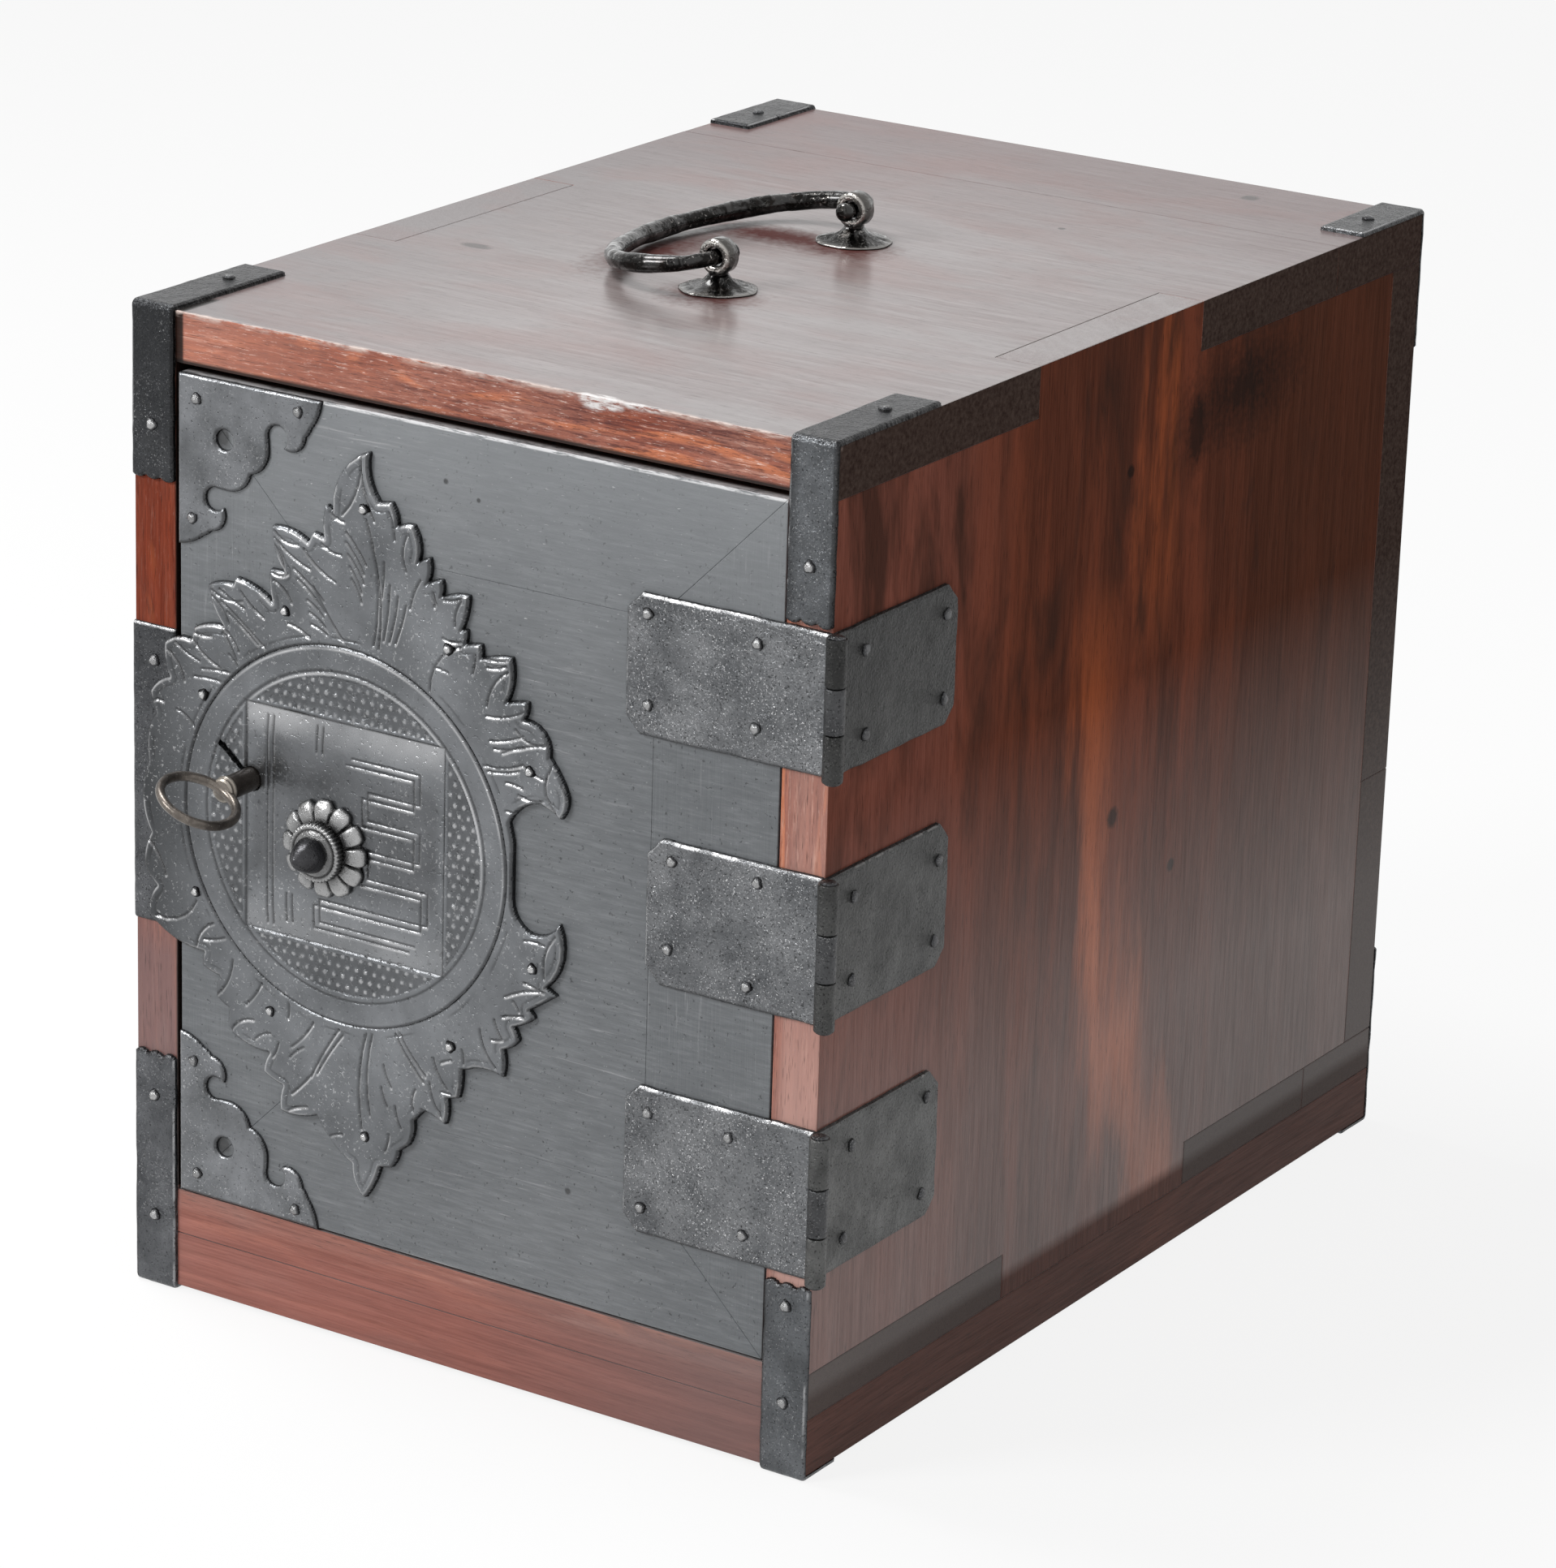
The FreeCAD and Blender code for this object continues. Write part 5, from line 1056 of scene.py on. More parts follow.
# Straps darker towards the top and lighter towards the foot: a painted reflection of the floor on the lower straps.
STRAP_IRON = iron_material("strap_iron", (0.060, 0.063, 0.068), (0.130, 0.134, 0.142), (0.65, 0.65, 0.66),
                           0.28, 0.9, bump=1.3, fade=("Z", 440.0, 150.0, 0.35), glint=0.3,
                           lit=(148.0, 154.0, (0.075, 0.079, 0.084)))
HINGE_IRON = iron_material("hinge_iron", (0.100, 0.104, 0.110), (0.185, 0.190, 0.197), (0.85, 0.85, 0.86),
                           0.28, 0.8, bump=1.4, glint=0.75)
# Side leaves: a darker copy of the hinge iron, painted shade for the side that gets less light, and lighter towards
# the foot as a painted reflection of the floor.
HINGE_SIDE_SHADED_IRON = iron_material("hinge_side_iron_shaded", (0.070, 0.071, 0.070), (0.130, 0.131, 0.129), (0.34, 0.33, 0.32),
                                0.38, 0.8, bump=1.6, fade=("Z", 400.0, 90.0, 0.30), glint=0.25)
NAIL_IRON = iron_material("nail_iron", (0.022, 0.022, 0.024), (0.080, 0.082, 0.086), (0.80, 0.80, 0.80),
                          0.20, 0.4, bump=0.8)
HANDLE_IRON = iron_material("handle_iron", (0.003, 0.003, 0.003), (0.010, 0.009, 0.008), (0.75, 0.72, 0.68),
                            0.14, 1.7, 0.05, bump=0.8, glint=0.30, gloss=0.8)
KNOB_IRON = iron_material("knob_metal", (0.020, 0.020, 0.022), (0.060, 0.060, 0.064), (0.60, 0.60, 0.60),
                          0.24, 0.8, bump=0.35, glint=0.2)
ROSETTE_IRON = iron_material("rosette_metal", (0.130, 0.132, 0.134), (0.285, 0.285, 0.285), (0.75, 0.75, 0.75),
                             0.26, 0.6, bump=0.5, glint=0.3)
KEY_BRASS = brass_material("key_brass")

# ---------------------------------------------------------------- boards


def body_of(node):
    return frame["nodes"][node]["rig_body"]


def board(node, material, edge=0.45):
    """A CAD board with its doubles merged and its edges eased; it stands for the CAD node."""
    mesh = frame["nodes"][node].data.copy()
    work = bmesh.new()
    work.from_mesh(mesh)
    bmesh.ops.remove_doubles(work, verts=work.verts, dist=2e-6)
    bmesh.ops.dissolve_limit(work, angle_limit=math.radians(2), verts=work.verts, edges=work.edges)
    work.to_mesh(mesh)
    work.free()
    mesh.materials.clear()
    mesh.materials.append(material)
    piece = bpy.data.objects.new(node + "_eased", mesh)
    bpy.context.scene.collection.objects.link(piece)
    bevel = piece.modifiers.new("edge", "BEVEL")
    bevel.width = edge * MM
    bevel.segments = 2
    bevel.limit_method = "ANGLE"
    bevel.angle_limit = math.radians(35)
    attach(piece, body_of(node))
    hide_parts(node)
    return piece


for node in ("top_board", "top_rear_strip", "bottom_board", "bottom_rear_strip", "plinth_front", "plinth_back",
             "back_board_lower", "back_board_upper"):
    board(node, CARCASS_X, 0.6)
for node in ("side_board_left", "side_board_right"):
    board(node, CARCASS_Z, 0.5)
board("plinth_sides", CARCASS_Y, 0.6)
for node in ("shelf_upper", "shelf_lower"):
    board(node, INNER_X)
for node in ("door_rail_top", "door_rail_bottom", "door_panel"):
    board(node, LACQUER_X, 0.35)
for node in ("door_stile_left", "door_stile_right"):
    board(node, LACQUER_Z, 0.35)
for row in ("top", "middle", "bottom"):
    board("drawer_front_" + row, DRAWER_FACE, 0.8)
    board("drawer_sides_" + row, INNER_Y)
    board("drawer_back_" + row, INNER_X)
    board("drawer_bottom_" + row, INNER_Y)
board("lock_case", STRAP_IRON, 0.25)
board("lock_bolt", STRAP_IRON, 0.3)

# ---------------------------------------------------------------- lock plate

LOCK_X, LOCK_Z = -60.0, 224.0
LOCK_PLATE_THICKNESS = 3.0
MEDALLION = 81.0
INNER_CIRCLE = 70.3
SQUARE_HALF_WIDTH, SQUARE_HALF_HEIGHT = 50.0, 49.0
GRID = 0.5

# leaf outline about the middle of the ring, clockwise from the top tip, as (right, up, bulge)
leaf_outline = [
    (11.0, 165.0, -0.25), (16.0, 145.0, 0.0), (22.0, 146.0, 0.2), (25.0, 136.5, 0.2),
    (33.0, 138.5, 0.25), (35.5, 123.5, 0.2), (41.0, 126.5, 0.2), (40.0, 115.5, 0.2),
    (47.0, 118.5, 0.2), (47.0, 111.5, 0.15), (60.5, 114.5, 0.1), (57.0, 99.5, 0.0),
    (59.5, 100.5, 0.1), (59.0, 94.0, 0.1), (66.5, 95.5, 0.1), (67.0, 90.0, 0.1),
    (81.5, 93.0, 0.2), (79.5, 74.0, 0.1), (89.5, 76.0, 0.2), (88.0, 68.5, 0.5),
    (100.5, 55.0, 0.1), (109.5, 41.0, 0.25), (106.5, 30.5, -0.1), (96.0, 35.0, -0.25),
    (81.5, 24.0, 0.0), (83.5, 16.0, 0.0), (83.5, -8.0, -0.35), (93.5, -21.0, -0.3),
    (106.5, -13.5, 0.35), (101.0, -42.0, 0.0), (106.0, -44.5, 0.0), (93.0, -53.5, 0.1),
    (95.5, -56.5, 0.1), (85.5, -62.5, 0.1), (88.0, -68.0, 0.15), (80.5, -73.5, 0.15),
    (80.5, -85.5, -0.15), (66.0, -85.0, 0.1), (60.0, -87.0, 0.1), (58.5, -100.0, 0.0),
    (53.0, -101.5, 0.15), (52.0, -113.5, -0.15), (41.0, -110.0, 0.0), (36.0, -115.5, 0.2),
    (33.5, -127.0, 0.0), (29.0, -130.5, 0.15), (25.0, -139.0, 0.0), (19.5, -140.0, 0.1),
    (11.5, -156.0, 0.25), (5.0, -142.0, 0.1), (-6.0, -134.0, 0.1), (-13.0, -125.0, 0.15),
    (-32.0, -127.5, 0.15), (-31.0, -116.0, 0.1), (-41.0, -112.0, 0.15), (-38.0, -103.0, 0.15),
    (-58.0, -98.5, 0.15), (-59.0, -88.0, 0.1), (-66.0, -84.0, 0.15), (-64.0, -75.0, 0.1),
    (-73.0, -72.0, 0.15), (-72.0, -66.0, 0.2), (-101.0, -55.5, 0.25), (-97.0, -42.0, 0.1),
    (-103.5, -34.0, 0.15), (-100.0, -19.0, 0.1), (-104.0, -8.0, 0.15), (-101.0, 12.0, 0.1),
    (-101.0, 26.0, 0.1), (-97.0, 34.0, 0.1), (-100.0, 43.0, 0.2), (-90.0, 51.0, 0.15),
    (-92.5, 65.5, 0.25), (-79.0, 69.0, 0.0),
    (-77.0, 75.0, 0.15), (-62.0, 78.0, 0.15), (-70.0, 94.5, 0.15), (-57.0, 97.0, 0.0),
    (-56.0, 100.0, 0.15), (-37.0, 93.0, 0.1), (-38.5, 107.0, 0.0), (-31.0, 107.0, 0.2),
    (-37.5, 125.5, 0.2), (-19.0, 122.0, 0.0), (-17.0, 126.5, 0.1), (-11.0, 125.0, 0.15),
    (-10.5, 139.5, 0.0), (-7.0, 137.5, 0.35),
]

# engraved strokes of the leaves on the face of the door, as (x, z, x, z, bend)
leaf_strokes = [
    (-50, 361, -46, 309, 0.16), (-47.5, 352, -43.5, 308, 0.13), (-53, 386, -62, 361, 0.22),
    (-53, 386, -46, 361, -0.15), (-68, 361, -61, 358, -0.2), (-72, 347, -62, 344, -0.2),
    (-60, 354, -50, 342, 0.1), (-60, 350, -51, 338, 0.1), (-59, 345, -51, 334, 0.1), (-58, 340, -52, 330, 0.1),
    (-57, 335, -52, 326, 0.1), (-39, 366, -36, 355, 0.1), (-30, 358, -30, 343, -0.25), (-41, 345, -42, 330, 0.05),
    (-38, 336, -41, 312, 0.05), (-34, 332, -38, 312, 0.05), (-30, 329, -35, 312, 0.05), (-23, 341, -28, 328, -0.1),
    (-96, 348, -84, 344, -0.25), (-96, 345, -78, 335, -0.1), (-97, 343, -91, 333, 0.2), (-97, 330, -89, 331, -0.3),
    (-96, 327, -87, 319, 0.2), (-86, 334, -71, 323, 0.05), (-84, 330, -70, 318, 0.08), (-81, 343, -65, 332, -0.15),
    (-76, 328, -61, 308, -0.05), (-79, 322, -71, 316, 0.1), (-78, 317, -70, 312, 0.1), (-77, 312, -69, 309, 0.1),
    (-89, 310, -78, 306, 0.15), (-128, 317, -112, 315, -0.25), (-129, 315, -119, 304, 0.2),
    (-124, 318, -111, 312, -0.05), (-113, 319, -101, 310, -0.1), (-123, 313, -99, 296, 0.04),
    (-120, 309, -104, 298, 0.05), (-125, 303, -114, 293, 0.2), (-122, 300, -115, 289, 0.05),
    (-119, 291, -114, 286, 0.1), (-140, 298, -128, 297, -0.2), (-138, 294, -123, 284, -0.12),
    (-147, 291, -134, 285, -0.1), (-151, 287, -142, 275, 0.2), (-137, 278, -120, 278, 0.05),
    (-133, 282, -118, 283, 0.05), (-146, 262, -137, 256, 0.2), (-160, 262, -153, 264, 0.3),
    (-12, 335, -3, 337, -0.15), (-3, 336, -6, 325, -0.2), (-17, 337, -16, 331, 0.1), (-12, 319, -3, 319, -0.2),
    (-16, 306, -9, 305, 0.1), (-3, 317, -18, 295, -0.35), (8, 315, 20, 316, -0.15), (10, 311, 19, 313, -0.1),
    (20, 311, 10, 295, -0.25), (4, 315, 3, 307, 0.1), (10, 291, 28, 296, -0.15), (24, 288, 40, 285, -0.35),
    (12, 281, 28, 286, -0.1), (14, 278, 30, 282, -0.1), (18, 277, 40, 284, 0.1), (9, 270, 28, 274, -0.15),
    (11, 268, 26, 271, -0.1), (28, 274, 38, 270, -0.1), (20, 265, 28, 264, 0.1), (26, 261, 38, 261, -0.2),
    (42, 276, 44, 257, -0.4), (20, 253, 37, 259, -0.25), (30, 182, 38, 180, 0.1), (21, 174, 40, 180, 0.12),
    (25, 173, 28, 169, 0.1), (20, 165, 30, 167, 0.1), (16, 163, 20, 155, -0.1), (9, 157, 17, 142, -0.2),
    (15, 154, 20, 155, -0.1), (45, 205, 40, 186, -0.25), (30, 200, 40, 200, 0.1), (0, 146, 1, 140, 0.1),
    (-14, 139, -7, 127, -0.15), (-10, 138, -5, 140, 0.1), (-10, 125, -5, 125, 0.1), (-16, 128, -10, 114, -0.15),
    (-33, 145, -19, 127, -0.08), (-31, 146, -18, 130, -0.08), (-48, 142, -50, 99, -0.12), (-45, 142, -46, 106, -0.12),
    (-39, 130, -35, 121, -0.1), (-40, 120, -37, 112, -0.1), (-33, 113, -30, 104, -0.1), (-23, 123, -24, 113, -0.2),
    (-36, 100, -38, 92, 0.1), (-20, 115, -13, 112, 0.1), (-62, 140, -76, 116, -0.05), (-60, 138, -73, 118, -0.05),
    (-75, 118, -86, 106, 0.05), (-88, 98, -78, 102, 0.1), (-102, 151, -110, 140, 0.1), (-88, 147, -88, 139, 0.1),
    (-75, 140, -86, 127, 0.1), (-93, 127, -96, 120, 0.1), (-118, 126, -106, 134, 0.3), (-105, 126, -97, 130, 0.2),
    (-125, 141, -117, 158, -0.2), (-132, 164, -121, 167, -0.1), (-157, 169, -136, 180, -0.35),
    (-127, 172, -136, 160, -0.3), (-163, 203, -152, 188, 0.2), (-87, 122, -80, 128, 0.1), (-66, 92, -60, 94, 0.1),
]
KEY_X, KEY_Z = -107.5, 239.5
KEYHOLE = 5.4
SLIT_REACH, SLIT_WIDTH, SLIT_ANGLE = 20.9, 2.6, math.radians(141.3)
KNOB_X, KNOB_Z = -68.5, 218.0


def stroke_sides(rows, steps=5):
    """Straight sides of arcs given as (u, v, u, v, bend), as starts and ends."""
    starts, ends = [], []
    for u0, v0, u1, v1, bend in rows:
        line = arc_outline([(u0, v0, bend), (u1, v1, 0)], steps)[:steps + 1] if bend else np.array(
            [[u0, v0], [u1, v1]], float)
        if bend:
            line = np.concatenate([line[:steps], [[u1, v1]]])
        starts.append(line[:-1])
        ends.append(line[1:])
    return np.concatenate(starts), np.concatenate(ends)


def stroke_distance(u, v, sides):
    """Distance of each point to the nearest of many straight sides, and the share along that side."""
    starts, ends = sides
    side = ends - starts
    length = np.maximum((side ** 2).sum(1), 1e-12)
    points = np.stack([u, v], axis=1)
    result = np.empty(len(points))
    for first in range(0, len(points), 4000):
        away = points[first:first + 4000, None, :] - starts[None]
        share = np.clip((away * side).sum(2) / length, 0, 1)
        result[first:first + 4000] = np.sqrt(((away - share[:, :, None] * side) ** 2).sum(2)).min(1)
    return result


def leaf_height(sides):
    """Embossed leaves: rounded edge, a valley beside it, cut veins and a slow swell."""
    def height(u, v, distance):
        radius = np.hypot(u - LOCK_X, v - LOCK_Z)
        near_ring = smooth_step(radius, MEDALLION + 0.2, MEDALLION + 3)
        eased = np.where(radius < MEDALLION + 2.5, 0, 1 - smooth_step(distance, 0.0, 1.8))
        ring_cut = 1 - smooth_step(radius, MEDALLION, MEDALLION + 0.9)
        patchy = smooth_step(lattice_noise(u / 9, v / 9, 5), -0.2, 0.2)
        beside = np.clip(1 - np.abs(distance - 3.6) / 0.9, 0, 1) * patchy * near_ring
        cut = np.clip(1 - stroke_distance(u, v, sides) / 0.95, 0, 1) * near_ring
        # lip: a painted highlight just below and right of each cut, where its lower wall faces the light.
        lip = np.clip(1.3 - stroke_distance(u - 0.45, v + 0.75, sides) / 0.6, 0, 1) * near_ring * (1 - cut)
        swell = 0.22 * roughness_field(u, v, 12.0, 21, 3) * near_ring * smooth_step(distance, 0, 3)
        edge = np.where(radius < MEDALLION + 2.5, 0, round_drop(distance, 1.5))
        lift = LOCK_PLATE_THICKNESS - np.minimum(edge, 1.25) - 0.55 * ring_cut - 0.5 * beside - 0.75 * cut + swell
        worn = np.maximum(0.50 * np.clip(eased * (1 - eased) * 4, 0, 1) * patchy,
                          0.62 * lip * (0.35 + 0.65 * patchy))
        soot = 0.75 * np.maximum(np.maximum(cut, 0.8 * ring_cut), 0.6 * beside)
        return np.clip(lift, 0.4, LOCK_PLATE_THICKNESS + 0.15), worn, soot
    return height


def fret_lines():
    """A meander in double lines inside the square, with two double uprights beside it."""
    turns = [(4, 35), (38, 35), (38, 22), (12, 22), (12, 10), (38, 10), (38, -3), (12, -3), (12, -15), (42, -15),
             (42, -29), (-12, -29), (-12, -39), (36, -39)]
    lines = []
    for inset in (0.0, 3.0):
        for (u0, v0), (u1, v1) in zip(turns, turns[1:]):
            lines.append((LOCK_X + u0 - inset, LOCK_Z + v0 - inset, LOCK_X + u1 - inset, LOCK_Z + v1 - inset, 0))
        for u, v0, v1 in ((-36, 45, -45), (-11, 45, 34), (-26, -30, -42)):
            lines.append((LOCK_X + u - inset, LOCK_Z + v0, LOCK_X + u - inset, LOCK_Z + v1, 0))
    return lines


def medallion_height(sides):
    """Plain band round a dotted ground, and a cushioned square with the cut fret."""
    def height(u, v, distance):
        right, up = u - LOCK_X, v - LOCK_Z
        radius = np.hypot(right, up)
        ring_cut = 1 - smooth_step(MEDALLION - radius, 0, 0.9)
        circle_cut = np.clip(1 - np.abs(radius - INNER_CIRCLE) / 1.0, 0, 1)
        # facing and shine: painted highlights just inside the ring and circle cuts on their upper right.
        facing = smooth_step((0.9 * up + 0.45 * right) / np.maximum(radius, 1), 0.05, 0.75)
        shine = np.clip(1.4 - np.abs(radius - MEDALLION + 1.35) / 0.5, 0, 1)
        shine = facing * np.maximum(shine, np.clip(1.4 - np.abs(radius - INNER_CIRCLE + 1.3) / 0.5, 0, 1))
        square = np.minimum(SQUARE_HALF_WIDTH - np.abs(right), SQUARE_HALF_HEIGHT - np.abs(up))
        within = square > 0
        frame_cut = np.clip(1 - np.abs(square) / 0.9, 0, 1) * (radius < INNER_CIRCLE + 4)
        row = np.round(up / 4.3)
        along = (right + 2.3 * (row % 2)) / 4.6
        dots = np.clip(1 - np.hypot((along - np.round(along)) * 4.6, up - row * 4.3) / 1.6, 0, 1)
        ground = (radius < INNER_CIRCLE - 2.4) & (square < -1.8)
        cut = np.where(within, np.clip(1 - stroke_distance(u, v, sides) / 0.9, 0, 1), 0)
        lift = LOCK_PLATE_THICKNESS - 0.5 * ring_cut - 0.55 * circle_cut - 0.45 * frame_cut
        lift = lift + np.where(within, -0.75 + 0.95 * smooth_step(square, 0, 14), 0)
        lift = lift + np.where(ground, -0.55 + 0.55 * dots ** 0.6, 0) - 0.6 * cut
        lift = lift + 0.05 * roughness_field(u, v, 16.0, 33, 2)
        rubs = roughness_field(u, v, 18.0, 37, 3)
        # sheen: painted reflection, brighter along the top and a little along the bottom of the square.
        sheen = np.where(within, 0.30 * smooth_step(up, 33, 47) + 0.10 * smooth_step(-up, 28, 45), 0)
        # lip: a painted highlight just below and right of each fret cut.
        lip = np.where(within, np.clip(1.3 - stroke_distance(u - 0.3, v + 0.9, sides) / 0.6, 0, 1) * (1 - cut), 0)
        worn = np.maximum(sheen, np.where(ground, 0.30 * (dots > 0.45), 0)) * np.clip(1 + 0.4 * rubs, 0, 1.4)
        worn = np.maximum(worn, np.maximum(0.55 * lip, 0.60 * shine) * np.clip(0.8 + 0.5 * rubs, 0, 1))
        # shade: painted shade across the middle band of the square.
        shade = np.where(within, 0.36 * smooth_step(34 - np.abs(up - 4), 0, 16) * smooth_step(square, 0, 6), 0)
        soot = np.maximum(shade, 0.75 * np.maximum(np.maximum(cut, circle_cut), np.maximum(ring_cut, frame_cut)))
        soot = np.maximum(soot, np.where(ground, 0.40 * (1 - dots), 0))
        return np.clip(lift, 0.4, LOCK_PLATE_THICKNESS + 0.15), worn, soot
    return height


def keyhole_outline():
    """Round hole with the slit for the bit let into it."""
    half = math.asin(SLIT_WIDTH / 2 / KEYHOLE)
    angle = np.linspace(SLIT_ANGLE + half, SLIT_ANGLE + 2 * math.pi - half, 20)
    ring = np.stack([KEY_X + KEYHOLE * np.cos(angle), KEY_Z + KEYHOLE * np.sin(angle)], axis=1)
    along = np.array([math.cos(SLIT_ANGLE), math.sin(SLIT_ANGLE)])
    across = np.array([-along[1], along[0]])
    end = np.array([KEY_X, KEY_Z]) + along * SLIT_REACH
    return np.concatenate([ring, [end - across * SLIT_WIDTH / 2, end + across * SLIT_WIDTH / 2]])


def make_lock_plate():
    outer = arc_outline([(LOCK_X + u, LOCK_Z + v, bulge) for u, v, bulge in leaf_outline], 6)
    circle = circle_outline(LOCK_X, LOCK_Z, MEDALLION, 240)
    leaves = Shell()
    add_relief(leaves, [outer, circle], GRID, leaf_height(stroke_sides(leaf_strokes)), on_front)
    leaves.write("lock_plate_leaves", "door", "dark_iron", PLATE_IRON, ["lock_plate"])
    disc = Shell()
    add_relief(disc, [circle, keyhole_outline()], GRID, medallion_height(stroke_sides(fret_lines())), on_front)
    disc.write("lock_plate_medallion", "door", "dark_iron", PLATE_IRON)


make_lock_plate()

# ---------------------------------------------------------------- corner plates, hinges, straps

corner_half = [
    (72.0, 0.0, -0.15), (67.0, 12.0, -0.1), (64.0, 16.5, -0.55), (53.2, 22.8, 2.0),
    (45.4, 20.5, 0.0), (45.6, 25.5, -0.35),
]
CORNER_DIAGONAL = 36.6
CORNER_PLATE_THICKNESS = 1.8


def forged_height(thickness, chamfer, seed, dent=0.12, reach=0.9, crest=None):
    """Sheet iron: eased edge, shallow dents, rubbed wear along the edges and a painted highlight along the edge at
    the height crest.
    """
    def height(u, v, distance):
        eased = 1 - smooth_step(distance, 0, reach)
        lift = thickness - np.minimum(round_drop(distance, 1.25 * reach), chamfer)
        lift = lift + dent * roughness_field(u, v, 7.0, seed, 3) * smooth_step(distance, 0, 2)
        patchy = smooth_step(roughness_field(u, v, 9.0, seed + 3, 2), -0.5, 0.4)
        worn = 0.45 * np.clip(eased * (1 - eased) * 4, 0, 1) * patchy
        if crest is not None:
            # crest: a painted highlight along the top edge.
            rim = smooth_step(v, crest - 1.6, crest - 1.0) * smooth_step(1.2 - distance, 0, 0.6)
            worn = np.maximum(worn, 0.75 * rim * patchy)
        return lift, worn, np.zeros(len(u))
    return height


def corner_plate(name, z_edge, inward, seed):
    bulges = [row[2] for row in corner_half]
    outline = corner_half + [(CORNER_DIAGONAL, CORNER_DIAGONAL, bulges[-1])]
    outline += [(v, u, bulge) for (u, v, _), bulge in zip(corner_half[::-1], bulges[-2::-1] + [0.0])]
    outline.append((0.0, 0.0, 0.0))
    loop = arc_outline(outline, 12)
    hole = circle_outline(23.5, 24.5, 4.5)
    loops = [np.stack([DOOR_LEFT + part[:, 0], z_edge + inward * part[:, 1]], axis=1) for part in (loop, hole)]
    shell = Shell()
    add_relief(shell, loops, GRID, forged_height(CORNER_PLATE_THICKNESS, 0.7, seed, 0.07), on_front)
    shell.write(name + "_forged", "door", "dark_iron", CORNER_IRON, [name])


corner_plate("door_corner_plate_top", DOOR_TOP, -1, 41)
corner_plate("door_corner_plate_bottom", DOOR_BOTTOM, 1, 51)

KNUCKLE_RADIUS, KNUCKLE_GAP = 4.25, 0.4
PIVOT_X, PIVOT_Y = HALF_WIDTH + KNUCKLE_RADIUS, FRONT - KNUCKLE_RADIUS
LEAF_THICKNESS, LEAF_CORNER = 2.2, 7.0
SIDE_LEAF_END = FRONT + 89.0
LEAF_GRID = 0.7


def knuckle(shell, z0, z1, seed, soot):
    """Rolled barrel with rounded ends and an uneven girth."""
    ease = 0.5
    heights = np.concatenate([[0, 0, ease * 0.3, ease], np.linspace(0, 1, 12)[1:-1] * (z1 - z0 - 2 * ease) + ease,
                              [z1 - z0 - ease, z1 - z0 - ease * 0.3, z1 - z0, z1 - z0]])
    radii = np.full(len(heights), KNUCKLE_RADIUS)
    radii[[0, -1]] = 0
    radii[[1, -2]] = KNUCKLE_RADIUS - ease
    radii[[2, -3]] = KNUCKLE_RADIUS - 0.3 * ease

    def dented(angle, reach, lift):
        rough = roughness_field(
            4 * np.cos(angle) + lift * 0.7 + 60, 4 * np.sin(angle) + lift * 0.2 + 60, 3.0, seed, 2)
        return reach + np.where(reach > 1, 0.10 * rough - 0.06, 0), lift
    add_lathe(shell, (PIVOT_X, PIVOT_Y, z0), (0, 0, 1), radii, heights, 40, dented, soot=np.full(len(radii), soot))


def hinge(name, door_leaf, seed):
    low, high = corners_mm("hinge_door_leaf_" + name)
    z0, z1 = low[2], high[2]
    third = (z1 - z0) / 3
    clear = KNUCKLE_RADIUS + KNUCKLE_GAP
    far = PIVOT_X - door_leaf
    outline = [(far, z0 + LEAF_CORNER), (far + LEAF_CORNER, z0), (PIVOT_X - clear, z0),
               (PIVOT_X - clear, z0 + third + KNUCKLE_GAP), (PIVOT_X, z0 + third + KNUCKLE_GAP),
               (PIVOT_X, z1 - third - KNUCKLE_GAP), (PIVOT_X - clear, z1 - third - KNUCKLE_GAP),
               (PIVOT_X - clear, z1), (far + LEAF_CORNER, z1), (far, z1 - LEAF_CORNER)]
    shell = Shell()
    add_relief(shell, [wobbled(np.array(outline, float), 0.22, 9.0, seed)], LEAF_GRID,
               forged_height(LEAF_THICKNESS, 0.8, seed, 0.13, crest=z1), on_front)
    # The door's barrel is darkened with painted shade, to match the barrels on the side leaves.
    knuckle(shell, z0 + third + KNUCKLE_GAP, z1 - third - KNUCKLE_GAP, seed, 0.72)
    shell.write("hinge_door_leaf_%s_forged" % name, "door", "dark_iron", HINGE_IRON, ["hinge_door_leaf_" + name])

    outline = [(PIVOT_Y, z0), (SIDE_LEAF_END - LEAF_CORNER, z0), (SIDE_LEAF_END, z0 + LEAF_CORNER),
               (SIDE_LEAF_END, z1 - LEAF_CORNER), (SIDE_LEAF_END - LEAF_CORNER, z1), (PIVOT_Y, z1),
               (PIVOT_Y, z1 - third), (PIVOT_Y + clear, z1 - third), (PIVOT_Y + clear, z0 + third),
               (PIVOT_Y, z0 + third)]
    shell = Shell()
    add_relief(shell, [wobbled(np.array(outline, float), 0.22, 9.0, seed + 4)], LEAF_GRID,
               forged_height(LEAF_THICKNESS, 0.8, seed + 4, 0.15), on_right)
    knuckle(shell, z0, z0 + third, seed + 1, 0.1)
    knuckle(shell, z1 - third, z1, seed + 2, 0.1)
    shell.write("hinge_side_leaf_%s_forged" % name, "chest", "dark_iron", HINGE_SIDE_SHADED_IRON,
                ["hinge_side_leaf_" + name])
    return z0, z1


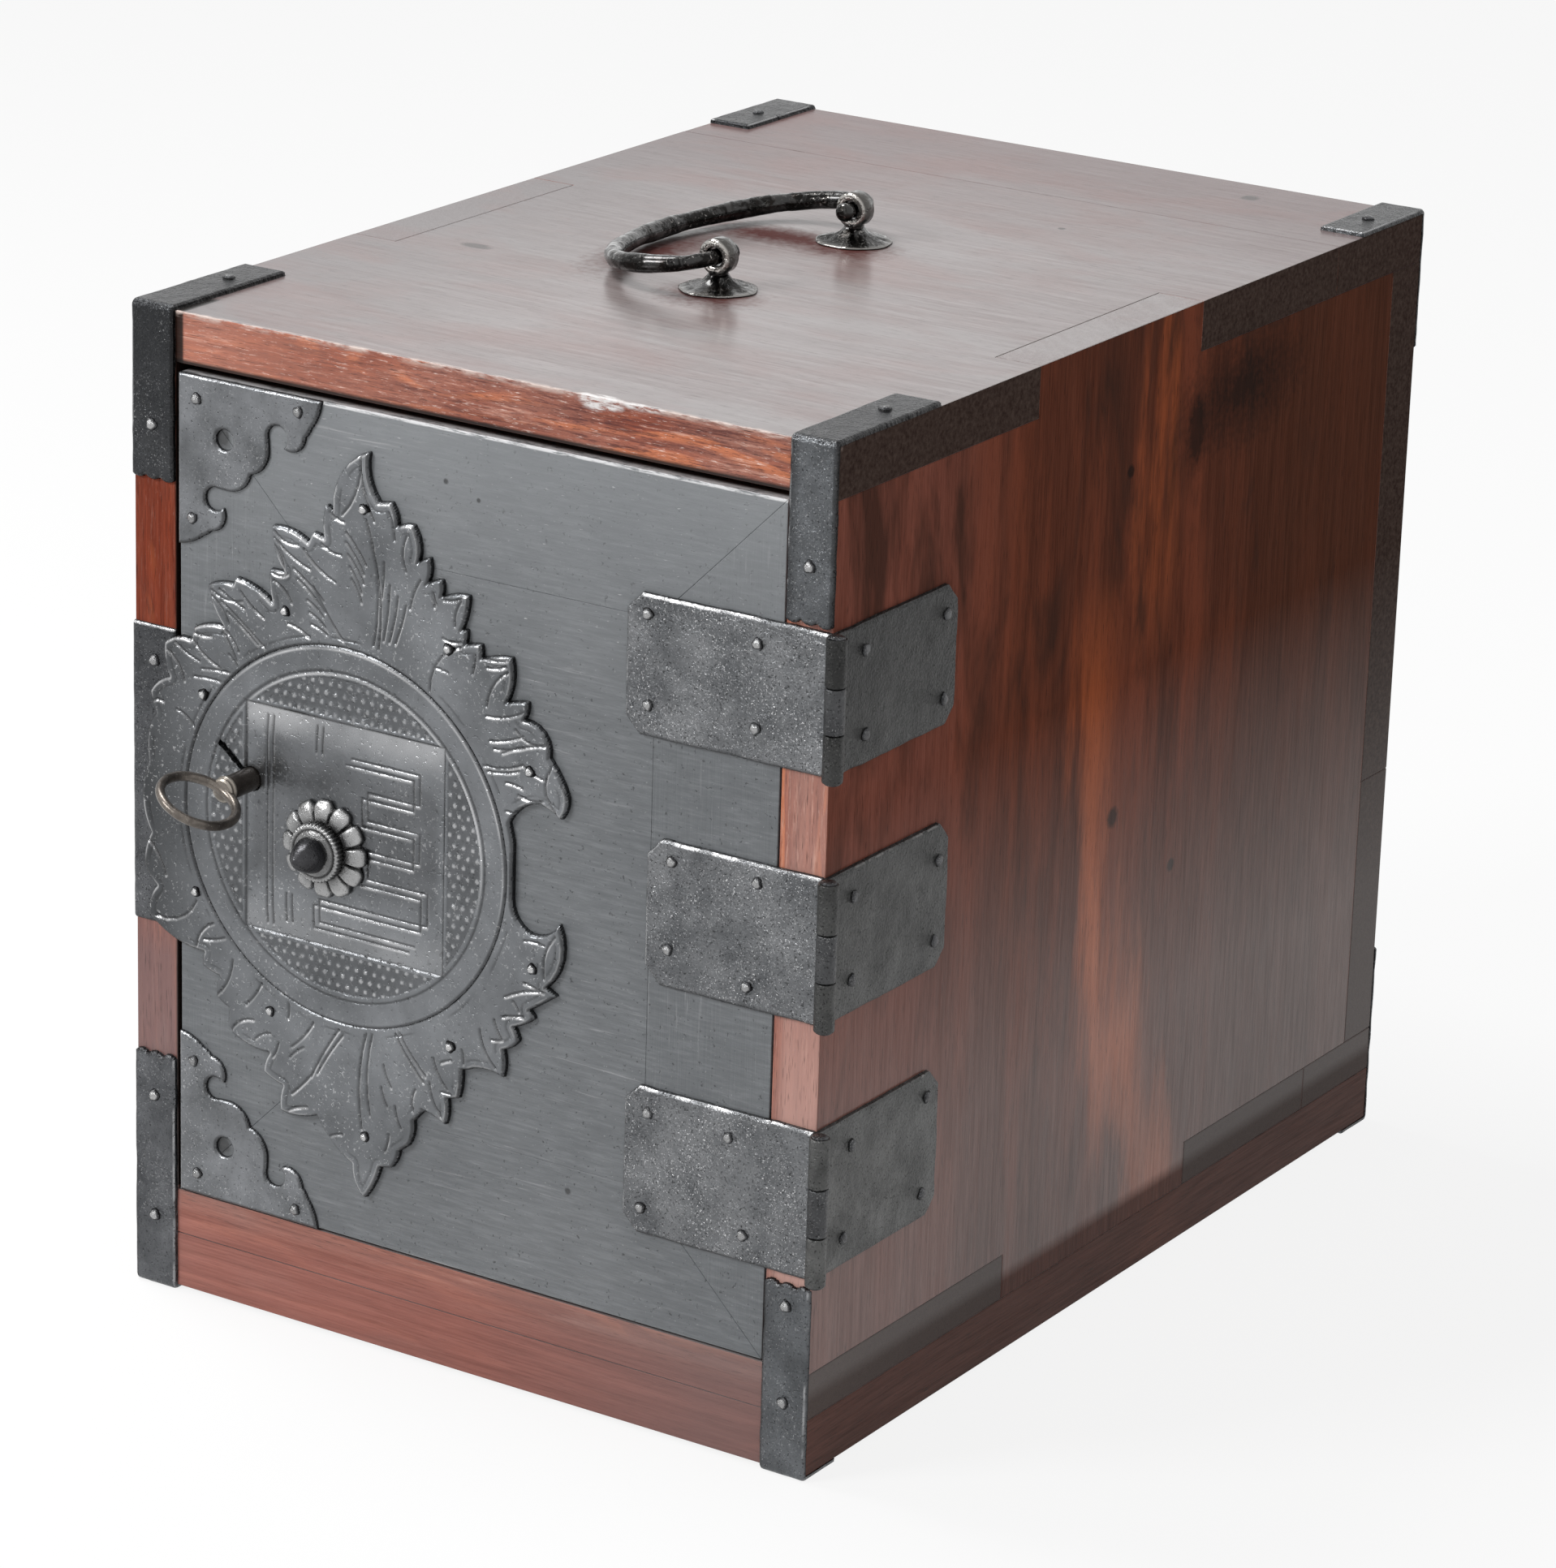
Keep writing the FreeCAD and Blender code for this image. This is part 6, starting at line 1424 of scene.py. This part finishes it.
pin_shell = Shell()
for name, door_leaf, seed in (("top", 98.0, 61), ("middle", 86.0, 71), ("bottom", 94.0, 81)):
    for end, axis in zip(hinge(name, door_leaf, seed), (-1, 1)):
        add_lathe(pin_shell, (PIVOT_X, PIVOT_Y, end - 3 * axis), (0, 0, axis), [0, 2.2, 2.2, 3.5, 3.2, 2.2, 0],
                  [0, 0, 3, 3, 3.6, 4.1, 4.2], 24)
pin_shell.write("hinge_pin_heads", "chest", "nail_iron", NAIL_IRON, ["hinge_pins"])

STRAP_WIDTH, STRAP_THICKNESS = 21.0, 2.0
STRAP_BEND = 0.8


def bent_over(along_start, corner, along_end, bend):
    """Strip carried round one square corner: returns the total length and a function (s, h) -> two parts.
    Each of the three places is a pair; the strip leaves the first, rounds the corner and ends at the third."""
    start, corner, end = (np.array(p, float) for p in (along_start, corner, along_end))
    first, second = corner - start, end - corner
    run, rest = np.linalg.norm(first) - bend, np.linalg.norm(second) - bend
    first, second = first / np.linalg.norm(first), second / np.linalg.norm(second)
    quarter = bend * math.pi / 2

    def place(s, h):
        turn = np.clip((s - run) / quarter, 0, 1) * math.pi / 2
        outward = -np.cos(turn)[..., None] * second + np.sin(turn)[..., None] * first
        middle = corner - first * bend + second * bend
        on_arc = middle + outward * (bend + h)[..., None]
        before = start + first * s[..., None] - second * h[..., None]
        after = corner + second * (bend + s - run - quarter)[..., None] + first * h[..., None]
        return np.where((s < run)[..., None], before, np.where((s > run + quarter)[..., None], after, on_arc))
    return run + quarter + rest, run + quarter / 2, place


def strap_outline(length, seed):
    """Strip with a three-lobed first end and a plain far end, as (u, s) from the lobed end."""
    lobes = [(0.0, 1.6, -0.42), (6.6, 2.2, -0.42), (14.2, 2.0, -0.42), (STRAP_WIDTH, 1.5, 0.0),
             (STRAP_WIDTH, length, 0.0), (0.0, length, 0.0)]
    return wobbled(arc_outline(lobes, 6), 0.20, 8.0, seed)


def strap(shell, x0, side, leaf_end, run_end, edge_z, upward, seed):
    """One strap: side is -1 at the front and 1 at the back, upward 1 on top and -1 under the foot."""
    y_face = FRONT if side < 0 else BACK
    length, fold, place_in_plane = bent_over((y_face, leaf_end), (y_face, edge_z), (run_end, edge_z), STRAP_BEND)
    mirrored = side * upward > 0

    def place(u, s, h):
        spot = place_in_plane(s, h)
        x = x0 + (STRAP_WIDTH - u if mirrored else u)
        return np.stack([x, spot[..., 0], spot[..., 1]], axis=-1)
    fine = fold + np.linspace(-1.2, 1.2, 9)
    height = forged_height(STRAP_THICKNESS, 0.7, seed, 0.10)
    add_relief(shell, [strap_outline(length, seed)], 0.7, height, place, fine_lines=fine)


groups = {
    "front_top_straps": (-1, (357.0, 357.0), -166.0, TOP, 1), "rear_top_straps": (1, (368.0, 368.0), 183.0, TOP, 1),
    "front_foot_straps": (-1, (107.0, 84.5), -217.0, WOOD_FOOT, -1),
    "rear_foot_straps": (1, (86.0, 86.0), 217.0, WOOD_FOOT, -1),
}
for number, (node, (side, leaf_ends, run_end, edge_z, upward)) in enumerate(groups.items()):
    shell = Shell()
    for hand, x0 in enumerate((-HALF_WIDTH, HALF_WIDTH - STRAP_WIDTH)):
        strap(shell, x0, side, leaf_ends[hand], run_end, edge_z, upward, 100 + 10 * number + 5 * hand)
    shell.write(node + "_forged", "chest", "dark_iron", STRAP_IRON, [node])


def make_keeper():
    """Plate bent round the left front edge, seen between the door and the corner."""
    bottom, top = 165.0, 295.0
    length, fold, place_in_plane = bent_over(
        (-HALF_WIDTH, FRONT + 15.0), (-HALF_WIDTH, FRONT), (-148.0, FRONT), 0.8)

    def place(s, z, h):
        spot = place_in_plane(s, h)
        return np.stack([spot[..., 0], spot[..., 1], z], axis=-1)
    outline = np.array([(0, bottom), (length, bottom), (length, top), (0, top)], float)
    shell = Shell()
    add_relief(shell, [wobbled(outline, 0.15, 9.0, 91)], 0.7, forged_height(1.2, 0.5, 91, 0.06, crest=top), place,
               fine_rows=fold + np.linspace(-1.2, 1.2, 9))
    shell.write("keeper_plate_forged", "chest", "dark_iron", STRAP_IRON, ["keeper_plate"])


make_keeper()

# ---------------------------------------------------------------- nails and rivets


def solids_of(node):
    """Vertices of each separate solid of a CAD node, in millimetres."""
    work = bmesh.new()
    work.from_mesh(frame["nodes"][node].data)
    bmesh.ops.remove_doubles(work, verts=work.verts, dist=2e-6)
    found, seen = [], set()
    for vertex in work.verts:
        if vertex.index in seen:
            continue
        seen.add(vertex.index)
        waiting, island = [vertex], []
        while waiting:
            here = waiting.pop()
            island.append(np.array(here.co) / MM)
            for edge in here.link_edges:
                other = edge.other_vert(here)
                if other.index not in seen:
                    seen.add(other.index)
                    waiting.append(other)
        found.append(np.array(island))
    work.free()
    return found


def nail_heads(node, body, name, material, slot, radius, rise, bright):
    """Lumpy domed heads on the places of the CAD nails, with the start of each shank."""
    shell = Shell()
    for number, solid in enumerate(solids_of(node)):
        low, high = solid.min(0), solid.max(0)
        axis = int((high - low).argmax())
        wide = [solid[np.abs(solid[:, axis] - end) < 2.5] for end in (low[axis], high[axis])]
        spread = [np.ptp(part, axis=0).sum() for part in wide]
        outward = np.zeros(3)
        outward[axis] = -1 if spread[0] > spread[1] else 1
        tip = low[axis] if outward[axis] < 0 else high[axis]
        middle = (low + high) / 2
        foot = middle.copy()
        foot[axis] = tip - outward[axis] * rise
        share = np.linspace(0, 1, 6)
        radii = np.concatenate([[0, 1.3, 1.3, radius + 0.7], radius * np.array([0.98, 1.0]),
                                radius * np.cos(share * math.pi / 2)[1:]])
        radii[-1] = 0
        heights = np.concatenate([
            [-6, -6, -0.2, -0.2, 0.3, 0.5], 0.5 + (rise - 0.5) * np.sin(share * math.pi / 2)[1:]])
        phase = 1.7 * number
        # crown: a painted glint on each head, much fainter on nails that point sideways; the dark rows round the foot
        # of the head are dirt and painted shadow.
        crown = bright * (0.12 + 0.88 * math.cos(3.1 * number) ** 2) * (1.0 if axis == 1 else 0.25)
        worn = np.concatenate([np.zeros(8), np.full(3, crown)])
        soot = np.concatenate([np.ones(5), [0.5], np.zeros(5)])

        def lumpy(angle, reach, lift):
            facet = 0.08 * np.cos(3 * angle + phase) + 0.06 * np.cos(5 * angle - 2 * phase)
            wide_part = np.clip(reach / radius, 0, 1)
            flatter = 1 - 0.22 * np.clip(np.cos(angle - phase), 0, 1) * wide_part
            return reach * np.where(lift >= -0.2, 1 + facet - 0.06, 1), np.where(lift > 0.4, lift * flatter, lift)
        add_lathe(shell, foot, outward, radii, heights, 16, lumpy, worn=worn, soot=soot)
    shell.write(name, body, slot, material, [node])


nail_heads("carcass_nails", "chest", "carcass_nail_heads", NAIL_IRON, "nail_iron", 2.8, 1.9, 0.45)
nail_heads("door_nails", "door", "door_nail_heads", NAIL_IRON, "nail_iron", 2.6, 1.9, 0.40)
nail_heads("lock_plate_rivets", "door", "lock_rivet_heads", NAIL_IRON, "nail_iron", 2.2, 1.8, 0.65)

# ---------------------------------------------------------------- knob, key

PLATE_FACE = FRONT - LOCK_PLATE_THICKNESS


def make_knob():
    """Twelve-petalled rosette, milled collar and pointed boss, all about one axis."""
    base = (KNOB_X, PLATE_FACE, KNOB_Z)
    petals = 12

    def petalled(angle, reach, lift):
        valley = np.abs(np.sin(petals / 2 * angle))
        outer = smooth_step(reach, 12.0, 20.0)
        seam = valley ** 50 * smooth_step(reach, 11.0, 12.5)
        spoon = 0.10 * (1 - valley ** 2) * smooth_step(reach, 11, 15) * (1 - smooth_step(reach, 17, 20))
        return reach * (1 - 0.12 * valley ** 8 * outer ** 2), lift * (1 - 0.60 * seam + spoon)
    turn = 2 * math.pi * np.arange(288) / 288
    gaps = np.abs(np.sin(petals / 2 * turn)) ** 44
    rows = np.array([1, 1, 0.9, 0.3, 0, 0, 0, 0, 0.15, 0.7, 1, 1])[:, None]
    shell = Shell()
    add_lathe(shell, base, (0, -1, 0), [0, 20.4, 21.0, 21.0, 20.6, 19.6, 18.2, 16.2, 14.2, 12.6, 11.0, 0],
              [0, 0, 0.6, 1.5, 2.5, 3.3, 3.8, 4.2, 4.4, 4.4, 4.9, 5.0], 288, petalled,
              worn=np.array([0, 0, 0, 0, 0.25, 0.35, 0.3, 0.2, 0.1, 0, 0, 0])[:, None] * (1 - gaps),
              soot=np.maximum(rows, 0.85 * gaps))
    shell.write("knob_rosette_petals", "door", "knob_metal", ROSETTE_IRON, ["knob_rosette"])

    def milled(angle, reach, lift):
        return reach * (1 + 0.030 * np.cos(44 * angle) * (reach > 11.4)), lift
    shell = Shell()
    add_lathe(shell, (KNOB_X, PLATE_FACE - 5.0, KNOB_Z), (0, -1, 0),
              [0, 12.0, 12.35, 12.35, 11.9, 10.9, 10.3, 9.9, 9.4, 0],
              [0, 0, 0.4, 3.0, 4.1, 4.5, 3.9, 3.9, 4.5, 4.5], 264, milled,
              worn=[0, 0, 0, 0.1, 0.35, 0.15, 0, 0, 0.1, 0],
              soot=[1, 1, 0.8, 0.45, 0.1, 0.2, 0.9, 0.9, 0.3, 0.8])
    shell.write("knob_collar_milled", "door", "knob_metal", ROSETTE_IRON, ["knob_collar"])
    shell = Shell()
    share = np.linspace(0, 1, 12)
    dome_radii = 7.6 * (1 - share ** 1.75) ** 0.8
    dome_radii[-1] = 0

    def faceted(angle, reach, lift):
        return reach * (1 + 0.015 * np.cos(6 * angle)), lift
    add_lathe(shell, (KNOB_X, PLATE_FACE - 9.5, KNOB_Z), (0, -1, 0), np.concatenate([[0, 7.0], dome_radii]),
              np.concatenate([[0, 0], 1.2 + 12.3 * share]), 48, faceted)
    back = corners_mm("pull_knob")[1][1]
    add_lathe(shell, (KNOB_X, PLATE_FACE, KNOB_Z), (0, 1, 0), [0, 3.0, 3.0, 7.0, 7.0, 6.0, 0],
              [0, 0, back - PLATE_FACE - 1.5, back - PLATE_FACE - 1.5, back - PLATE_FACE - 0.4, back - PLATE_FACE,
               back - PLATE_FACE], 40)
    shell.write("pull_knob_boss", "door", "knob_metal", KNOB_IRON, ["pull_knob"])


make_knob()


def make_key():
    """Shank with double collar, ring bow and the flat bit behind the door."""
    face, end = -261.5, -211.9
    shell = Shell()
    profile = [(0, 0), (3.6, 0), (4.7, 0.3), (5.3, 1.0), (4.9, 1.6), (4.4, 1.9), (5.2, 2.2), (5.7, 3.1), (5.3, 4.0),
               (4.6, 4.4), (4.9, 5.0), (5.0, 6.0), (5.0, end - face - 0.4), (4.6, end - face), (0, end - face)]
    radii, heights = zip(*profile)
    rubbed = [0, 0.2, 0.5, 0.7, 0.3, 0, 0.4, 0.7, 0.3, 0, 0, 0, 0, 0, 0]
    dirt_and_shade = [0, 0, 0, 0, 0.3, 0.9, 0.2, 0, 0.3, 0.9, 0.7, 0.6, 0.6, 0, 0]
    add_lathe(shell, (KEY_X, face, KEY_Z), (0, 1, 0), radii, heights, 48, worn=rubbed, soot=dirt_and_shade)
    turn = math.radians(156.0)
    across = np.array([math.cos(turn), 0, math.sin(turn)])
    angle = np.linspace(0, 2 * math.pi, 97)[:-1]
    path = np.array([KEY_X, face - 15.1, KEY_Z]) + 16.2 * (
        np.cos(angle)[:, None] * np.array([0, -1, 0]) + np.sin(angle)[:, None] * across)
    add_tube(shell, path, 2.05 + 0.1 * np.cos(angle + math.pi), 20, closed=True, lumps=0.05)
    along = np.array([math.cos(SLIT_ANGLE), 0, math.sin(SLIT_ANGLE)])
    side = np.array([-along[2], 0, along[0]])
    block = np.array([[u, v, w] for u in (0, 1) for v in (-1, 1) for w in (0, 1)], float)
    corners = (np.array([KEY_X, end, KEY_Z]) + block[:, :1] * 18.5 * along + block[:, 1:2] * 1.0 * side
               - block[:, 2:] * np.array([0, 5.0, 0]))
    faces = np.array([(0, 1, 3, 2), (4, 6, 7, 5), (0, 4, 5, 1), (2, 3, 7, 6), (0, 2, 6, 4), (1, 5, 7, 3)])
    shell.add(corners, faces)
    shell.write("key_turned", "key", "key_brass", KEY_BRASS, ["key"])


make_key()

# ---------------------------------------------------------------- handle

AXIS_Z = TOP + 14.2
BAIL_HALF_WIDTH, BAIL_REACH, BAIL_CORNER = 72.0, 66.0, 36.0
BAIL_TURN = math.radians(62.0)
TIP_LENGTH, TIP_GAP = 6.0, 1.5
BAIL_ELBOW = BAIL_HALF_WIDTH - EYE_SPACING / 2 - EYE_WIDTH / 2 - TIP_GAP
BAIL_LIE = math.asin((14.2 - 4.5 - 0.3) / BAIL_REACH)


def make_bail():
    """Round-cornered bail: elbow, straight, corner and shallow back, mirrored about its middle."""
    rest = math.pi / 2 - BAIL_TURN
    side_room = BAIL_HALF_WIDTH - BAIL_CORNER + BAIL_CORNER * math.cos(BAIL_TURN)
    back = side_room / math.sin(rest)
    corner_reach = BAIL_REACH - back * (1 - math.cos(rest)) - BAIL_CORNER * math.sin(BAIL_TURN)
    pin_end = EYE_SPACING / 2 - EYE_WIDTH / 2 - TIP_GAP - TIP_LENGTH
    spots = [(0.0, pin_end + step) for step in np.arange(0, BAIL_HALF_WIDTH - BAIL_ELBOW - pin_end, 0.6)]
    for angle in np.linspace(0, math.pi / 2, 9):
        spots.append((BAIL_ELBOW * (1 - math.cos(angle)), BAIL_HALF_WIDTH - BAIL_ELBOW * (1 - math.sin(angle))))
    for angle in np.linspace(0, BAIL_TURN, 16):
        spots.append((corner_reach + BAIL_CORNER * math.sin(angle),
                      BAIL_HALF_WIDTH - BAIL_CORNER + BAIL_CORNER * math.cos(angle)))
    for angle in np.linspace(rest, 0, 16)[1:]:
        spots.append((BAIL_REACH - back + back * math.cos(angle), back * math.sin(angle)))
    half = np.array(spots)
    whole = np.concatenate([half, (half * [1, -1])[-2::-1]])
    out = np.array([-math.cos(BAIL_LIE), 0, -math.sin(BAIL_LIE)])
    path = np.array([HANDLE_X, HANDLE_Y, AXIS_Z]) + whole[:, :1] * out + whole[:, 1:] * np.array([0, 1, 0])
    inward = np.abs(whole[:, 1])
    radius = 3.2 + 0.85 * smooth_step(whole[:, 0], 1.5, 26.0) + 0.2 * np.sin(0.16 * inward + 1.0)
    share = (inward - pin_end) / TIP_LENGTH
    ball = 4.25 * np.sqrt(np.clip(1 - (2 * share - 1) ** 2, 0.1, 1))
    radius = np.where((whole[:, 0] == 0) & (share < 0.93), ball, radius)
    shell = Shell()
    add_tube(shell, path, radius, 28, lumps=0.16, seed=7)
    shell.write("handle_bail_forged", "handle", "handle_iron", HANDLE_IRON, ["handle_bail"])


make_bail()


def make_eyes():
    """Rolled loops that hold the bail, each on its domed plate."""
    plates, loops = Shell(), Shell()
    for number, y in enumerate((HANDLE_Y - EYE_SPACING / 2, HANDLE_Y + EYE_SPACING / 2)):
        def uneven(angle, reach, lift, number=number):
            rim = 1 + 0.022 * np.cos(3 * angle + number) + 0.016 * np.cos(7 * angle + 2 * number) - 0.03
            dents = 0.30 * roughness_field(
                reach * np.cos(angle) + 40, reach * np.sin(angle) + 40, 3.2, 15 + number, 3)
            return reach * rim, lift + np.where(lift > 0.9, dents, 0)

        def rolled(angle, reach, lift, number=number):
            rough = roughness_field(
                5 * np.cos(angle) + lift * 0.4 + 70, 5 * np.sin(angle) + 70, 3.0, 25 + number, 2)
            return reach + np.where(reach > 5, 0.22 * rough, 0), lift
        add_lathe(plates, (HANDLE_X, y, TOP), (0, 0, 1),
                  [0, 16.3, 17.0, 16.9, 15.8, 13.6, 11.0, 8.6, 6.6, 5.2, 4.6, 0],
                  [0, 0, 0.25, 0.7, 0.95, 1.35, 2.0, 3.0, 4.2, 5.6, 6.6, 6.8], 72, uneven,
                  worn=[0, 0, 0.1, 0.35, 0.15, 0, 0, 0, 0, 0, 0, 0],
                  soot=[1, 1, 0.9, 0.2, 0, 0, 0, 0, 0, 0, 0.3, 0.3])
        half = EYE_WIDTH / 2
        add_lathe(loops, (HANDLE_X, y, AXIS_Z), (0, 1, 0), [4.2, 4.4, 6.9, 7.5, 7.5, 6.9, 4.4, 4.2],
                  [-half + 0.3, -half, -half, -half + 0.6, half - 0.6, half, half, half - 0.3], 56, rolled, True,
                  worn=[0, 0.55, 0.5, 0.1, 0.1, 0.5, 0.55, 0], soot=[1, 0, 0, 0, 0, 0, 0, 1])
        share = np.linspace(0, 1, 9)
        neck = np.array([HANDLE_X, y, TOP + 3.0]) + share[:, None] * np.array([0, 0, AXIS_Z - TOP - 9.0])
        add_tube(loops, neck, 5.0 - 1.5 * share + 0.9 * share ** 4, 20, lumps=0.14)
        add_tube(loops, [(HANDLE_X, y, CEILING - 2.4), (HANDLE_X, y, TOP + 3.0)], 2.4, 20)
        add_tube(loops, [(HANDLE_X - 9, y, CEILING - 1.2), (HANDLE_X + 9, y, CEILING - 1.2)], 1.2, 12)
    plates.write("handle_escutcheons_domed", "chest", "handle_iron", HANDLE_IRON, ["handle_escutcheons"])
    loops.write("handle_eyes_rolled", "chest", "handle_iron", HANDLE_IRON, ["handle_eyes"])


make_eyes()

# ---------------------------------------------------------------- drawer pulls

for row in ("top", "middle", "bottom"):
    low, high = corners_mm("drawer_pull_" + row)
    middle_z = (low[2] + high[2]) / 2
    face = corners_mm("drawer_front_" + row)[0][1]
    shell = Shell()
    add_lathe(shell, (0, high[1], middle_z), (0, -1, 0),
              [0, 5.0, 5.0, 3.0, 3.0, 5.6, 5.3, 3.9, 3.8, 5.2, 7.2, 8.0, 7.9, 6.9, 5.0, 2.6, 0],
              high[1] - face + np.array([face - high[1], face - high[1], face - high[1] + 1.5, face - high[1] + 1.5,
                                         -0.2, 0, 0.6, 3.2, 5.0, 7.2, 8.4, 9.6, 10.8, 12.0, 12.7, 12.95, 13.0]), 48)
    shell.write("drawer_pull_%s_turned" % row, "drawer_" + row, "knob_metal", KNOB_IRON, ["drawer_pull_" + row])
